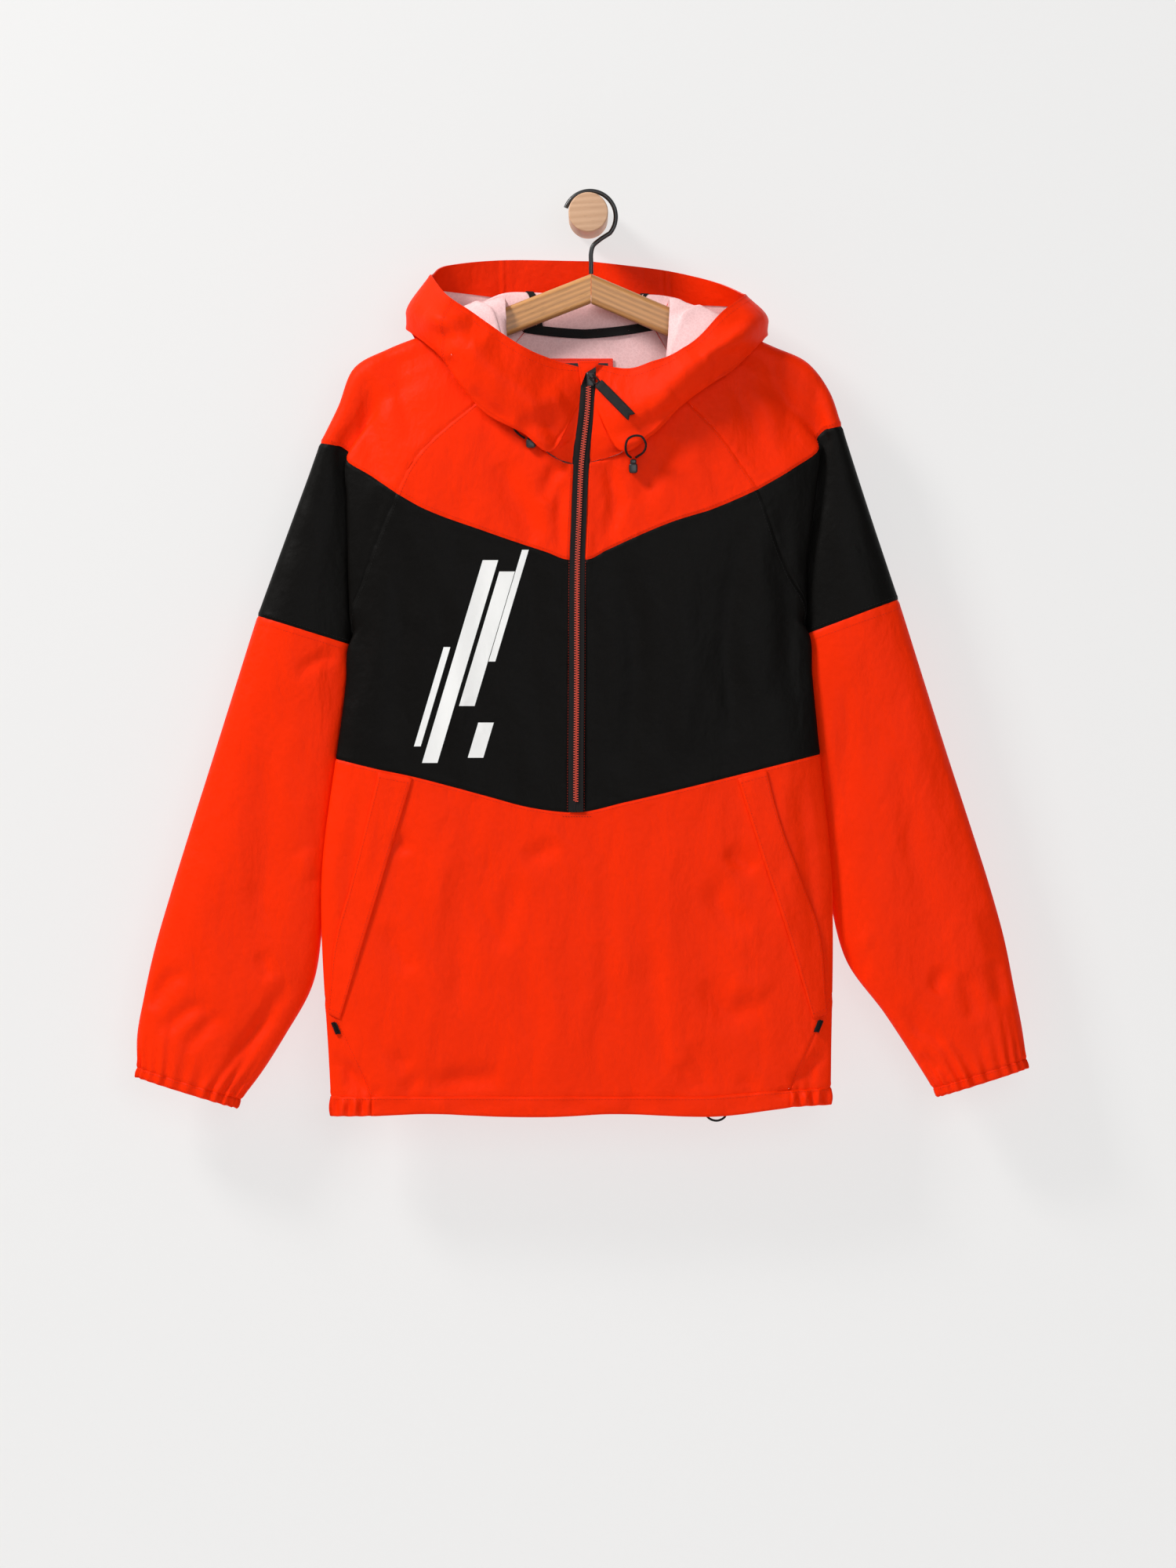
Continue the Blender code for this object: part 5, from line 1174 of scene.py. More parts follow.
def add_object(name: str, data: bpy.types.ID) -> bpy.types.Object:
    """Return a new object of the scene that holds a mesh, curve, light or camera.

    Args:
        name: its name.
        data: what it holds.

    Returns:
        The linked object.
    """
    obj = bpy.data.objects.new(name, data)
    bpy.context.scene.collection.objects.link(obj)
    return obj


def poly_curve(name: str, lines: Sequence[np.ndarray]) -> bpy.types.Curve:
    """Return a curve with a straight-edged spline through each line of millimetre points.

    Args:
        name: its name.
        lines: lines of points, in millimetres.

    Returns:
        The curve, in metres.
    """
    curve = bpy.data.curves.new(name, "CURVE")
    curve.dimensions = "3D"
    for line in lines:
        spline = curve.splines.new("POLY")
        spline.points.add(len(line) - 1)
        places = np.concatenate([world(line), np.ones((len(line), 1))], axis=1)
        spline.points.foreach_set("co", places.ravel())
    return curve


def world(points: np.ndarray) -> np.ndarray:
    """Return (x, z, out) millimetres as world metres."""
    points = np.asarray(points, float)
    return np.stack([points[..., 0], -(HANGER_OFF + points[..., 2]), points[..., 1]], -1) * MM


def resample(grid: np.ndarray, keys: np.ndarray) -> np.ndarray:
    """Return a grid read between its rows.

    Args:
        grid: (rows, columns, 3) points.
        keys: row numbers with fractions.

    Returns:
        (keys, columns, 3) points on smooth curves through the rows.
    """
    chords = np.linalg.norm(np.diff(grid, axis=0), axis=-1)
    spans = np.maximum(chords.mean(axis=1), 1e-6)[:, None, None]
    tangents = knots(grid, spans)
    first = np.clip(keys.astype(int), 0, len(grid) - 2)
    t = (keys - first)[:, None, None]

    def tangent(row: np.ndarray) -> np.ndarray:
        """Return the tangents at rows, kept short beside short chords.

        Args:
            row: the grid's rows to look at.

        Returns:
            A vector for each point of those rows.
        """
        value = tangents[row] * spans[first]
        before, after = chords[np.maximum(row - 1, 0)], chords[np.minimum(row, len(chords) - 1)]
        limit = MAX_SWING * np.minimum(before, after)[..., None]
        size = np.linalg.norm(value, axis=-1, keepdims=True)
        return value * np.minimum(1.0, limit / np.maximum(size, 1e-9))

    return smooth(t, (grid[first], grid[first + 1]), (tangent(first), tangent(first + 1)))


def fine_keys(grid: np.ndarray, spacing: float, seams: Sequence[int],
              even: dict[int, int]) -> np.ndarray:
    """Return row numbers with fractions for a fine grid.

    Args:
        grid: (rows, columns, 3) points.
        spacing: the wanted distance between fine rows.
        seams: rows that are seams, which get closer rows beside them.
        even: rows whose step to the next is cut into a given number.

    Returns:
        The keys, in rising order.
    """
    lengths = np.linalg.norm(np.diff(grid, axis=0), axis=-1).mean(axis=1)
    keys: list[float] = []
    for i, length in enumerate(lengths):
        if i in even:
            keys += [i + k / even[i] for k in range(even[i])]
            continue
        beside = [d / length for d in NEAR_SEAM if d < NEAR_SHARE * length]
        near = [0.0, 1.0] + [d for d in beside if i in seams]
        near += [1 - d for d in beside if i + 1 in seams]
        near.sort()
        for a, b in zip(near, near[1:]):
            count = max(1, round((b - a) * length / spacing))
            keys += [i + a + (b - a) * k / count for k in range(count)]
    return np.array(keys + [len(lengths)], float)


@dataclass
class Cloth:
    """A fine grid of cloth that panels are cut from."""

    control: np.ndarray                       # (rows, columns, 3) points
    flip: bool = False
    closed: bool = False                      # the columns run all the way round
    spacing: tuple[float, float] = (5.0, 4.0)
    row_seams: tuple[int, ...] = ()
    column_seams: tuple[int, ...] = ()
    fine_columns: tuple[int, ...] = ()        # more columns that need closer ones beside them
    even_rows: dict[int, int] = field(default_factory=dict)
    even_columns: dict[int, int] = field(default_factory=dict)
    relief: Relief | None = None
    press: Callable[["Cloth"], np.ndarray] | None = None
    along_normal: bool = False
    raw: bool = False                         # the control grid is fine already

    def __post_init__(self) -> None:
        """Lay the fine grid and press its seams and creases."""
        control = np.asarray(self.control, float)
        if self.closed:
            control = np.concatenate([control[:, -2:], control, control[:, :3]], axis=1)
        if self.raw:
            self.row_keys = np.arange(len(control), dtype=float)
            self.column_keys = np.arange(control.shape[1], dtype=float)
            points = control
        else:
            self.row_keys = fine_keys(control, self.spacing[0], self.row_seams, self.even_rows)
            points = resample(control, self.row_keys)
            turned = np.swapaxes(points, 0, 1)
            self.column_keys = fine_keys(turned, self.spacing[1],
                                         (*self.column_seams, *self.fine_columns),
                                         self.even_columns)
            points = np.swapaxes(resample(turned, self.column_keys), 0, 1)
        if self.closed:
            last = self.control.shape[1] + 2
            inside = (self.column_keys > 2 - 1e-9) & (self.column_keys < last - 1e-9)
            points, self.column_keys = points[:, inside], self.column_keys[inside] - 2
        self.points = points
        self.rows, self.columns = points.shape[:2]
        self.lengths = self.measure()
        self.normals = self.point_normals()
        self.deform()

    def wrapped(self, values: np.ndarray) -> np.ndarray:
        """Return values with the first column again at the end, if closed."""
        return np.concatenate([values, values[:, :1]], axis=1) if self.closed else values

    def measure(self) -> np.ndarray:
        """Return (rows, columns, 2) lengths along the cloth, in metres.

        Returns:
            Lengths across and down for each point.
        """
        ring = self.wrapped(self.points)
        across = np.linalg.norm(np.diff(ring, axis=1), axis=-1)
        down = np.linalg.norm(np.diff(ring, axis=0), axis=-1)
        u = np.concatenate([np.zeros((self.rows, 1)), np.cumsum(across, axis=1)], axis=1)
        v = np.concatenate([np.zeros((1, ring.shape[1])), np.cumsum(down, axis=0)], axis=0)
        return np.stack([u - u[:, -1:] / 2, v], -1) * MM

    def point_normals(self) -> np.ndarray:
        """Return unit normals that face out of the cloth's right side.

        Returns:
            A unit vector for each point.
        """
        points = self.points
        if self.closed:
            padded = np.concatenate([points[:, -1:], points, points[:, :1]], axis=1)
            across = (padded[:, 2:] - padded[:, :-2])
        else:
            across = np.gradient(points, axis=1)
        down = np.gradient(points, axis=0)
        normals = np.cross(across, down) * (-1 if self.flip else 1)
        return normals / np.maximum(np.linalg.norm(normals, axis=-1, keepdims=True), 1e-9)

    def deform(self) -> None:
        """Press the seams' dips, the creases and the gathers into the grid."""
        dips = self.seam_dips()
        self.points = self.points + self.normals * dips[..., None]
        shape = self.points.shape
        if self.relief is not None:
            flat_points, flat_normals = self.points.reshape(-1, 3), self.normals.reshape(-1, 3)
            offsets = self.relief.offsets(flat_points, flat_normals).reshape(shape[:2])
            if self.along_normal:
                outward = self.normals * np.abs(self.normals[..., 2:])
                self.points = self.points + outward * offsets[..., None]
            else:
                self.points[..., 2] += offsets
        if self.press is not None:
            self.points = self.points + self.normals * self.press(self)[..., None]
        self.normals = self.point_normals()

    def seam_dips(self) -> np.ndarray:
        """Return the height of the seams' dips and lips over the grid.

        Returns:
            The heights, in millimetres.
        """
        heights = np.zeros((self.rows, self.columns))
        for axis, seams, keys in ((0, self.row_seams, self.row_keys),
                                  (1, self.column_seams, self.column_keys)):
            positions = self.lengths[:, :self.columns, 1 - axis].mean(axis=1 - axis) / MM
            along = self.lengths[:, :self.columns, axis].mean(axis=axis) / MM
            for seam in seams:
                distance = np.abs(positions - np.interp(seam, keys, positions))
                profile = seam_profile(distance)
                pucker = sum(np.sin(2 * math.pi * along / length + seam * 1.7 + length)
                             for length in PUCKERS)
                fade = SEAM_PUCKER[0] * bell(distance, SEAM_PUCKER[1])
                if axis == 0:
                    heights += profile[:, None] + fade[:, None] * pucker[None, :]
                else:
                    heights += profile[None, :] + fade[None, :] * pucker[:, None]
        return heights

    def row_index(self, key: float) -> int:
        """Return the fine row nearest to a key."""
        return int(np.argmin(np.abs(self.row_keys - key)))

    def column_index(self, key: float) -> int:
        """Return the fine column nearest to a key."""
        return int(np.argmin(np.abs(self.column_keys - key)))

    def raised(self, lift: float = STITCH_LIFT) -> np.ndarray:
        """Return the grid's points lifted off the cloth."""
        return self.points + self.normals * lift

    def line(self, row: int | None = None, column: int | None = None,
             span: tuple[int, int] | None = None) -> np.ndarray:
        """Return points along one fine row or column, a little off the cloth.

        Args:
            row: the fine row, or None.
            column: the fine column, or None.
            span: the first and last points of it.

        Returns:
            (n, 3) points in millimetres.
        """
        points = self.raised()[row] if row is not None else self.raised()[:, column]
        return points[slice(*span)] if span else points

    def cut(self, name: str, outside: bpy.types.Material, inside: bpy.types.Material,
            rows: tuple[float, float] | None = None, columns: tuple[float, float] | None = None,
            wall: float = SHELL, lift: float = 0.0, rounded: bool = False,
            corner: Callable[[int, int], int] | None = None) -> "Panel":
        """Cut one sewn piece as a thin closed shell.

        Args:
            name: the piece's name.
            outside: finish of its right side.
            inside: finish of its wrong side.
            rows: first and last control rows, all if None.
            columns: first and last control columns, all if None.
            wall: thickness.
            lift: millimetres off the grid, inwards if negative.
            rounded: whether the cut edge is rolled round.
            corner: says of a fine cell how it is kept: 0 not, or a code of CELL_CORNERS.

        Returns:
            The panel.
        """
        r0, r1 = (self.row_index(key) for key in rows) if rows else (0, self.rows - 1)
        if columns:
            c0, c1 = (self.column_index(key) for key in columns)
        else:
            c0, c1 = 0, self.columns if self.closed else self.columns - 1
        index = np.arange(self.rows * self.columns).reshape(self.rows, self.columns)
        faces, corners = [], []
        for r in range(r0, r1):
            for c in range(c0, c1):
                kept = corner(r, c) if corner else WHOLE
                if not kept:
                    continue
                after = (c + 1) % self.columns
                cell = [index[r, c], index[r, after], index[r + 1, after], index[r + 1, c]]
                spots = [(r, c), (r, c + 1), (r + 1, c + 1), (r + 1, c)]
                order = CELL_CORNERS[kept]
                if self.flip:
                    order = order[::-1]
                face = [cell[k] for k in order]
                if len(face) == 4:
                    short = self.collapsed(face)
                    if short is not None:
                        order = tuple(order[k] for k in range(4) if k != short)
                        face = [cell[k] for k in order]
                faces.append(face)
                corners.append([spots[k] for k in order])
        return Panel(self, name, faces, corners, outside, inside, wall, lift, rounded)

    def collapsed(self, face: list[int]) -> int | None:
        """Return the corner of a cell that lies on the one before it, if any.

        Args:
            face: a cell's four point numbers.

        Returns:
            The corner's number, or None.
        """
        points = self.points.reshape(-1, 3)[face]
        for k in range(4):
            if np.linalg.norm(points[k] - points[k - 1]) < TOUCHING:
                return k
        return None


class Panel:
    """One sewn piece of cloth: its mesh and the size it was cut to."""

    def __init__(self, cloth: Cloth, name: str, faces: list[list[int]], corners: list[list[tuple]],
                 outside: bpy.types.Material, inside: bpy.types.Material, wall: float,
                 lift: float, rounded: bool) -> None:
        """Build the shell from faces of the cloth's grid.

        Args:
            cloth: the cloth it is cut from.
            name: its name.
            faces: cells of the cloth's grid.
            corners: the row and column of each face's corners.
            outside: finish of the right side.
            inside: finish of the wrong side.
            wall: its thickness.
            lift: how far it lies off the grid.
            rounded: whether its edges are rounded.
        """
        used = sorted({i for face in faces for i in face})
        number = {old: new for new, old in enumerate(used)}
        faces = [[number[i] for i in face] for face in faces]
        grid_points, grid_normals = cloth.points.reshape(-1, 3), cloth.normals.reshape(-1, 3)
        outer = grid_points[used] + grid_normals[used] * lift
        inner = outer - grid_normals[used] * wall
        count = len(used)
        border: dict[tuple[int, int], tuple] = {}
        for face, spots in zip(faces, corners):
            for k in range(len(face)):
                border[(face[k - 1], face[k])] = (spots[k - 1], spots[k])
        rim = [(edge, spots) for edge, spots in border.items() if edge[::-1] not in border]
        points = [outer, inner]
        rim_faces: list[list[int]] = []
        rim_spots: list[list[tuple]] = []
        middles: dict[int, int] = {}
        if rounded:
            middles, extra = self.rolled_edge(rim, outer, inner, wall, 2 * count)
            points.append(extra)
        for (a, b), (sa, sb) in rim:
            if rounded:
                rim_faces += [[b, a, middles[a], middles[b]],
                              [middles[b], middles[a], a + count, b + count]]
                rim_spots += [[sb, sa, sa, sb]] * 2
            else:
                rim_faces.append([b, a, a + count, b + count])
                rim_spots.append([sb, sa, sa, sb])
        inside_faces = [[i + count for i in reversed(face)] for face in faces]
        inside_spots = [spots[::-1] for spots in corners]
        self.area = self.surface(outer, faces)
        self.extent = self.flat_size(cloth, corners)
        self.object = self.mesh_object(name, np.vstack(points), [*faces, *rim_faces, *inside_faces])
        mesh = self.object.data
        mesh.materials.append(outside)
        mesh.materials.append(inside)
        slots = [0] * (len(faces) + len(rim_faces)) + [1] * len(inside_faces)
        mesh.polygons.foreach_set("material_index", slots)
        spots = [spot for group in (corners, rim_spots, inside_spots) for face in group
                 for spot in face]
        rows, columns = np.array(spots).T
        uv = cloth.lengths[rows, columns]
        layer = mesh.uv_layers.new(name="cloth")
        layer.data.foreach_set("uv", uv.astype(np.float32).ravel())
        mesh.shade_smooth()
        if not rounded:
            mesh.set_sharp_from_angle(angle=math.radians(SHARP))

    @staticmethod
    def rolled_edge(rim: list, outer: np.ndarray, inner: np.ndarray, wall: float,
                    first: int) -> tuple[dict[int, int], np.ndarray]:
        """Return numbers and points of a line between a shell's two edges.

        Args:
            rim: the edges, with their places in the grid.
            outer: points of the right side.
            inner: points of the wrong side.
            wall: thickness.
            first: number of the first new point.

        Returns:
            The new point's number for each old one, and the new points.
        """
        pulls: dict[int, np.ndarray] = {}
        for (a, b), _ in rim:
            ahead = outer[b] - outer[a]
            through = outer[a] - inner[a]
            away = np.cross(ahead, through)
            away /= max(np.linalg.norm(away), 1e-9)
            for v in (a, b):
                pulls[v] = pulls.get(v, np.zeros(3)) + away
        numbers = {v: first + k for k, v in enumerate(pulls)}
        points = [(outer[v] + inner[v]) / 2 + pull / max(np.linalg.norm(pull), 1e-9) * wall * ROLLED
                  for v, pull in pulls.items()]
        return numbers, np.array(points)

    @staticmethod
    def surface(points: np.ndarray, faces: list[list[int]]) -> float:
        """Return the area of the faces in square metres.

        Args:
            points: points, in millimetres.
            faces: its faces, as lists of point numbers.

        Returns:
            The area.
        """
        quads = np.array([face if len(face) == 4 else [*face, face[-1]] for face in faces])
        a, b, c, d = (points[quads[:, k]] for k in range(4))
        first = np.linalg.norm(np.cross(b - a, c - a), axis=1)
        second = np.linalg.norm(np.cross(c - a, d - a), axis=1)
        return float((first + second).sum() / 2) * MM * MM

    def flat_size(self, cloth: Cloth, corners: list[list[tuple]]) -> tuple[float, float]:
        """Return the width and length of the piece laid flat, in metres.

        Args:
            cloth: the cloth it is cut from.
            corners: the row and column of each face's corners.

        Returns:
            Width and length.
        """
        rows, columns = np.array([spot for spots in corners for spot in spots]).T
        lengths = cloth.lengths[rows, columns]
        width = length = 0.01
        for row in np.unique(rows):
            u = lengths[rows == row, 0]
            width = max(width, float(u.max() - u.min()))
        for column in np.unique(columns):
            v = lengths[columns == column, 1]
            length = max(length, float(v.max() - v.min()))
        width = max(width, 1.002 * self.area / length)
        return round(width, 4), round(length, 4)

    @staticmethod
    def mesh_object(name: str, points: np.ndarray, faces: list[list[int]]) -> bpy.types.Object:
        """Return a linked object of millimetre points.

        Args:
            name: its name.
            points: points, in millimetres.
            faces: its faces, as lists of point numbers.

        Returns:
            The object.
        """
        mesh = bpy.data.meshes.new(name)
        mesh.from_pydata(world(points).tolist(), [], [list(map(int, face)) for face in faces])
        return add_object(name, mesh)


# ---------------------------------------------------------------- finishes

ORANGE = (0.93, 0.026, 0.0008)
BLACK = (0.0027, 0.0023, 0.0019)
PINK = (0.95, 0.60, 0.60)
WEBBING = (0.008, 0.0075, 0.0075)


class Nodes:
    """Adds nodes to a tree and joins them by name."""

    def __init__(self, tree: bpy.types.NodeTree) -> None:
        """Keep the tree."""
        self.tree = tree

    def put(self, kind: str, settings: dict | None = None, **inputs: Any) -> bpy.types.Node:
        """Add a node.

        Args:
            kind: the node's type.
            settings: its own properties.
            **inputs: values or sockets by input name, with _ for a space, or by i and a number.

        Returns:
            The node.
        """
        node = self.tree.nodes.new(kind)
        for key, value in (settings or {}).items():
            setattr(node, key, value)
        for key, value in inputs.items():
            by_number = key[0] == "i" and key[1:].isdigit()
            found = node.inputs[int(key[1:])] if by_number else node.inputs[key.replace("_", " ")]
            if isinstance(value, bpy.types.NodeSocket):
                self.link(value, found)
            else:
                found.default_value = value
        return node

    def link(self, source: Socket, target: Socket) -> None:
        """Join an output to an input."""
        self.tree.links.new(source, target)

    def math(self, operation: str, *values: Socket | float) -> Socket:
        """Return the output of a Math node."""
        return self.put("ShaderNodeMath", {"operation": operation},
                        **{f"i{k}": value for k, value in enumerate(values)}).outputs[0]

    def times(self, *values: Socket | float) -> Socket:
        """Return the product of two values."""
        return self.math("MULTIPLY", *values)

    def noise(self, vector: Socket, scale: Socket | float, detail: float = 2.0,
              **more: float) -> Socket:
        """Return the height of a noise."""
        return self.put("ShaderNodeTexNoise", Vector=vector, Scale=scale, Detail=detail,
                        **more).outputs[0]

    def ramp(self, value: Socket, low: float, high: float, first: float,
             last: Socket | float) -> Socket:
        """Return a value moved from the range low to high into first to last."""
        return self.put("ShaderNodeMapRange", i0=value, i1=low, i2=high, i3=first,
                        i4=last).outputs[0]

    def combine(self, **parts: Socket | float) -> Socket:
        """Return a vector of X, Y and Z parts."""
        return self.put("ShaderNodeCombineXYZ", **parts).outputs[0]

    def mix(self, factor: Socket, first: Socket | Point, second: Socket | Point) -> Socket:
        """Return a mix of two colours."""
        node = self.put("ShaderNodeMix", {"data_type": "RGBA"}, i0=factor, i6=first, i7=second)
        return node.outputs[2]


class ShaderGroup:
    """A shader node group that more than one finish uses, with named inputs and outputs."""

    def __init__(self, name: str, inputs: dict[str, float], outputs: Sequence[str]) -> None:
        """Start the group with a vector input and number inputs.

        Args:
            name: the group's name.
            inputs: each number input's name and value.
            outputs: the outputs' names.
        """
        self.tree = bpy.data.node_groups.new(name, "ShaderNodeTree")
        face = self.tree.interface
        face.new_socket("Vector", in_out="INPUT", socket_type="NodeSocketVector")
        for key, value in inputs.items():
            socket = face.new_socket(key, in_out="INPUT", socket_type="NodeSocketFloat")
            socket.default_value = value
        for key in outputs:
            face.new_socket(key, in_out="OUTPUT", socket_type="NodeSocketFloat")
        self.nodes = Nodes(self.tree)
        self.given = self.nodes.put("NodeGroupInput").outputs
        self.vector = self.given["Vector"]
        self.out = self.nodes.put("NodeGroupOutput").inputs

    def close(self, *sockets: Socket) -> bpy.types.NodeTree:
        """Join the outputs in order and return the finished group."""
        for socket, target in zip(sockets, self.out):
            self.nodes.link(socket, target)
        return self.tree


class Effects:
    """Shader groups that more than one finish uses."""

    def __init__(self) -> None:
        """Build each group once."""
        self.weave = self.build_weave()
        self.rumple = self.build_rumple()
        self.grain = self.build_grain()
        self.wear = self.build_wear()

    @staticmethod
    def build_weave() -> bpy.types.NodeTree:
        """Build crossing yarns that follow the cloth.

        Returns:
            The group, which gives a height and a mask of the raised yarn crossings, used for a
            painted highlight.
        """
        group = ShaderGroup("plain weave", {"Yarns per metre": 1600.0, "Rib": 1.0},
                            ("Height", "Mask"))
        nodes = group.nodes
        parts = nodes.put("ShaderNodeSeparateXYZ", i0=group.vector)
        turns = nodes.times(group.given["Yarns per metre"], math.pi)
        warp = nodes.math("SINE", nodes.times(parts.outputs[0], turns))
        weft = nodes.math("SINE", nodes.times(nodes.times(parts.outputs[1], turns),
                                              group.given["Rib"]))
        over = nodes.math("ABSOLUTE", nodes.times(warp, weft))
        # the mask follows the yarns' raised crossings; finishes paint a highlight with it
        return group.close(over, nodes.times(over, nodes.noise(group.vector, 900.0)))

    @staticmethod
    def build_rumple() -> bpy.types.NodeTree:
        """Build small soft crumples that hang more upright than across.

        Returns:
            The group, which gives a height and a mask.
        """
        group = ShaderGroup("small crumples", {"Scale": 22.0}, ("Height", "Mask"))
        nodes = group.nodes
        stretch = nodes.put("ShaderNodeMapping", Vector=group.vector,
                            Scale=(1.5, 1.0, 0.75)).outputs[0]
        broad = nodes.noise(stretch, group.given["Scale"], 3.0, Roughness=0.45, Distortion=0.4)
        fine = nodes.noise(group.vector, 170.0, 3.0)
        grit = nodes.noise(group.vector, 1500.0, 1.0)
        height = nodes.math("ADD", nodes.times(broad, 0.82), nodes.times(fine, 0.14))
        height = nodes.math("ADD", height, nodes.times(grit, 0.03))
        return group.close(height, nodes.times(broad, fine))

    @staticmethod
    def build_grain() -> bpy.types.NodeTree:
        """Build wood cut along the grain: growth bands, streaks and open pores.

        Returns:
            The group, which gives a mask for each of them and their height.
        """
        group = ShaderGroup("wood grain", {"Bands": 60.0, "Stretch": 0.06, "Pores": 0.5},
                            ("Band", "Streak", "Pore", "Height"))
        nodes, given = group.nodes, group.given
        shape = nodes.combine(X=given["Stretch"], Y=1.0, Z=1.0)
        along = nodes.put("ShaderNodeVectorMath", {"operation": "MULTIPLY"}, i0=group.vector,
                          i1=shape).outputs[0]
        band = nodes.put("ShaderNodeTexWave", {"bands_direction": "Z"}, Vector=along,
                         Scale=given["Bands"], Distortion=3.2, Detail=3.0, Detail_Scale=1.3,
                         Detail_Roughness=0.6).outputs[1]
        streak = nodes.noise(along, 420.0, 6.0, Roughness=0.65)
        dots = nodes.noise(along, 1500.0, 2.0, Roughness=0.5)
        pore = nodes.ramp(dots, 0.60, 0.68, 0.0, given["Pores"])
        height = nodes.math("SUBTRACT", nodes.times(streak, 0.5), pore)
        return group.close(band, streak, pore, height)

    @staticmethod
    def build_wear() -> bpy.types.NodeTree:
        """Build faint rubbing and lint.

        Returns:
            The group, which gives a mask that breaks up a plain colour.
        """
        group = ShaderGroup("wear and lint", {"Amount": 0.3}, ("Mask",))
        nodes = group.nodes
        rub = nodes.noise(group.vector, 35.0, 5.0, Roughness=0.7)
        lint = nodes.put("ShaderNodeTexVoronoi", {"feature": "F1"}, Vector=group.vector,
                         Scale=900.0).outputs[0]
        speck = nodes.ramp(lint, 0.14, 0.08, 0.0, 0.6)
        both = nodes.math("ADD", rub, nodes.times(speck, rub))
        return group.close(nodes.times(both, group.given["Amount"]))


def bumped(nodes: Nodes, shader: bpy.types.Node, heights: Sequence[tuple]) -> None:
    """Join heights to a shader's normal through Bump nodes.

    Args:
        nodes: the material's nodes.
        shader: its Principled shader.
        heights: (socket, metres, strength) for each, broadest first.
    """
    chain: dict[str, Socket] = {}
    for socket, distance, strength in heights:
        bump = nodes.put("ShaderNodeBump", Height=socket, Distance=distance, Strength=strength,
                         **chain)
        chain = {"Normal": bump.outputs[0]}
    nodes.link(chain["Normal"], shader.inputs["Normal"])


@dataclass(frozen=True)
class Look:
    """What a finish lays over its surface."""

    colour: Socket
    heights: Sequence[tuple]          # (socket, metres, strength), broadest first
    roughness: Socket | None = None


@dataclass(frozen=True)
class Finish:
    """What every finish has: a name, a colour and how rough it is."""

    name: str
    colour: Point
    roughness: float = 0.5
    coat: float = 0.0
    gloss: float = 0.5                # specular level

    def build(self, effects: Effects) -> bpy.types.Material:
        """Build the material.

        Args:
            effects: the shared shader groups.

        Returns:
            The material.
        """
        material = bpy.data.materials.new(self.name)
        material.use_nodes = True
        material.diffuse_color = (*self.colour, 1.0)
        nodes = Nodes(material.node_tree)
        shader = material.node_tree.nodes["Principled BSDF"]
        shader.inputs["Base Color"].default_value = (*self.colour, 1.0)
        shader.inputs["Roughness"].default_value = self.roughness
        shader.inputs["Coat Weight"].default_value = self.coat
        shader.inputs["Specular IOR Level"].default_value = self.gloss
        places = nodes.put("ShaderNodeTexCoord").outputs
        look = self.look(nodes, effects, places["Object"], places["UV"])
        nodes.link(look.colour, shader.inputs["Base Color"])
        if look.roughness is not None:
            nodes.link(look.roughness, shader.inputs["Roughness"])
        bumped(nodes, shader, look.heights)
        return material

    def look(self, nodes: Nodes, effects: Effects, place: Socket, cloth: Socket) -> Look:
        """Return what changes over the surface; each kind of finish makes its own."""
        raise NotImplementedError

    def shade(self, share: float) -> Point:
        """Return the colour made darker, or lighter above 1."""
        return (*[min(c * share, 1.0) for c in self.colour], 1.0)

    @staticmethod
    def group(nodes: Nodes, tree: bpy.types.NodeTree, **inputs: Any) -> bpy.types.Node:
        """Place a shared group in the material."""
        return nodes.put("ShaderNodeGroup", {"node_tree": tree}, **inputs)


@dataclass(frozen=True)
class Bar:
    """A slanted printed bar: its middle and size in the front view."""

    x: float
    z: float
    width: float
    length: float


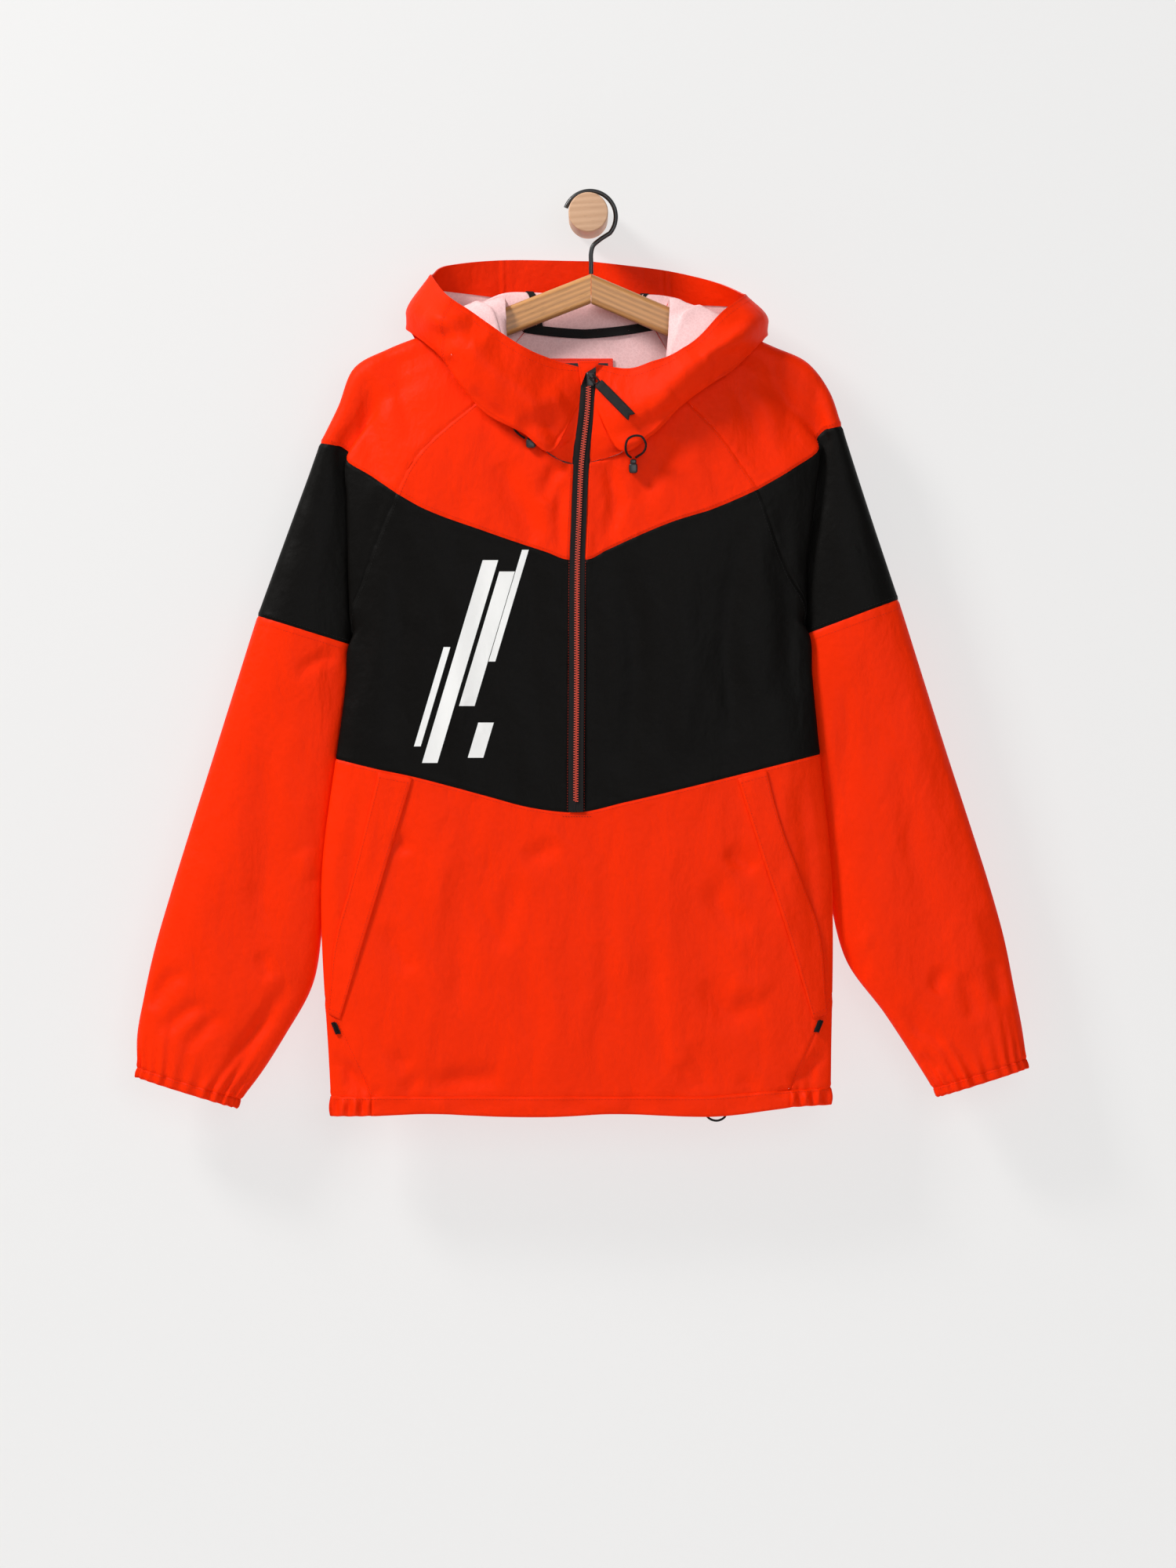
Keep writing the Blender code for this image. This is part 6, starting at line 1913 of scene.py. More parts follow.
@dataclass(frozen=True)
class ShellCloth(Finish):
    """Light woven nylon with a soft sheen, partly a painted highlight on the yarns' crossings, and
    a plain print if it has bars.
    """

    yarns: float = 1900.0
    crumple: float = 0.007
    bars: tuple[Bar, ...] = ()
    slant: float = 0.3
    ink: Point = (0.84, 0.84, 0.83, 1.0)

    def look(self, nodes: Nodes, effects: Effects, place: Socket, cloth: Socket) -> Look:
        """Return crumples, weave, wear, a painted highlight on the yarns' crossings and the print.

        Args:
            nodes: the nodes of the tree.
            effects: the shared effects.
            place: the place of each point.
            cloth: the flat place of each point on its piece.

        Returns:
            What the finish shows.
        """
        weave = self.group(nodes, effects.weave, Vector=cloth, Yarns_per_metre=self.yarns).outputs
        rumple = self.group(nodes, effects.rumple, Vector=place).outputs
        wear = self.group(nodes, effects.wear, Vector=place, Amount=0.5).outputs
        colour = nodes.mix(rumple["Mask"], self.shade(0.90), self.shade(1.14))
        # painted highlight: the yarns' raised crossings are lightened
        colour = nodes.mix(nodes.times(weave["Mask"], 0.35), colour, self.shade(1.5))
        colour = nodes.mix(nodes.times(wear["Mask"], 0.22), colour, self.shade(0.78))
        rough = nodes.math("ADD", self.roughness - 0.06, nodes.times(rumple["Height"], 0.14))
        if self.bars:
            mask = self.print_mask(nodes, place)
            colour = nodes.mix(mask, colour, self.ink)
            rough = nodes.math("SUBTRACT", rough, nodes.times(mask, 0.12))
        return Look(colour, ((rumple["Height"], self.crumple, 0.55),
                             (weave["Height"], 0.00006, 0.35)), rough)

    def print_mask(self, nodes: Nodes, place: Socket) -> Socket:
        """Build the mask of the printed bars.

        Args:
            nodes: the material's nodes.
            place: the object's coordinates.

        Returns:
            1 inside the bars and 0 outside.
        """
        parts = nodes.put("ShaderNodeSeparateXYZ", i0=place).outputs
        total = None
        for bar in self.bars:
            up = nodes.math("SUBTRACT", parts["Z"], bar.z * MM)
            across = nodes.math("SUBTRACT", nodes.math("SUBTRACT", parts["X"], bar.x * MM),
                                nodes.times(up, self.slant))
            inside = nodes.times(*(
                nodes.math("LESS_THAN", nodes.math("ABSOLUTE", off), size / 2 * MM)
                for off, size in ((across, bar.width), (up, bar.length))))
            total = nodes.math("MAXIMUM", total, inside) if total is not None else inside
        return total


@dataclass(frozen=True)
class PrintedLining(Finish):
    """The pale inner side of the shell with a fine all-over print."""

    cells: float = 260.0
    wobble: float = 0.006

    def look(self, nodes: Nodes, effects: Effects, place: Socket, cloth: Socket) -> Look:
        """Return crumples, weave and a net of short lines.

        Args:
            nodes: the nodes of the tree.
            effects: the shared effects.
            place: the place of each point.
            cloth: the flat place of each point on its piece.

        Returns:
            What the finish shows.
        """
        rumple = self.group(nodes, effects.rumple, Vector=place, Scale=30.0).outputs
        weave = self.group(nodes, effects.weave, Vector=cloth, Yarns_per_metre=1500.0).outputs
        noise = nodes.put("ShaderNodeTexNoise", Vector=place, Scale=120.0, Detail=1.0)
        bent = nodes.put("ShaderNodeVectorMath", {"operation": "MULTIPLY_ADD"},
                         i0=noise.outputs["Color"], i1=(self.wobble,) * 3, i2=place).outputs[0]
        cell = nodes.put("ShaderNodeTexVoronoi", {"feature": "DISTANCE_TO_EDGE"}, Vector=bent,
                         Scale=self.cells).outputs[0]
        line = nodes.ramp(cell, 0.05, 0.12, 1.0, 0.0)
        colour = nodes.mix(rumple["Mask"], self.shade(0.88), self.shade(1.1))
        colour = nodes.mix(nodes.times(line, 0.45), colour, self.shade(1.14))
        return Look(colour, ((rumple["Height"], 0.003, 0.6), (weave["Height"], 0.00008, 0.4)))


@dataclass(frozen=True)
class WovenTape(Finish):
    """Ribbed woven tape, ribbon or elastic."""

    ribs: float = 1100.0

    def look(self, nodes: Nodes, effects: Effects, place: Socket, cloth: Socket) -> Look:
        """Return ribs, with painted shade between them and a painted highlight on their tops, and
        lint.

        Args:
            nodes: the nodes of the tree.
            effects: the shared effects.
            place: the place of each point.
            cloth: the flat place of each point on its piece.

        Returns:
            What the finish shows.
        """
        weave = self.group(nodes, effects.weave, Vector=cloth, Yarns_per_metre=self.ribs,
                           Rib=1.6).outputs["Height"]
        wear = self.group(nodes, effects.wear, Vector=place, Amount=0.8).outputs["Mask"]
        # painted shade and highlight: darker between the ribs, lighter on their tops
        colour = nodes.mix(weave, self.shade(0.55), self.shade(1.6))
        colour = nodes.mix(nodes.times(wear, 0.25), colour, self.shade(2.6))
        return Look(colour, ((weave, 0.00018, 0.8),))


@dataclass(frozen=True)
class Thread(Finish):
    """Twisted sewing thread."""

    def look(self, nodes: Nodes, effects: Effects, place: Socket, cloth: Socket) -> Look:
        """Return the thread's twist."""
        twist = nodes.noise(place, 2500.0)
        return Look(nodes.mix(twist, self.shade(0.8), self.shade(1.25)), ((twist, 0.0001, 0.5),))


@dataclass(frozen=True)
class Moulded(Finish):
    """Moulded plastic or painted wire with a fine skin and rubbed spots."""

    rubbed: float = 1.8

    def look(self, nodes: Nodes, effects: Effects, place: Socket, cloth: Socket) -> Look:
        """Return a fine skin and rubbed spots.

        Args:
            nodes: the nodes of the tree.
            effects: the shared effects.
            place: the place of each point.
            cloth: not used.

        Returns:
            What the finish shows.
        """
        skin = nodes.noise(place, 1800.0, 3.0)
        wear = self.group(nodes, effects.wear, Vector=place, Amount=0.6).outputs["Mask"]
        colour = nodes.mix(wear, self.shade(0.9), self.shade(self.rubbed))
        rough = nodes.math("ADD", self.roughness - 0.08, nodes.times(wear, 0.3))
        return Look(colour, ((skin, 0.00012, 0.35),), rough)


@dataclass(frozen=True)
class Timber(Finish):
    """Lacquered or bare wood with its grain turned along the piece."""

    late: Point = (0.2, 0.1, 0.04)
    turn: float = 0.0                 # radians about the front view's axis
    bands: float = 60.0
    stretch: float = 0.06
    pores: float = 0.5

    def look(self, nodes: Nodes, effects: Effects, place: Socket, cloth: Socket) -> Look:
        """Return growth bands, streaks and pores along the grain.

        Args:
            nodes: the nodes of the tree.
            effects: the shared effects.
            place: the place of each point.
            cloth: not used.

        Returns:
            What the finish shows.
        """
        turned = nodes.put("ShaderNodeMapping", Vector=place,
                           Rotation=(0.0, self.turn, 0.0)).outputs[0]
        grain = self.group(nodes, effects.grain, Vector=turned, Bands=self.bands,
                           Stretch=self.stretch, Pores=self.pores).outputs
        colour = nodes.mix(nodes.times(grain["Band"], 0.75), self.shade(1.0), (*self.late, 1.0))
        colour = nodes.mix(nodes.times(grain["Streak"], 0.6), colour, self.shade(1.35))
        colour = nodes.mix(nodes.times(grain["Pore"], 0.7), colour, self.shade(0.42))
        rough = nodes.math("ADD", self.roughness - 0.1, nodes.times(grain["Streak"], 0.22))
        return Look(colour, ((grain["Height"], 0.00025, 0.4),), rough)


@dataclass(frozen=True)
class BlankLabel(Finish):
    """A blank woven label: a border of one colour round a dark middle."""

    middle: Point = (0.0, 0.0)        # x, z
    half: Point = (27.0, 17.0)
    dark: Point = (0.012, 0.011, 0.012, 1.0)

    def look(self, nodes: Nodes, effects: Effects, place: Socket, cloth: Socket) -> Look:
        """Return the border, the middle and the rows of the weave.

        Args:
            nodes: the nodes of the tree.
            effects: not used.
            place: the place of each point.
            cloth: not used.

        Returns:
            What the finish shows.
        """
        parts = nodes.put("ShaderNodeSeparateXYZ", i0=place).outputs
        inside = nodes.times(*(
            nodes.math("LESS_THAN", nodes.math("ABSOLUTE", nodes.math(
                "SUBTRACT", parts[axis], middle * MM)), half * MM)
            for axis, middle, half in zip("XZ", self.middle, self.half)))
        rows = nodes.math("SINE", nodes.times(parts["Z"], 9000.0))
        colour = nodes.mix(nodes.times(rows, 0.08), self.shade(1.0), self.shade(0.7))
        return Look(nodes.mix(inside, colour, self.dark), ((rows, 0.00006, 0.5),))


class Palette:
    """Every finish of the object, built once."""

    def __init__(self) -> None:
        """Build the materials."""
        effects = Effects()
        black = {"gloss": 0.08, "crumple": 0.005}
        oak = {"roughness": 0.40, "coat": 0.12}
        finishes = {
            "orange": ShellCloth("orange nylon", ORANGE, 0.46, gloss=0.05),
            "black": ShellCloth("black nylon", BLACK, **black),
            "printed": ShellCloth("black nylon with white bars", BLACK, **black,
                                  bars=tuple(Bar(*row) for row in PRINT_BARS)),
            "lining": PrintedLining("pale printed inner side", PINK, 0.62, gloss=0.2),
            "tape": WovenTape("black woven tape", (0.007, 0.0066, 0.0066), 0.7, gloss=0.2),
            "ribbon": WovenTape("black ribbon", WEBBING, 0.6, ribs=900.0, gloss=0.25),
            "elastic": WovenTape("black elastic cord", WEBBING, 0.62, ribs=1500.0, gloss=0.25),
            "orange_thread": Thread("orange thread", (0.60, 0.022, 0.002), 0.6, gloss=0.2),
            "dark_thread": Thread("dark thread", (0.010, 0.0095, 0.0095), 0.6, gloss=0.2),
            "red_thread": Thread("red thread", (0.42, 0.022, 0.008), 0.6),
            "teeth": Moulded("orange zip teeth", (0.80, 0.075, 0.032), 0.38, rubbed=1.15),
            "plastic": Moulded("black moulded plastic", (0.012, 0.012, 0.013), 0.38),
            "wire": Moulded("black painted wire", (0.011, 0.011, 0.012), 0.36, coat=0.15),
            "oak_l": Timber("oak, left arm", (0.55, 0.26, 0.080), **oak,
                            late=(0.22, 0.085, 0.022), turn=0.372),
            "oak_r": Timber("oak, right arm", (0.50, 0.235, 0.074), **oak,
                            late=(0.21, 0.082, 0.023), turn=-0.402),
            "beech": Timber("beech", (0.57, 0.35, 0.215), 0.55, late=(0.42, 0.225, 0.12),
                            turn=0.06, bands=48.0, stretch=0.09, pores=0.25),
            "label": BlankLabel("blank label", ORANGE, 0.7, middle=LABEL_MIDDLE,
                                half=(27.6, 17.9)),
        }
        self.materials = {key: finish.build(effects) for key, finish in finishes.items()}

    def __getitem__(self, key: str) -> bpy.types.Material:
        """Return a material by its short name."""
        return self.materials[key]


# ---------------------------------------------------------------- repeats

class NodeRepeat:
    """A Geometry Nodes tree that repeats a small shape along lines."""

    name = "repeat"
    defaults: dict[str, float] = {}

    def __init__(self) -> None:
        """Build the tree with its named inputs."""
        self.tree = bpy.data.node_groups.new(self.name, "GeometryNodeTree")
        face = self.tree.interface
        face.new_socket("Lines", in_out="INPUT", socket_type="NodeSocketGeometry")
        for key, value in self.defaults.items():
            socket = face.new_socket(key, in_out="INPUT", socket_type="NodeSocketFloat")
            socket.default_value = value
        face.new_socket("Finish", in_out="INPUT", socket_type="NodeSocketMaterial")
        face.new_socket("Shapes", in_out="OUTPUT", socket_type="NodeSocketGeometry")
        nodes = Nodes(self.tree)
        given = nodes.put("NodeGroupInput").outputs
        out = nodes.put("NodeGroupOutput").inputs
        spots = nodes.put("GeometryNodeCurveToPoints", {"mode": "LENGTH"}, Curve=given["Lines"],
                          Length=given["Pitch"]).outputs
        shapes = self.build(nodes, given, spots["Points"], spots["Tangent"])
        real = nodes.put("GeometryNodeRealizeInstances", i0=shapes).outputs[0]
        nodes.link(nodes.put("GeometryNodeSetMaterial", Geometry=real,
                             Material=given["Finish"]).outputs[0], out[0])

    def build(self, nodes: Nodes, given: Sockets, spots: Socket, tangent: Socket) -> Socket:
        """Return the repeated shapes; each kind of repeat makes its own."""
        raise NotImplementedError

    def run(self, name: str, lines: Sequence[np.ndarray], finish: bpy.types.Material,
            **sizes: float) -> bpy.types.Object:
        """Make a plain mesh of the shapes along lines.

        Args:
            name: the piece's name.
            lines: point lists in millimetres.
            finish: the material.
            **sizes: values of the tree's inputs, with _ for a space.

        Returns:
            The finished object.
        """
        carrier = add_object(name + "_lines", poly_curve(name + "_lines", lines))
        modifier = carrier.modifiers.new(self.name, "NODES")
        modifier.node_group = self.tree
        values = {key.replace("_", " "): value for key, value in sizes.items()}
        values["Finish"] = finish
        for item in self.tree.interface.items_tree:
            if item.in_out == "INPUT" and item.name in values:
                modifier[item.identifier] = values[item.name]
        carrier.update_tag()
        graph = bpy.context.evaluated_depsgraph_get()
        mesh = bpy.data.meshes.new_from_object(carrier.evaluated_get(graph), depsgraph=graph)
        mesh.name = name
        curve = carrier.data
        bpy.data.objects.remove(carrier)
        bpy.data.curves.remove(curve)
        return add_object(name, mesh)


class Stitches(NodeRepeat):
    """Running stitches: small rounded threads along the lines."""

    name = "stitches"
    defaults = {"Pitch": 0.0031, "Length": 0.0023, "Thread": 0.00042}
    ball = ("GeometryNodeMeshIcoSphere", {"Radius": 0.5, "Subdivisions": 1})
    shape = ("Thread", "Thread", "Length")         # across, across and along the line

    def build(self, nodes: Nodes, given: Sockets, spots: Socket, tangent: Socket) -> Socket:
        """Return one thread for each pitch of line.

        Args:
            nodes: the nodes of the tree.
            given: the named inputs.
            spots: the points along the line.
            tangent: its direction at them.

        Returns:
            The threads, as geometry.
        """
        turned = nodes.put("FunctionNodeAlignRotationToVector", {"axis": "Z"},
                           Vector=tangent).outputs[0]
        kind, sizes = self.ball
        size = nodes.combine(**{axis: given[key] for axis, key in zip("XYZ", self.shape)})
        thread = nodes.put("GeometryNodeTransform", Geometry=nodes.put(kind, **sizes).outputs[0],
                           Scale=size).outputs[0]
        thread = nodes.put("GeometryNodeSetShadeSmooth", Geometry=thread).outputs[0]
        return nodes.put("GeometryNodeInstanceOnPoints", Points=spots, Instance=thread,
                         Rotation=turned).outputs[0]


class SatinBar(Stitches):
    """Close threads laid across a line, as in a bar tack."""

    name = "satin stitches"
    defaults = {"Pitch": 0.00055, "Width": 0.0045, "Thread": 0.0006}
    ball = ("GeometryNodeMeshUVSphere", {"Segments": 8, "Rings": 5, "Radius": 0.5})
    shape = ("Width", "Width", "Thread")


class ZipTeeth(NodeRepeat):
    """Moulded teeth set left and right in turn along the zip's middle."""

    name = "zip teeth"
    defaults = {"Pitch": 0.00122, "Offset": 0.00105, "Width": 0.0027, "Height": 0.00085,
                "Depth": 0.0017, "Head": 0.00078}

    def build(self, nodes: Nodes, given: Sockets, spots: Socket, tangent: Socket) -> Socket:
        """Return a bar with a round head for each pitch of line.

        Args:
            nodes: the nodes of the tree.
            given: the named inputs.
            spots: the points along the line.
            tangent: its direction at them.

        Returns:
            The teeth, as geometry.
        """
        size = nodes.combine(X=given["Width"], Y=given["Depth"], Z=given["Height"])
        bar = nodes.put("GeometryNodeMeshCube", Size=size).outputs[0]
        head = nodes.put("GeometryNodeMeshCylinder", Vertices=8, Radius=given["Head"],
                         Depth=given["Depth"]).outputs[0]
        head = nodes.put("GeometryNodeTransform", Geometry=head,
                         Translation=nodes.combine(X=nodes.times(given["Width"], -0.4)),
                         Rotation=(math.pi / 2, 0.0, 0.0)).outputs[0]
        tooth = nodes.put("GeometryNodeJoinGeometry", Geometry=bar)
        nodes.link(head, tooth.inputs[0])
        index = nodes.put("GeometryNodeInputIndex").outputs[0]
        turn = nodes.combine(Y=nodes.times(nodes.math("MODULO", index, 2.0), math.pi))
        placed = nodes.put("GeometryNodeInstanceOnPoints", Points=spots,
                           Instance=tooth.outputs[0], Rotation=turn).outputs[0]
        return nodes.put("GeometryNodeTranslateInstances", Instances=placed,
                         Translation=nodes.combine(X=given["Offset"])).outputs[0]


# ---------------------------------------------------------------- pieces

class Slot(Enum):
    """Names of the material slots."""

    ORANGE = "orange_shell"
    BLACK = "black_shell"
    TRIM = "black_trim"
    PLASTIC = "black_plastic"
    TEETH = "zip_teeth"
    WIRE = "black_wire"
    OAK = "oak"
    BEECH = "beech"


HANGER = ("hanger_arm_l_form", "hanger_arm_r_form")
LEAST_AREA = 0.3        # of a cut piece, as a share of its width times its length


def keep(obj: bpy.types.Object, slot: Slot, node: str | None = None,
         body: str = "anorak") -> bpy.types.Object:
    """Let a piece ride a body, in place of a CAD node if one is named.

    Args:
        obj: the piece.
        slot: its colour slot; not used.
        node: the CAD node it stands for, if any.
        body: the body it rides.

    Returns:
        The same piece.
    """
    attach(obj, body)
    if node:
        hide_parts(node)
    return obj


def hang(panel: Panel, slot: Slot, node: str, rests_on: Sequence[str] = HANGER) -> bpy.types.Object:
    """Let a cloth panel stand for its CAD node.

    Args:
        panel: the panel.
        slot: its colour slot; passed to keep, which does not use it.
        node: the CAD node it stands for, if any.
        rests_on: the pieces it rests on; not used.

    Returns:
        The panel's object.
    """
    keep(panel.object, slot, node)
    width, length = panel.extent
    area = min(max(panel.area, LEAST_AREA * width * length), width * length)
    return (panel.object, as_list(rests_on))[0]


def from_table(rows: Iterable[tuple], depth: float, face: Face = Face.FRONT) -> tuple[Crease, ...]:
    """Return creases from a table of height, reach and points, none too steep for the cloth.

    Args:
        rows: height, reach and points of each crease.
        depth: scale of the heights.
        face: the face the creases are on.

    Returns:
        The creases.
    """
    creases = []
    for height, reach, *path in rows:
        width = reach * CREASE_REACH
        deep = math.copysign(min(abs(height) * depth, STEEPEST * width), height)
        creases.append(Crease(tuple(path), deep, width, face=face))
    return tuple(creases)


def add_mesh(name: str, vertices: np.ndarray, faces: Sequence[Sequence[int]],
             material: bpy.types.Material, sharp: float = 40.0) -> bpy.types.Object:
    """Return an object of millimetre points whose faces look outwards.

    Args:
        name: its name.
        vertices: its points, in millimetres.
        faces: its faces, as lists of point numbers.
        material: its finish.
        sharp: degrees from which an edge shows.

    Returns:
        The linked object.
    """
    mesh = bpy.data.meshes.new(name)
    mesh.from_pydata(world(vertices).tolist(), [], [list(map(int, face)) for face in faces])
    work = bmesh.new()
    work.from_mesh(mesh)
    bmesh.ops.recalc_face_normals(work, faces=work.faces)
    work.to_mesh(mesh)
    work.free()
    mesh.materials.append(material)
    mesh.shade_smooth()
    mesh.set_sharp_from_angle(angle=math.radians(sharp))
    return add_object(name, mesh)


def extruded(ends: Sequence[Sequence[Point]]) -> tuple[np.ndarray, list[list[int]]]:
    """Return points and faces of a prism between two outlines.

    Args:
        ends: the two outlines, point for point.

    Returns:
        Its points and faces.
    """
    count = len(ends[0])
    faces = [list(range(count)), list(range(2 * count - 1, count - 1, -1))]
    faces += [[i, i + count, (i + 1) % count + count, (i + 1) % count] for i in range(count)]
    return np.vstack(ends), faces


def rounded_box(x: float, z: float, out: float, size: Point, radius: float,
                steps: int = 5) -> list[Point]:
    """Return a rounded outline in the front view at one depth.

    Args:
        x: place across.
        z: place up.
        out: how far in front.
        size: its width and height.
        radius: radius of the rounding.
        steps: points of each corner.

    Returns:
        Its points, in order.
    """
    points = []
    for turn, (u, v) in enumerate(((1, 1), (-1, 1), (-1, -1), (1, -1))):
        for k in range(steps + 1):
            angle = (turn + k / steps) * math.pi / 2
            points.append((x + u * (size[0] / 2 - radius) + radius * math.cos(angle),
                           z + v * (size[1] / 2 - radius) + radius * math.sin(angle), out))
    return points


def loft(rings: Sequence[Sequence[Point]]) -> tuple[np.ndarray, list[list[int]]]:
    """Return points and faces of a closed skin over outlines of equal length.

    Args:
        rings: the outlines, in order.

    Returns:
        Its points and faces.
    """
    count = len(rings[0])
    faces = [list(range(count))[::-1], list(range((len(rings) - 1) * count, len(rings) * count))]
    for r in range(len(rings) - 1):
        for i in range(count):
            after = (i + 1) % count
            faces.append([r * count + i, r * count + after, (r + 1) * count + after,
                          (r + 1) * count + i])
    return np.vstack(rings), faces


def soft_block(x: float, z: float, outs: Point, size: Point, radius: float, edge: float
               ) -> tuple[np.ndarray, list[list[int]]]:
    """Return a block whose outline and front and back edges are all rounded.

    Args:
        x: place across.
        z: place up.
        outs: where its back and its front lie.
        size: its width and height.
        radius: radius of the rounding.
        edge: radius of the front and back edges.

    Returns:
        Its points and faces.
    """
    rings = []
    for out, lean in ((outs[0], 1), (outs[1], -1)):
        turns = range(4) if lean > 0 else range(3, -1, -1)
        for k in turns:
            angle = k / 3 * math.pi / 2
            inset = edge * (1 - math.sin(angle))
            depth = out + lean * edge * (1 - math.cos(angle))
            rings.append(rounded_box(x, z, depth, (size[0] - 2 * inset, size[1] - 2 * inset),
                                     max(radius - inset, 0.2)))
    return loft(rings)


def tube(points: np.ndarray, radius: float, sides: int = 12, closed: bool = False
         ) -> tuple[np.ndarray, list[list[int]]]:
    """Return a round wire along points, in millimetres.

    Args:
        points: points, in millimetres.
        radius: the wire's radius.
        sides: faces around.
        closed: whether its ends meet.

    Returns:
        Its points and faces.
    """
    centres = np.asarray(points, float)
    if closed:
        tangents = np.roll(centres, -1, axis=0) - np.roll(centres, 1, axis=0)
    else:
        tangents = np.gradient(centres, axis=0)
    tangents /= np.linalg.norm(tangents, axis=1)[:, None]
    side = np.cross(tangents[0], (0.3, 0.9, 0.2))
    rings = []
    for centre, tangent in zip(centres, tangents):
        side = side - tangent * np.dot(side, tangent)
        side /= np.linalg.norm(side)
        other = np.cross(tangent, side)
        turns = [2 * math.pi * k / sides for k in range(sides)]
        rings.append([centre + radius * (math.cos(a) * side + math.sin(a) * other) for a in turns])
    vertices, faces = loft(rings)
    if closed:
        last = (len(rings) - 1) * sides
        faces = faces[2:] + [[last + i, last + (i + 1) % sides, (i + 1) % sides, i]
                             for i in range(sides)]
    return vertices, faces


@dataclass
class Workshop:
    """What the assemblies share: the halves, the finishes and the repeats."""

    sides: dict[str, Side]
    palette: Palette
    relief: Relief
    stitches: Stitches
    satin: SatinBar

    def sew(self, name: str, lines: Sequence[np.ndarray], thread: str = "orange_thread",
            slot: Slot = Slot.ORANGE, body: str = "anorak", **sizes: float) -> None:
        """Lay running stitches along lines on the cloth."""
        keep(self.stitches.run(name, lines, self.palette[thread], **sizes), slot, body=body)


@dataclass
class Hanger:
    """The wall peg, the wooden hanger and its wire hook."""

    shop: Workshop
    peg_sides: int = 96
    peg_edge: float = 1.3             # radius of the peg's front edge
    peg_plain: float = 8.0            # last plain stretch of the peg behind it
    wire_sides: int = 16
    hook_turn: Point = (160.0, 200.0)             # degrees: start and reach of the bend
    hook_neck: tuple[Point, ...] = ((10.5, -26.0), (4.6, -31.5))    # (x, z) below the bend
    hook_low: Point = (-38.5, -48.0)              # heights of the straight end

    def build(self) -> None:
        """Build the pieces."""
        self.build_peg()
        for key in ARMS:
            self.build_arm(key)
        self.build_hook()

    def build_peg(self) -> None:
        """Turn the round peg, its front edge softened."""
        front = PEG_LENGTH - HANGER_OFF
        profile = [(PEG_RADIUS, -HANGER_OFF), (PEG_RADIUS, front - self.peg_edge - self.peg_plain)]
        for k in range(6):
            angle = k / 5 * math.pi / 2
            profile.append((PEG_RADIUS - self.peg_edge * (1 - math.cos(angle)),
                            front - self.peg_edge * (1 - math.sin(angle))))
        turns = [2 * math.pi * k / self.peg_sides for k in range(self.peg_sides)]
        rings = [[(r * math.cos(t), r * math.sin(t), out) for t in turns] for r, out in profile]
        obj = add_mesh("wall_peg_form", *loft(rings), self.shop.palette["beech"])
        keep(obj, Slot.BEECH, "wall_peg")

    def build_arm(self, key: str) -> None:
        """Shape one arm; its long edges are rounded and the mitre left flush.

        Args:
            key: "l" or "r".
        """
        inward, slope, reach = ARMS[key]
        mitre = APEX[0] - inward * SEAM / 2
        outline = self.arm_outline(inward, slope, reach, mitre)
        half = ARM_SIZE[0] / 2
        ends = [[(x, z, depth) for x, z in outline] for depth in (-half, half)]
        obj = add_mesh(f"hanger_arm_{key}_form", *extruded(ends), self.shop.palette["oak_" + key])
        weights = obj.data.attributes.new("bevel_weight_edge", "FLOAT", "EDGE")
        for edge in obj.data.edges:
            a, b = (obj.data.vertices[v].co for v in edge.vertices)
            across = abs(a.y - b.y) > TOUCHING * MM
            at_mitre = all(abs(end.x - mitre * MM) < TOUCHING * MM for end in (a, b))
            weights.data[edge.index].value = 0.0 if across or at_mitre else 1.0
        modifier = obj.modifiers.new("Rounded edges", "BEVEL")
        modifier.width = ARM_BEVEL * MM
        modifier.segments = 6
        modifier.limit_method = "WEIGHT"
        keep(obj, Slot.OAK, "hanger_arm_" + key)

    @staticmethod
    def arm_outline(inward: float, slope: float, reach: float, mitre: float) -> list[Point]:
        """Return an arm's outline, mitred at the top and rounded at its tip.

        Args:
            inward: which way the middle is.
            slope: how far it falls for each millimetre out.
            reach: how far out it goes.
            mitre: where the two arms meet.

        Returns:
            Its points across and up.
        """
        height, tip = ARM_SIZE[1], ARM_TIP
        run = math.hypot(1, slope)
        along = np.array((-inward / run, -slope / run))
        down = np.array((inward * slope / run, -1 / run))
        low = np.array((mitre, APEX[1] - height * run))
        length = (reach + inward * APEX[0]) * run
        outline = [(mitre, APEX[1]), (mitre, float(low[1]))]
        centre = low + along * (length - height * slope - tip) - down * tip
        for turn in (1.0, -1.0):
            for k in range(9):
                angle = k / 8 * math.pi / 2
                first, second = (along, down) if turn > 0 else (-down, along)
                point = centre + tip * (math.sin(angle) * first + math.cos(angle) * second)
                outline.append((float(point[0]), float(point[1])))
            centre = centre - down * (height - 2 * tip)
        return outline

    def build_hook(self) -> None:
        """Bend the wire hook over the peg."""
        cx, cz = HOOK_CENTRE
        start, reach = self.hook_turn
        turns = [math.radians(start - reach * k / 60) for k in range(61)]
        arc = [(cx + HOOK_RADIUS * math.cos(a), cz + HOOK_RADIUS * math.sin(a)) for a in turns]
        straight = [(APEX[0], z) for z in (*self.hook_low, APEX[1] + SEAM)]
        neck = Curve([arc[-1], *self.hook_neck, *straight])
        path = [*arc, *[tuple(neck.at(k / 30)) for k in range(1, 31)]]
        vertices, faces = tube(np.array([(x, z, 0.0) for x, z in path]), HOOK_WIRE, self.wire_sides)
        keep(add_mesh("hanger_hook_form", vertices, faces, self.shop.palette["wire"]), Slot.WIRE,
             "hanger_hook")


YOKE_ROW, ARM_ROW, CHEST_ROW, GUSSET_ROW, HEM_ROW = 6, 11, 14, 16, 20    # seams of the grid
ZIP_COLUMNS = (11, 12)          # columns of the front's two edges at the zip
GUSSETS = (2, 21)               # columns where the gussets' slanted seams start


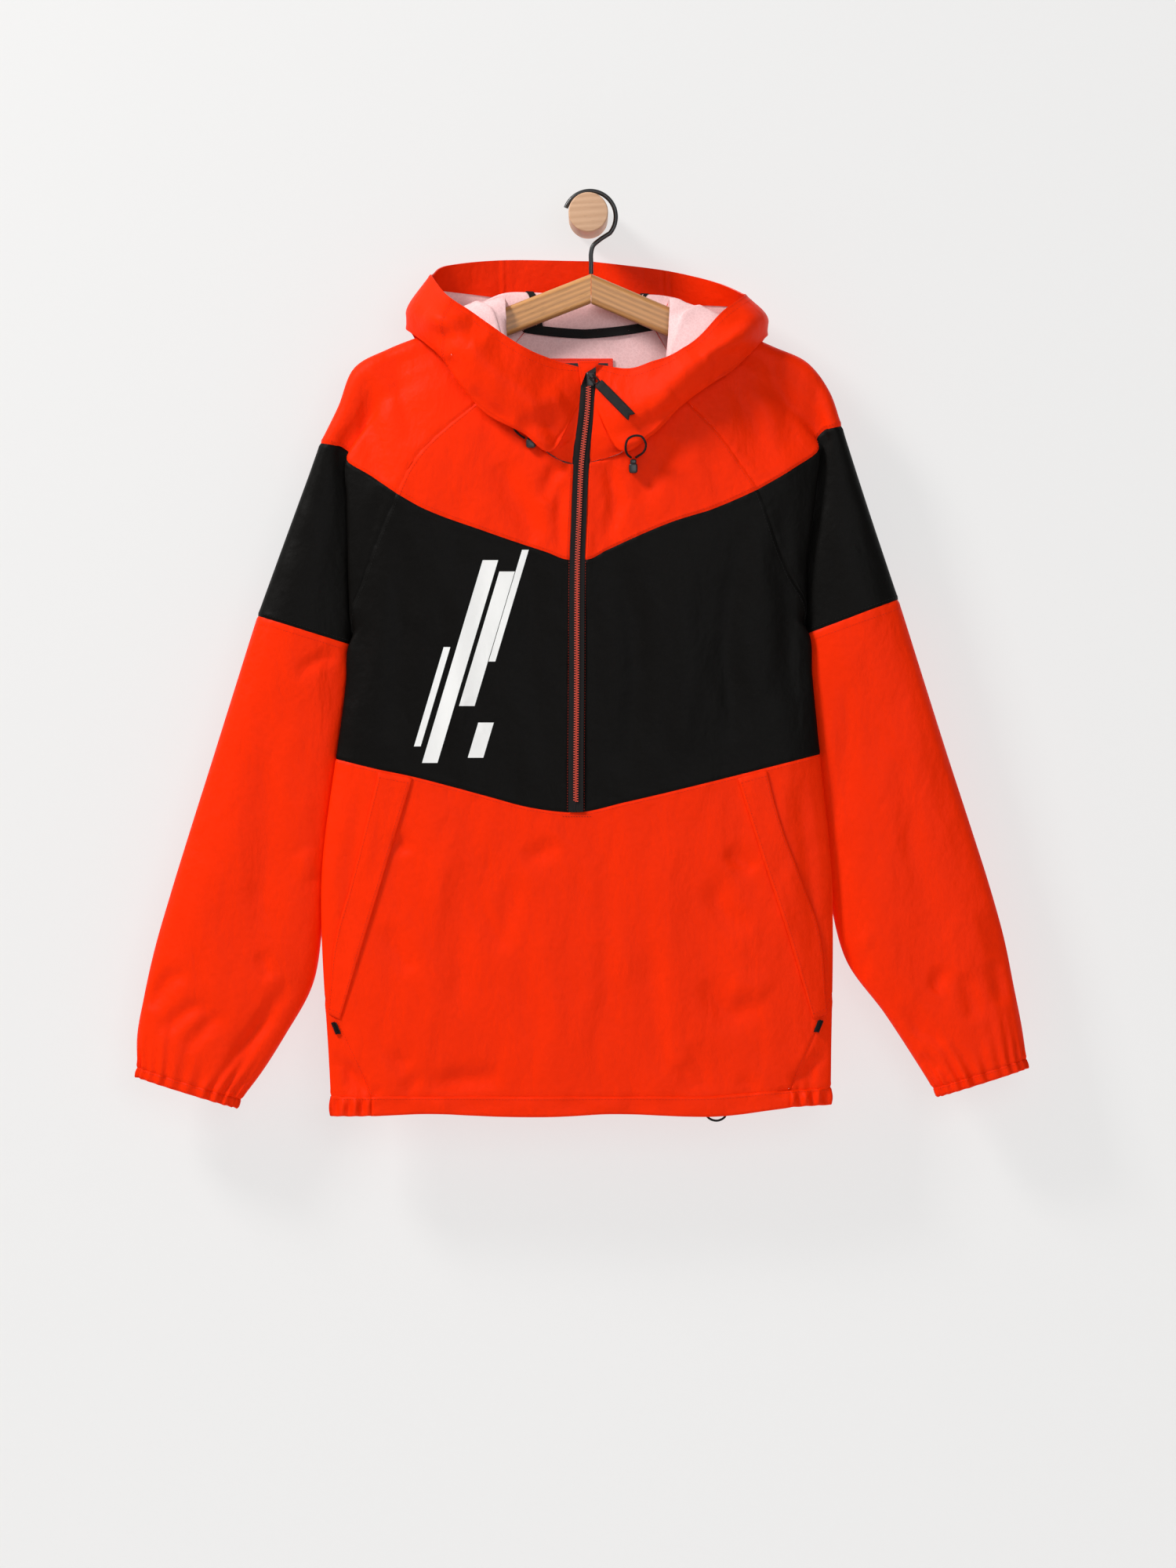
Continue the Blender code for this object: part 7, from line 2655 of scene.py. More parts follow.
@dataclass
class Front:
    """Yokes, chest panels, the lower front and the gussets at its corners."""

    shop: Workshop
    spacing: tuple[float, float] = (3.6, 3.4)
    gusset_cut: int = 6               # fine rows and columns in each step of a gusset
    edge_dip: Point = (0.75, 1.1)     # depth and reach of the folded edge beside the zip
    edge_lip: Point = (0.35, 4.2, 2.4)    # height, place and reach of the lip beside it
    gusset_step: Point = (22.0, 10.0)     # height and width of a step of the grid there
    foot: Point = (-586.0, -12.0, 14.0)   # stitches under the zip: height, left, right
    foot_lift: float = 0.25
    foot_soft: float = 0.3            # evens out the weights of the points near them
    beside: int = 3                   # fine rows from a seam to its stitches

    def build(self) -> None:
        """Build the pieces."""
        halves = [np.concatenate([side.yoke()[:-1],
                                  [side.row(i) for i in range(len(side.side_rows))]])
                  for side in self.shop.sides.values()]
        grid = np.concatenate([halves[0], halves[1][:, ::-1]], axis=1)
        even = {row: self.gusset_cut for row in range(GUSSET_ROW, HEM_ROW)}
        columns = {column: self.gusset_cut
                   for gusset in (GUSSETS[0], GUSSETS[1] - GUSSET_COLUMNS)
                   for column in range(gusset, gusset + GUSSET_COLUMNS)}
        self.cloth = Cloth(grid, flip=True, spacing=self.spacing,
                           row_seams=(0, YOKE_ROW, CHEST_ROW, HEM_ROW),
                           column_seams=(0, grid.shape[1] - 1), fine_columns=ZIP_COLUMNS,
                           even_rows=even, even_columns=columns, relief=self.shop.relief,
                           press=self.zip_dip)
        self.cut_panels()
        self.sew_seams()

    def zip_dip(self, cloth: Cloth) -> np.ndarray:
        """Return the dip of the cloth's folded edges beside the zip.

        Args:
            cloth: the cloth it is pressed into.

        Returns:
            The heights, in millimetres.
        """
        across = cloth.lengths[:, :cloth.columns, 0] / MM
        heights = np.zeros((cloth.rows, cloth.columns))
        rows = cloth.row_keys <= CHEST_ROW
        dip, dip_reach = self.edge_dip
        lip, place, lip_reach = self.edge_lip
        for column, gusset, lean in zip(ZIP_COLUMNS, GUSSETS, (-1.0, 1.0)):
            off = lean * (across - across[:, cloth.column_index(column)][:, None])
            inside = np.maximum(off, 0.0)
            roll = lip * bell(inside - place, lip_reach) - dip * bell(inside, dip_reach)
            heights += roll * (off > -TOUCHING) * rows[:, None]
            heights += self.gusset_dip(cloth, gusset, -lean)
        return heights

    def gusset_dip(self, cloth: Cloth, column: int, lean: float) -> np.ndarray:
        """Return the dip along one gusset's slanted seam.

        Args:
            cloth: the cloth it is pressed into.
            column: the column its seam starts at.
            lean: which way it slants.

        Returns:
            The heights, in millimetres.
        """
        rows = cloth.row_keys[:, None] - GUSSET_ROW
        off = cloth.column_keys[None, :] - column - lean * rows
        distance = np.abs(off) * math.prod(self.gusset_step) / math.hypot(*self.gusset_step)
        inside = (rows >= 0) & (rows <= HEM_ROW - GUSSET_ROW)
        return seam_profile(distance) * inside

    def corner(self, gusset: bool) -> Callable[[int, int], int]:
        """Return the rule for which cells belong to the gussets or the front.

        Args:
            gusset: whether the rule is for the gussets.

        Returns:
            A function of row and column that gives the code.
        """
        cloth = self.cloth
        top, low = cloth.row_index(GUSSET_ROW), cloth.row_index(HEM_ROW)
        left, right = (cloth.column_index(column) for column in GUSSETS)

        def rule(row: int, column: int) -> int:
            """Return 0, 1 or the code of a halved cell.

            Args:
                row: the cell's row.
                column: its column.

            Returns:
                The code of what is kept of it.
            """
            i = row - top
            if not 0 <= i < low - top:
                return 0 if gusset else WHOLE
            if column == left + i:
                return 2 if gusset else 3
            if column == right - i - 1:
                return 5 if gusset else 4
            in_gusset = column < left + i or column > right - i - 1
            return int(in_gusset == gusset)

        return rule

    def cut_panels(self) -> None:
        """Cut the pieces."""
        palette, cloth = self.shop.palette, self.cloth
        orange, lining = palette["orange"], palette["lining"]
        last = round(cloth.column_keys[-1])
        for key, columns, chest in (("l", (0, ZIP_COLUMNS[0]), palette["printed"]),
                                    ("r", (ZIP_COLUMNS[1], last), palette["black"])):
            hang(cloth.cut(f"front_yoke_{key}_cloth", orange, lining, (0, YOKE_ROW), columns),
                 Slot.ORANGE, "front_yoke_" + key, (f"sleeve_cap_{key}_cloth",))
            hang(cloth.cut(f"front_chest_{key}_cloth", chest, palette["black"],
                           (YOKE_ROW, CHEST_ROW), columns),
                 Slot.BLACK, "front_chest_" + key, (f"front_yoke_{key}_cloth",))
        hang(cloth.cut("front_lower_cloth", orange, lining, (CHEST_ROW, HEM_ROW),
                       corner=self.corner(False)),
             Slot.ORANGE, "front_lower", ("front_chest_l_cloth", "front_chest_r_cloth"))
        gusset = self.corner(True)
        middle = cloth.column_index(ZIP_COLUMNS[0])
        for key in ("l", "r"):
            panel = cloth.cut(
                f"side_gusset_{key}_cloth", orange, lining, (GUSSET_ROW, HEM_ROW),
                corner=lambda r, c, key=key: gusset(r, c) if (c < middle) == (key == "l") else 0)
            hang(panel, Slot.ORANGE, "side_gusset_" + key, ("front_lower_cloth",))

    def sew_seams(self) -> None:
        """Stitch beside the seams and down both sides of the zip."""
        cloth, shop = self.cloth, self.shop
        c_left, c_right = (cloth.column_index(column) for column in ZIP_COLUMNS)
        yoke, arm, chest, top, hem = (cloth.row_index(row) for row in (
            YOKE_ROW, ARM_ROW, CHEST_ROW, GUSSET_ROW, HEM_ROW))
        beside = self.beside
        sides = (beside, cloth.columns - 1 - beside)
        halves = ((0, c_left + 1), (c_right, cloth.columns))
        shop.sew("front_yoke_stitches",
                 [cloth.line(row=yoke - beside, span=span) for span in halves])
        shop.sew("front_chest_stitches", [cloth.line(row=chest + beside, span=(0, cloth.columns))])
        shop.sew("front_raglan_stitches",
                 [cloth.line(column=column, span=(1, yoke)) for column in sides])
        shop.sew("front_armhole_stitches",
                 [cloth.line(column=column, span=(yoke, arm)) for column in sides],
                 "dark_thread", Slot.BLACK)
        shop.sew("zip_yoke_stitches",
                 [cloth.line(column=column, span=(2, yoke - 1))
                  for column in (c_left - 1, c_left - 3, c_right + 1, c_right + 3)])
        shop.sew("zip_chest_stitches",
                 [cloth.line(column=column, span=(yoke, chest + 1))
                  for column in (c_left - 1, c_right + 1)],
                 "red_thread", Slot.BLACK, Pitch=0.0026, Length=0.0018, Thread=0.0005)
        raised, steps = cloth.raised(), np.arange(hem - top)
        left, right = (cloth.column_index(column) for column in GUSSETS)
        shop.sew("gusset_stitches", [raised[top + steps, left + steps + 1],
                                     raised[top + steps, right - steps - 1]])
        z, start, end = self.foot
        foot = [(zip_x(z) + x, z) for x in np.linspace(start, end, 14)]
        shop.sew("zip_foot_stitches", [self.on_front(foot)], "dark_thread", Slot.BLACK,
                 Pitch=0.0024, Length=0.0018)

    def on_front(self, line: Sequence[Point]) -> np.ndarray:
        """Return x, z points laid on the pressed front, nearest grid points' depth.

        Args:
            line: places across and up.

        Returns:
            The points, in millimetres.
        """
        points = self.cloth.points.reshape(-1, 3)
        laid = []
        for x, z in line:
            off = np.hypot(points[:, 0] - x, points[:, 1] - z)
            nearest = np.argsort(off)[:4]
            weights = 1 / (off[nearest] + self.foot_soft)
            out = float(np.average(points[nearest, 2], weights=weights))
            laid.append((x, z, out + self.foot_lift))
        return np.array(laid)


@dataclass
class Back:
    """Yoke, chest and lower panel of the back."""

    shop: Workshop
    spacing: tuple[float, float] = (4.8, 4.8)

    def build(self) -> None:
        """Build the pieces."""
        halves = []
        for side in self.shop.sides.values():
            rows = [side.row(i, back=True) for i in range(len(side.side_rows))]
            halves.append(np.concatenate([side.yoke(back=True)[:-1], rows]))
        grid = np.concatenate([halves[0][:, :-1], halves[1][:, ::-1]], axis=1)
        cloth = Cloth(grid, spacing=self.spacing, row_seams=(0, YOKE_ROW, CHEST_ROW, HEM_ROW),
                      column_seams=(0, grid.shape[1] - 1), relief=self.shop.relief)
        palette = self.shop.palette
        for name, rows, outside, inside, slot, above in (
                ("back_yoke", (0, YOKE_ROW), "orange", "lining", Slot.ORANGE, HANGER),
                ("back_chest", (YOKE_ROW, CHEST_ROW), "black", "black", Slot.BLACK,
                 ("back_yoke_cloth",)),
                ("back_lower", (CHEST_ROW, HEM_ROW), "orange", "lining", Slot.ORANGE,
                 ("back_chest_cloth",))):
            hang(cloth.cut(name + "_cloth", palette[outside], palette[inside], rows), slot, name,
                 above)
        yoke, chest = cloth.row_index(YOKE_ROW), cloth.row_index(CHEST_ROW)
        self.shop.sew("back_seam_stitches", [cloth.line(row=yoke - 3), cloth.line(row=chest + 3)])


@dataclass
class Sleeve:
    """Cap, band, lower sleeve and gathered cuff of one arm."""

    shop: Workshop
    key: str
    spacing: tuple[float, float] = (4.0, 3.8)
    lower_spacing: tuple[float, float] = (4.0, 2.6)
    gather_reach: float = 27.0        # how far the gathers run up from the cuff
    cuff_wall: float = 1.8
    cuff_swell: float = 0.014         # how much wider the cuff is halfway down
    shares: tuple[float, ...] = (0, 0.035, 0.1, 0.2, 0.34, 0.48, 0.62, 0.74, 0.85, 0.94, 1.0)

    def build(self) -> None:
        """Build the pieces."""
        side, flip, key = self.shop.sides[self.key], self.key == "r", self.key
        palette = self.shop.palette
        cap = np.concatenate([side.cap_rows(), side.cap_rows(True)[:, -2::-1]], axis=1)
        band = [np.vstack([side.band_row(i / BAND_ROWS),
                           side.band_row(i / BAND_ROWS, True)[-2::-1]])
                for i in range(BAND_ROWS + 1)]
        grid = np.concatenate([cap[:-1], band])
        arm = Cloth(grid, flip=flip, spacing=self.spacing, row_seams=(0, YOKE_ROW, ARM_ROW),
                    column_seams=(0, grid.shape[1] - 1), relief=self.shop.relief)
        hang(arm.cut(f"sleeve_cap_{key}_cloth", palette["orange"], palette["lining"],
                     (0, YOKE_ROW)),
             Slot.ORANGE, "sleeve_cap_" + key, (f"hanger_arm_{key}_form",))
        hang(arm.cut(f"sleeve_band_{key}_cloth", palette["black"], palette["black"],
                     (YOKE_ROW, ARM_ROW)),
             Slot.BLACK, "sleeve_band_" + key, (f"sleeve_cap_{key}_cloth",))
        self.lower = Cloth(np.array([side.lower_row(share) for share in self.shares]), flip=flip,
                           closed=True,
                           spacing=self.lower_spacing, row_seams=(0, len(self.shares) - 1),
                           relief=self.shop.relief, press=self.gathers)
        hang(self.lower.cut(f"sleeve_lower_{key}_cloth", palette["orange"], palette["lining"]),
             Slot.ORANGE, "sleeve_lower_" + key, (f"sleeve_band_{key}_cloth",))
        self.build_cuff()
        under = self.lower.line(row=3)
        self.shop.sew(f"sleeve_{key}_stitches", [arm.line(row=arm.row_index(YOKE_ROW) - 3),
                                                 np.concatenate([under, under[:1]])])
        self.shop.sew(f"sleeve_{key}_band_stitches",
                      [arm.line(row=arm.row_index(ARM_ROW) - 3)], "dark_thread", Slot.BLACK)

    def gathers(self, cloth: Cloth) -> np.ndarray:
        """Return the uneven gathers above the cuff.

        Args:
            cloth: the cloth it is pressed into.

        Returns:
            The heights, in millimetres.
        """
        keys = np.append(cloth.column_keys, RING)
        angles = np.interp(keys[:-1], range(RING + 1), [*RING_ANGLES, 2 * math.pi])
        down = cloth.lengths[:, :cloth.columns, 1] / MM
        above = down[-1:] - down
        random = np.random.default_rng(31 if self.key == "l" else 47)
        uneven, reach = (
            1 + sum(share * np.sin(count * angles + random.random() * 6) for share, count in waves)
            for waves in (((0.3, 3), (0.22, 7)), ((0.35, 5), (0.25, 11))))
        reach = self.gather_reach * reach
        facing = np.minimum(np.abs(np.sin(angles)) * 3, 1.0)
        drift = 0.35 * np.sin(2 * angles)[None, :] * above / 25.0
        wave = np.cos(CUFF_WAVES * (angles[None, :] + drift * 0.12))
        fade = np.exp(-((above / reach[None, :]) ** 1.5))
        return CUFF_WAVE * (facing * uneven)[None, :] * wave * fade

    def build_cuff(self) -> None:
        """Bind the sleeve's gathered end with a narrow elastic channel."""
        side, palette, key = self.shop.sides[self.key], self.shop.palette, self.key
        top = self.lower.points[-1]
        outer, inner = side.curves["outer_lower"], side.curves["inner_lower"]
        axis = outer.at(1.0) - outer.at(0.9) + inner.at(1.0) - inner.at(0.8)
        ahead = np.append(axis / np.linalg.norm(axis), 0.0)
        centre = top.mean(axis=0)
        rows = []
        for share in (0.03, 0.2, 0.42, 0.64, 0.86, 1.0):
            swell = 1 + self.cuff_swell * math.sin(math.pi * share)
            rows.append(centre + (top - centre) * swell + ahead * CUFF_HEIGHT * share)
        cuff = Cloth(np.array(rows), flip=self.key == "r", closed=True, raw=True)
        hang(cuff.cut(f"cuff_{key}_cloth", palette["orange"], palette["orange"],
                      wall=self.cuff_wall, rounded=True),
             Slot.ORANGE, "cuff_" + key, (f"sleeve_lower_{key}_cloth",))
        self.shop.sew(f"cuff_{key}_stitches", [cuff.line(row=1), cuff.line(row=4)], Pitch=0.0026,
                      Length=0.002)


@dataclass
class Hem:
    """The hem channel: plain at the front and back, gathered at the sides."""

    shop: Workshop
    wall: float = HEM_WALL * 0.85
    side_wall: float = 1.28
    off: float = 0.5                  # how far the channel stands off the body
    sag: float = 1.5                  # height of the lower edge's waves
    sag_length: Point = (29.4, 2.68)  # their length and phase, in radians
    roll: Point = (0.9, 14.0)         # height and length of the waves across the channel

    def ring(self, side: Side, back: bool, start: float, end: float, count: int,
             wave: float) -> np.ndarray:
        """Return rows of the channel between two places on one side.

        Args:
            side: the half it belongs to.
            back: whether it is the back.
            start: how far along it starts.
            end: how far along it ends.
            count: number of places along it.
            wave: height of its waves.

        Returns:
            Rows of points, in millimetres.
        """
        rings = []
        length, phase = self.sag_length
        for drop in (0.0, 0.25, 0.5, 0.75, 1.0):
            ring = []
            for i in range(count + 1):
                along = blend(start, end, i / count)
                top = side.hem_z(along, back)
                point = side.back(along, top) if back else side.front(along, top)
                swing = wave * math.sin(math.pi * drop * 0.9) * math.sin(math.pi * i / 2)
                facing = ease((along + SIDE_WALL / 2) / SIDE_WALL)
                point[2] += (-1.0 if back else 1.0) * (self.off + swing) * facing
                point[0] -= side.inward * (self.off + swing) * (1 - facing)
                sagging = self.sag * (1 + math.sin(point[0] / length - phase))
                point[1] = top - (HEM_DROP + sagging) * drop
                if not back and facing == 1:
                    wave_across = math.sin(point[0] / self.roll[1]) * math.sin(math.pi * drop)
                    point[2] += self.roll[0] * wave_across
                ring.append(point)
            rings.append(ring)
        return np.array(rings)

    def build(self) -> None:
        """Build the pieces."""
        sides, palette = self.shop.sides, self.shop.palette
        side_in = NEAR_OFFSETS[-1] - SIDE_WALL
        orange = palette["orange"]
        lines = []
        for name, back in (("hem_front", False), ("hem_back", True)):
            halves = [self.ring(sides[key], back, side_in, sides[key].hem_reach(back), 8, 0.0)
                      for key in ("l", "r")]
            whole = np.concatenate([halves[0], halves[1][:, ::-1][:, 1 if back else 0:]], axis=1)
            cloth = Cloth(whole, flip=not back, spacing=(2.6, 4.2), relief=self.shop.relief)
            hang(cloth.cut(name + "_cloth", orange, orange, wall=self.wall, rounded=True),
                 Slot.ORANGE, name, ("front_lower_cloth" if not back else "back_lower_cloth",))
            lines.append(cloth.line(row=1))
        count = HEM_WAVES * 2
        for key, side in sides.items():
            front = self.ring(side, False, side_in, -SIDE_WALL, count, HEM_WAVE)
            rear = self.ring(side, True, -SIDE_WALL, side_in, count, HEM_WAVE)
            whole = np.concatenate([front[:, :-1], rear[:, 1:]], axis=1)
            cloth = Cloth(whole, flip=key == "r", spacing=(2.2, 1.6), relief=self.shop.relief)
            hang(cloth.cut(f"hem_side_{key}_cloth", orange, orange, wall=self.side_wall,
                           rounded=True),
                 Slot.ORANGE, "hem_side_" + key, (f"side_gusset_{key}_cloth",))
            lines.append(cloth.line(row=1))
        self.shop.sew("hem_stitches", lines)


@dataclass
class Hood:
    """Side and centre panels, brim facing and the tapes inside."""

    shop: Workshop
    relief: Relief
    stations: int = 151               # sections of each half
    steps: tuple[int, ...] = (2, 3, 3, 3, 12, 5, 5, 5, 14, 18)    # between a section's points
    beside_seam: tuple[float, ...] = (0.02, 0.05, 0.09)           # more sections there
    facing_from: float = 5.0          # section where the brim facing starts to show
    front_seam: float = 4.75          # section of the seam across the brim
    facing_off: float = 0.95          # how far the facing lies under the cloth
    tape_off: float = 1.1
    tape_edges: tuple[Point, ...] = ((8.5, 0.25), (9.25, 0.3))    # section, share towards it

    def build(self) -> None:
        """Build the pieces."""
        palette = self.shop.palette
        forms = {key: HoodForm(side) for key, side in self.shop.sides.items()}
        near = [HOOD_SEAM + lean * off for lean in (-1, 1) for off in self.beside_seam]
        last = len(HOOD["l"]) - 1
        line = np.unique(np.round(np.append(np.linspace(0, last, self.stations), near), 4))
        rows = [forms["l"].section(s, self.steps) for s in line]
        rows += [forms["r"].section(s, self.steps) for s in line[-2::-1]]
        seam = int(np.argmin(np.abs(line - HOOD_SEAM)))
        total = len(rows) - 1
        cloth = Cloth(np.array(rows), raw=True, row_seams=(seam, total - seam), relief=self.relief,
                      along_normal=True)
        orange, lining = palette["orange"], palette["lining"]
        for name, span in (("hood_side_l", (0, seam)), ("hood_centre", (seam, total - seam)),
                           ("hood_side_r", (total - seam, total))):
            hang(cloth.cut(name + "_cloth", orange, lining, span), Slot.ORANGE, name)
        rim = cloth.columns - 1
        third = round(self.steps[-1] / 3)
        start, front = (int(np.argmin(np.abs(line - station)))
                        for station in (self.facing_from, self.front_seam))
        facing = cloth.cut("hood_facing_cloth", orange, orange, (start, total - start),
                           (rim - third, rim),
                           lift=-self.facing_off)
        hang(facing, Slot.ORANGE, "hood_facing", ("hood_side_l_cloth", "hood_side_r_cloth"))
        self.build_tapes(forms)
        brim = [cloth.line(column=rim - offset) for offset in (1, 4)]
        across = [cloth.line(row=row, span=(sum(self.steps[:8]), rim))
                  for row in (front, front + 1)]
        seams = [cloth.line(row=row, span=(2, rim)) for row in (seam - 4, total - seam + 4)]
        self.shop.sew("hood_stitches", [*brim, *across, *seams])

    def build_tapes(self, forms: dict[str, HoodForm]) -> None:
        """Lay the narrow tapes down the inside of the hood's back seams."""
        first, last = self.steps[0], sum(self.steps[:4]) + self.steps[4] // 2
        for key, form in forms.items():
            seam = form.section(HOOD_SEAM, self.steps)
            strip = [blend(seam, form.section(station, self.steps), share)[first:last + 1]
                     for station, share in self.tape_edges]
            strip.insert(1, seam[first:last + 1])
            cloth = Cloth(np.array(strip), flip=key == "r", spacing=(2.4, 3.0))
            tape = self.shop.palette["tape"]
            hang(cloth.cut(f"hood_tape_{key}_cloth", tape, tape, lift=-self.tape_off), Slot.TRIM,
                 "hood_tape_" + key, (f"hood_side_{key}_cloth",))


@dataclass
class Neck:
    """The tape over the back neck seam and the blank label under it."""

    shop: Workshop
    lift: float = 0.9                 # clears the pressed cloth behind
    end_rise: float = 4.5             # of the tape's ends, behind the hanger's arms
    label_off: float = 0.6            # the label clears the back by this
    label_wall: float = 1.0
    label_inset: float = 1.6          # from the label's edge to its stitches

    def build(self) -> None:
        """Build the pieces."""
        sides, palette = self.shop.sides, self.shop.palette
        line = np.vstack([sides["l"].yoke(True)[0], sides["r"].yoke(True)[0][-2::-1]])
        line[:, 1] += self.end_rise * (line[:, 0] / line[-1, 0]) ** 2
        grid = np.array([line + np.array([0.0, up, CLOTH + SEAM + TAPE_WALL + self.lift])
                         for up in (TAPE_WIDTH / 2, 0.0, -TAPE_WIDTH / 2)])
        cloth = Cloth(grid, flip=True, spacing=(1.4, 3.0))
        tape = palette["tape"]
        hang(cloth.cut("neck_tape_cloth", tape, tape, wall=TAPE_WALL, rounded=True), Slot.TRIM,
             "neck_tape",
             ("back_yoke_cloth",))
        self.shop.sew("neck_tape_stitches", [cloth.line(row=1), cloth.line(row=cloth.rows - 2)],
                      "dark_thread", Slot.TRIM)
        x, z = LABEL_MIDDLE
        out = -BACK_OUT + CLOTH + self.label_off
        block = soft_block(x, z, (out, out + self.label_wall), LABEL_SIZE, 0.9, 0.3)
        keep(add_mesh("neck_label_form", *block, palette["label"]), Slot.TRIM, "neck_label")
        half = [size / 2 - self.label_inset for size in LABEL_SIZE]
        corners = [(x + u * half[0], z + v * half[1], out + self.label_wall + 0.1)
                   for u, v in ((-1, -1), (1, -1), (1, 1), (-1, 1), (-1, -1))]
        self.shop.sew("label_stitches", [np.array(corners)], Pitch=0.0026, Length=0.0019,
                      Thread=0.00038)


@dataclass
class Zip:
    """Tapes, teeth, slider, garage and the pull that swings on the bridge."""

    shop: Workshop
    teeth: ZipTeeth
    wall: float = 0.7
    tuck: dict[str, float] = field(default_factory=lambda: {"l": 2.4, "r": 1.2})
    tuck_under: float = 1.6           # how far the tapes' edges dip below the hood's
    gap: float = 0.1                  # from the zip's middle to each tape's edge
    tuck_over: float = 10.0           # height over which the tuck comes in
    chain_off: float = 0.35           # between the tapes and the teeth
    slider_rings: tuple[Point, ...] = ((0.0, -0.5), (0.25, 0.0), (0.75, 0.0), (0.95, -0.5),
                                       (1.0, -1.2))       # share of the depth, growth
    slider_corner: float = 1.8
    slider_waist: Point = (0.2, 0.05)                     # narrower below, and above
    garage_rings: tuple[Point, ...] = ((40.3, 0.97), (40.55, 1.0), (41.05, 1.0), (41.3, 0.96))
    garage_seam: Point = (41.4, 0.8)                      # out, share of the outline
    bridge_ease: tuple[Point, ...] = ((-1.0, 0.985), (-0.8, 1.0), (0.8, 1.0), (1.0, 0.985))
    bridge_middle: float = 0.2
    loop_steps: int = 6
    tab_grid: tuple[int, int] = (9, 18)                   # points across and along
    tab_wave: Point = (0.12, 0.55)                        # height, radians a millimetre
    def build(self) -> None:
        """Build the pieces."""
        self.build_tapes()
        self.build_teeth()
        self.build_slider()
        self.build_pull()

    def build_tapes(self) -> None:
        """Lay both woven tapes."""
        tape = self.shop.palette["tape"]
        for key, side in self.shop.sides.items():
            grid = []
            for z in ZIP_ROWS:
                collar = ease((z - COLLAR_START) / self.tuck_over)
                half = ZIP_HALF - COLLAR_INSET * collar
                edge = half + collar * self.tuck[key] + self.gap
                grid.append([(zip_x(z) - side.inward * x, z, zip_out(z) - under)
                             for x, under in ((edge, self.tuck_under * collar), (half, 0.0),
                                              (half / 2, 0.0), (self.gap, 0.0))])
            cloth = Cloth(np.array(grid), flip=key == "r", spacing=(6.0, 1.8))
            hang(cloth.cut(f"zip_tape_{key}_cloth", tape, tape, wall=self.wall), Slot.TRIM,
                 "zip_tape_" + key,
                 (f"front_chest_{key}_cloth",))

    def build_teeth(self) -> None:
        """Set the teeth along the zip's middle."""
        heights = np.linspace(CHAIN_TOP, ZIP_BOTTOM, 200)
        off = self.chain_off + CHAIN_SIZE[1] / 2
        line = np.array([(zip_x(z), z, zip_out(z) + off) for z in heights])
        teeth = self.teeth.run("zip_teeth_form", [line], self.shop.palette["teeth"])
        keep(teeth, Slot.TEETH, "zip_chain")

    def build_slider(self) -> None:
        """Mould the slider and the cloth garage above it."""
        palette = self.shop.palette
        x, z, out = SLIDER
        width, height, depth = SLIDER_SIZE
        rings = []
        low, high = self.slider_waist
        for level, grow in self.slider_rings:
            ring = []
            size = (width + 2 * grow, height + 2 * grow)
            for px, pz, pout in rounded_box(x, z, out + level * depth, size, self.slider_corner):
                up = (pz - z) / (height / 2)
                ring.append((x + (px - x) * (1 - low * ease(-up) - high * ease(up)), pz, pout))
            rings.append(ring)
        keep(add_mesh("zip_slider_form", *loft(rings), palette["plastic"]), Slot.PLASTIC,
             "zip_slider")
        rings = [self.garage_ring(*row) for row in self.garage_rings]
        keep(add_mesh("zip_garage_form", *loft(rings), palette["orange"]), Slot.ORANGE,
             "zip_garage")
        line = self.garage_ring(*self.garage_seam)
        self.shop.sew("garage_stitches", [np.array([*line, line[0]])],
                      Pitch=0.0022, Length=0.0015, Thread=0.00038)

    @staticmethod
    def garage_ring(out: float, grow: float) -> list[Point]:
        """Return the garage's outline, grown about its middle, with points between corners.

        Args:
            out: how far in front it lies.
            grow: scale about its middle.

        Returns:
            Its points, in millimetres.
        """
        corners = np.array(GARAGE)
        middle = corners.mean(axis=0)
        return [(*(middle + (blend(a, b, k / 4) - middle) * grow), out)
                for a, b in zip(corners, np.roll(corners, -1, axis=0)) for k in range(4)]

    def build_pull(self) -> None:
        """Bend the bridge, and hang the loop and the ribbon tab on it."""
        palette = self.shop.palette
        pivot = np.array(PULL_PIVOT)
        down = np.array(PULL_END) - pivot
        length = np.linalg.norm(down)
        down /= length
        across = np.array([-down[1], down[0], 0.0])
        across /= np.linalg.norm(across)
        up = np.cross(across, down)
        up *= math.copysign(1.0, up[2])

        def place(points: Iterable[Point]) -> np.ndarray:
            """Return points given across, down and up from the pivot."""
            return np.array([pivot + u * across + v * down + w * up for u, v, w in points])

        ends = [place((u * BRIDGE_WIDTH / 2, blend(self.bridge_middle, v, grow), w)
                      for v, w in BRIDGE_ARCH) for u, grow in self.bridge_ease]
        keep(add_mesh("zip_bridge_form", *loft(ends), palette["plastic"]), Slot.PLASTIC,
             "zip_bridge")
        path = []
        corner, reach, wide = LOOP_CORNER, LOOP_LENGTH, LOOP_HALF
        for cu, cv, first in ((wide - corner, reach - corner, 0),
                              (corner - wide, reach - corner, 1),
                              (corner - wide, corner, 2), (wide - corner, corner, 3)):
            for k in range(self.loop_steps + 1):
                angle = (first + k / self.loop_steps) * math.pi / 2
                path.append((cu + corner * math.cos(angle), cv + corner * math.sin(angle), 0.0))
        vertices, faces = tube(place(path), LOOP_WIRE, 10, closed=True)
        keep(add_mesh("pull_loop_form", vertices, faces, palette["elastic"]), Slot.TRIM,
             "pull_loop", "zip_pull")
        self.build_tab(place, reach + LOOP_WIRE + SEAM, length)

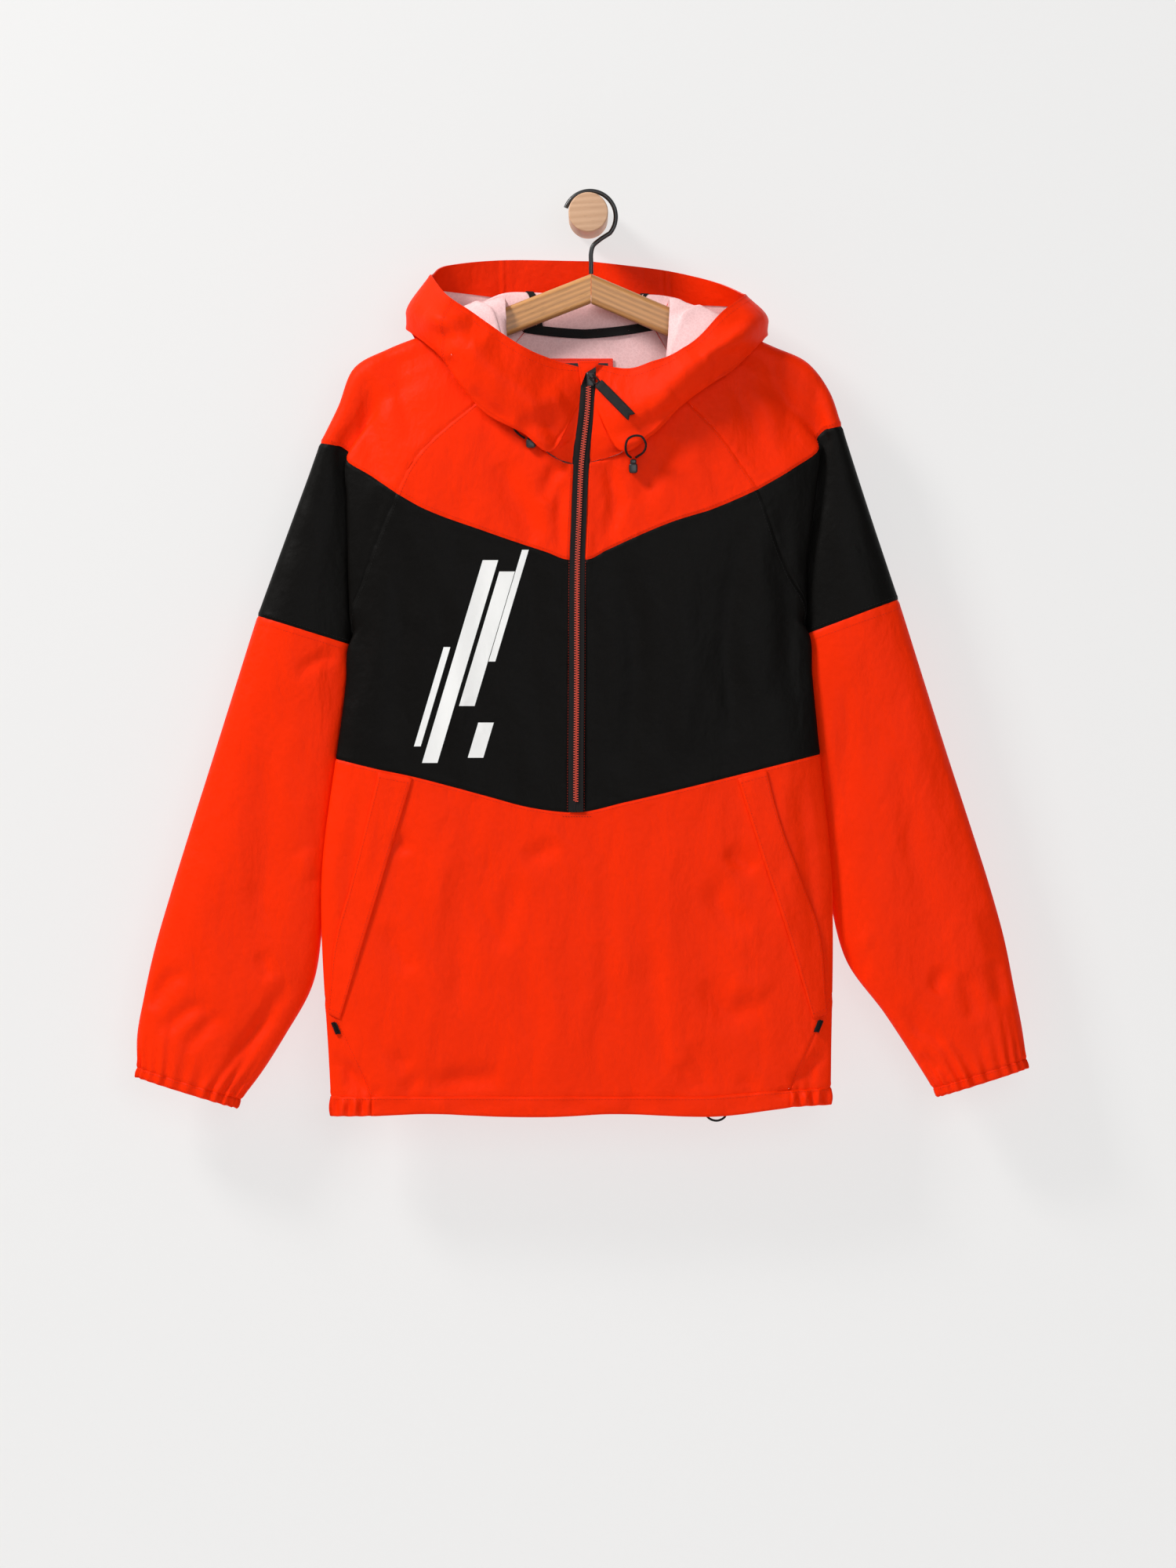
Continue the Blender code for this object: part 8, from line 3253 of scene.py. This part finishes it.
    def build_tab(self, place: Callable[[Iterable[Point]], np.ndarray], start: float,
                  end: float) -> None:
        """Cut the ribbon tab with its notched end.

        Args:
            place: gives points that are across, down and up from the pivot.
            start: how far down the tab starts.
            end: how far down its corners end.
        """
        ribbon = self.shop.palette["ribbon"]
        rows = []
        wave, turns = self.tab_wave
        for u in np.linspace(-1, 1, self.tab_grid[0]):
            rows.append(place([(TAB_SIZE[0] / 2 * u, v, wave * math.sin(v * turns + u))
                               for v in np.linspace(start, end - TAB_NOTCH * (1 - abs(u)),
                                                    self.tab_grid[1])]))
        cloth = Cloth(np.array(rows), raw=True, flip=False)
        thick = TAB_SIZE[1] / 2
        tab = cloth.cut("pull_tab_form", ribbon, ribbon, wall=2 * thick, lift=thick, rounded=True)
        keep(tab.object, Slot.TRIM, "pull_tab", "zip_pull")
        seam = [cloth.raised(thick + 0.1)[1:-1, 2]]
        self.shop.sew("pull_tab_stitches", seam, "dark_thread", Slot.TRIM, "zip_pull", Pitch=0.0016,
                      Length=0.0012, Thread=0.00035)


HIDDEN_LEAD = {"hood_cord_l": ((-80.0, -195.5, 36.0),)}     # where a cord comes out of its channel


@dataclass
class Cords:
    """Elastic cords of the hood and the hem, and the hood's cord stops."""

    shop: Workshop
    samples: int = 49                 # points of each shown cord
    body_share: float = 0.7           # of a stop's height; its button shows above
    button: Point = (0.74, 0.36)      # its width and height, as shares of the stop's
    button_inset: float = 1.2

    def build(self) -> None:
        """Build the pieces."""
        for name, points in CORDS.items():
            self.build_cord(name,
                            Curve([*HIDDEN_LEAD.get(name, ()), *points]).sampled(self.samples))
        for key, (x, z, out, width, height, depth) in STOPS.items():
            self.build_stop(key, x, z, out, (width, height, depth))

    def build_cord(self, name: str, line: np.ndarray) -> None:
        """Lay one cord as a round curve.

        Args:
            name: its name.
            line: the line, in millimetres.
        """
        curve = poly_curve(name + "_line", [line])
        curve.bevel_depth = CORD_WIRE * MM
        curve.bevel_resolution = 4
        curve.use_fill_caps = True
        curve.materials.append(self.shop.palette["elastic"])
        obj = keep(add_object(name + "_line", curve), Slot.TRIM, name)
        places = world(line)
        float(gone(places)[-1])

    def build_stop(self, key: str, x: float, z: float, out: float, size: Point) -> None:
        """Mould one cord stop: a rounded body with a push button on top.

        Args:
            key: "l" or "r".
            x: place across.
            z: place up.
            out: where its back lies.
            size: its width and height.
        """
        width, height, depth = size
        body = height * self.body_share
        low = z - (height - body) / 2
        vertices, faces = soft_block(x, low, (out, out + depth), (width, body), 2.6, 1.8)
        across, up = width * self.button[0], height * self.button[1]
        outs = (out + self.button_inset, out + depth - self.button_inset)
        button, more = soft_block(x, z + (height - up) / 2, outs, (across, up), 2.0, 1.3)
        faces = faces + [[i + len(vertices) for i in face] for face in more]
        obj = add_mesh(f"cord_stop_{key}_form", np.vstack([vertices, button]), faces,
                       self.shop.palette["plastic"])
        keep(obj, Slot.PLASTIC, "cord_stop_" + key)


@dataclass
class Pockets:
    """Welts over the slanted hand pockets, with a bar tack under each."""

    shop: Workshop
    spacing: Point = (5.0, 2.2)
    lift: float = CLOTH + OVER
    wall: float = 1.2
    across: tuple[float, ...] = (0.0, 0.35, 0.7, 1.0)     # columns of a welt
    puff: Point = (0.9, 0.25)         # height and reach of the lift along its free edge
    lean: float = 0.4                 # slant of the bar tacks
    tack_off: float = 0.9             # they clear the welt by this
    tack_wall: float = 0.8

    def build(self) -> None:
        """Build the pieces."""
        palette = self.shop.palette
        stitch_lines, tack_lines = [], []
        for key, side in self.shop.sides.items():
            free, stitched = Curve(side.table["welt_free"]), Curve(side.table["welt_stitch"])
            grid = []
            for i in range(WELT_ROWS + 1):
                ends = free.at(i / WELT_ROWS), stitched.at(i / WELT_ROWS)
                grid.append([side.front_at(*blend(*ends, share)) for share in self.across])
            cloth = Cloth(np.array(grid), flip=key == "r", spacing=self.spacing,
                          relief=self.shop.relief, press=self.soften)
            hang(cloth.cut(f"pocket_welt_{key}_cloth", palette["orange"], palette["orange"],
                           wall=self.wall, lift=self.lift, rounded=True),
                 Slot.ORANGE, "pocket_welt_" + key, ("front_lower_cloth",))
            last = cloth.columns - 1
            raised = cloth.raised(self.lift + STITCH_LIFT)
            stitch_lines += [raised[1:-1, 1], raised[1:-1, last - 1]]
            stitch_lines += [raised[1, 1:-1], raised[-2, 1:-1]]
            self.build_bartack(key, side, tack_lines)
        self.shop.sew("welt_stitches", stitch_lines)
        tacks = self.shop.satin.run("bartack_threads", tack_lines, palette["dark_thread"])
        keep(tacks, Slot.TRIM)

    def soften(self, cloth: Cloth) -> np.ndarray:
        """Return the welt's slight lift along its free edge.

        Args:
            cloth: the cloth it is pressed into.

        Returns:
            The heights, in millimetres.
        """
        share = cloth.column_keys / cloth.column_keys[-1]
        along = cloth.row_keys / cloth.row_keys[-1]
        height, reach = self.puff
        return height * bell(share, reach)[None, :] * np.sin(math.pi * along)[:, None] ** 0.7

    def build_bartack(self, key: str, side: Side, lines: list[np.ndarray]) -> None:
        """Lay the patch of a bar tack and note where its threads go.

        Args:
            key: "l" or "r".
            side: the half it belongs to.
            lines: the list that its thread line is added to.
        """
        x, z = side.table["bartack"]
        width, height = BARTACK
        grid = [[side.front_at(x + side.inward * (u * width + self.lean * v * height),
                               z - v * height)
                 for u in (0.42, 0.14, -0.14, -0.42)] for v in (-0.5, -0.2, 0.2, 0.5)]
        cloth = Cloth(np.array(grid), flip=key == "r", spacing=(1.8, 1.4), relief=self.shop.relief)
        tape = self.shop.palette["tape"]
        lift = self.tack_off + OVER
        panel = cloth.cut(f"bartack_{key}_cloth", tape, tape, wall=self.tack_wall, lift=lift,
                          rounded=True)
        keep(panel.object, Slot.TRIM, "bartack_" + key)
        lines.append(cloth.raised(lift + 0.1)[:, cloth.columns // 2])


# ---------------------------------------------------------------- studio

@dataclass(frozen=True)
class SoftBox:
    """An area light."""

    name: str
    place: Point
    aim: Point
    size: tuple[float, float]
    watts: float
    colour: Point = (1.0, 0.985, 0.965)

    def build(self) -> None:
        """Add the light to the scene."""
        data = bpy.data.lights.new(self.name, "AREA")
        data.shape = "RECTANGLE"
        data.size, data.size_y = self.size
        data.energy = self.watts
        data.color = self.colour
        obj = add_object(self.name, data)
        obj.location = self.place
        ahead = Vector(self.aim) - Vector(self.place)
        obj.rotation_euler = ahead.to_track_quat("-Z", "Y").to_euler()


@dataclass
class Studio:
    """Camera, lights, wall and floor."""

    focal: float = 142.1
    camera: Point = (-0.0003, -6.075, -0.5544)
    wall_half: Point = (3.0, 2.2)
    wall_y: float = 0.002             # just behind the peg's end
    floor_z: float = -1.65
    sky: Point = (0.93, 0.94, 0.96, 1.0)
    sky_strength: float = 0.2
    wall_colour: Point = (0.18, 0.18, 0.178)
    wall_glow: float = 0.66           # evens out the light on the wall
    lights: tuple[SoftBox, ...] = (
        SoftBox("key", (-2.3, -1.7, 2.0), (0.0, 0.0, -0.5), (0.8, 0.8), 126.0),
        SoftBox("front", (0.9, -4.4, 0.3), (0.0, 0.0, -0.5), (2.2, 2.2), 56.0, (0.98, 0.99, 1.0)),
        SoftBox("rear fill", (0.6, 3.2, 0.9), (0.0, 0.0, -0.45), (2.6, 2.0), 60.0),
    )

    def build(self) -> None:
        """Set up the studio."""
        scene = bpy.context.scene
        data = bpy.data.cameras.new("camera")
        data.sensor_width = 36.0
        data.lens = self.focal
        camera = add_object("camera", data)
        camera.location = self.camera
        camera.rotation_euler = (math.pi / 2, 0.0, 0.0)
        scene.camera = camera
        for light in self.lights:
            light.build()
        world_shade = bpy.data.worlds.new("studio")
        scene.world = world_shade
        world_shade.use_nodes = True
        background = world_shade.node_tree.nodes["Background"]
        background.inputs["Color"].default_value = self.sky
        background.inputs["Strength"].default_value = self.sky_strength
        scene.view_settings.view_transform = "Standard"
        self.build_wall()
        self.build_floor()

    def build_wall(self) -> None:
        """Stand a plain pale wall behind, seen from the front alone."""
        x, z = self.wall_half
        corners = [(u * x, self.wall_y, v * z) for u, v in ((-1, -1), (1, -1), (1, 1), (-1, 1))]
        wall = self.plane("backdrop", corners, self.wall_finish())
        wall.visible_shadow = False

    def build_floor(self) -> None:
        """Lay a plain pale floor far below."""
        x = self.wall_half[0]
        corners = [(u * x, v * x, self.floor_z) for u, v in ((-1, -1), (1, -1), (1, 1), (-1, 1))]
        self.plane("floor", corners, self.plain("pale floor", (0.78, 0.77, 0.76), 0.8))

    @staticmethod
    def plane(name: str, corners: Sequence[Point],
              material: bpy.types.Material) -> bpy.types.Object:
        """Return a flat face.

        Args:
            name: its name.
            corners: its corners, in metres.
            material: its finish.

        Returns:
            The object.
        """
        mesh = bpy.data.meshes.new(name)
        mesh.from_pydata(corners, [], [(0, 1, 2, 3)])
        mesh.materials.append(material)
        obj = add_object(name, mesh)
        return obj

    @staticmethod
    def plain(name: str, colour: Point, roughness: float) -> bpy.types.Material:
        """Return a plain matt finish.

        Args:
            name: its name.
            colour: its colour.
            roughness: its roughness.

        Returns:
            The finish.
        """
        material = bpy.data.materials.new(name)
        material.use_nodes = True
        shader = material.node_tree.nodes["Principled BSDF"]
        shader.inputs["Base Color"].default_value = (*colour, 1.0)
        shader.inputs["Roughness"].default_value = roughness
        return material

    def wall_finish(self) -> bpy.types.Material:
        """Return painted plaster that is clear when seen from behind.

        Returns:
            The finish.
        """
        material = self.plain("painted wall", self.wall_colour, 0.85)
        nodes = Nodes(material.node_tree)
        shader = material.node_tree.nodes["Principled BSDF"]
        shader.inputs["Emission Color"].default_value = (1.0, 0.995, 0.99, 1.0)
        shader.inputs["Emission Strength"].default_value = self.wall_glow
        place_at = nodes.put("ShaderNodeTexCoord").outputs["Object"]
        grain = nodes.noise(place_at, 180.0, 4.0)
        bumped(nodes, shader, ((grain, 0.0005, 0.12),))
        clear = nodes.put("ShaderNodeBsdfTransparent")
        behind = nodes.put("ShaderNodeNewGeometry").outputs["Backfacing"]
        mixed = nodes.put("ShaderNodeMixShader", i0=behind, i1=shader.outputs[0],
                          i2=clear.outputs[0])
        output = material.node_tree.nodes["Material Output"]
        nodes.link(mixed.outputs[0], output.inputs["Surface"])
        return material


def main() -> None:
    """Dress the frame."""
    logging.basicConfig(level=logging.INFO, format="%(name)s: %(message)s")
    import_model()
    front = (*LOWER_FRONT_CREASES, *YOKE_CREASES, *CHEST_CREASES, *SLEEVE_L_CREASES,
             *SLEEVE_R_CREASES)
    creases = from_table(front, FRONT_DEPTH) + from_table(BACK_CREASES, BACK_DEPTH, Face.BACK)
    shop = Workshop({key: Side(key) for key in ("l", "r")}, Palette(), Relief(creases, seed=11),
                    Stitches(), SatinBar())
    hood = Relief(from_table(HOOD_CREASES, HOOD_DEPTH), seed=5, rumple=0.2)
    Studio().build()
    assemblies = [Cords(shop), Hanger(shop), Front(shop), Back(shop), Sleeve(shop, "l"),
                  Sleeve(shop, "r"), Hem(shop), Hood(shop, hood), Neck(shop),
                  Zip(shop, ZipTeeth()), Pockets(shop)]
    for assembly in assemblies:
        assembly.build()
        LOG.info("%s built", type(assembly).__name__)


if __name__ == "__main__":
    main()
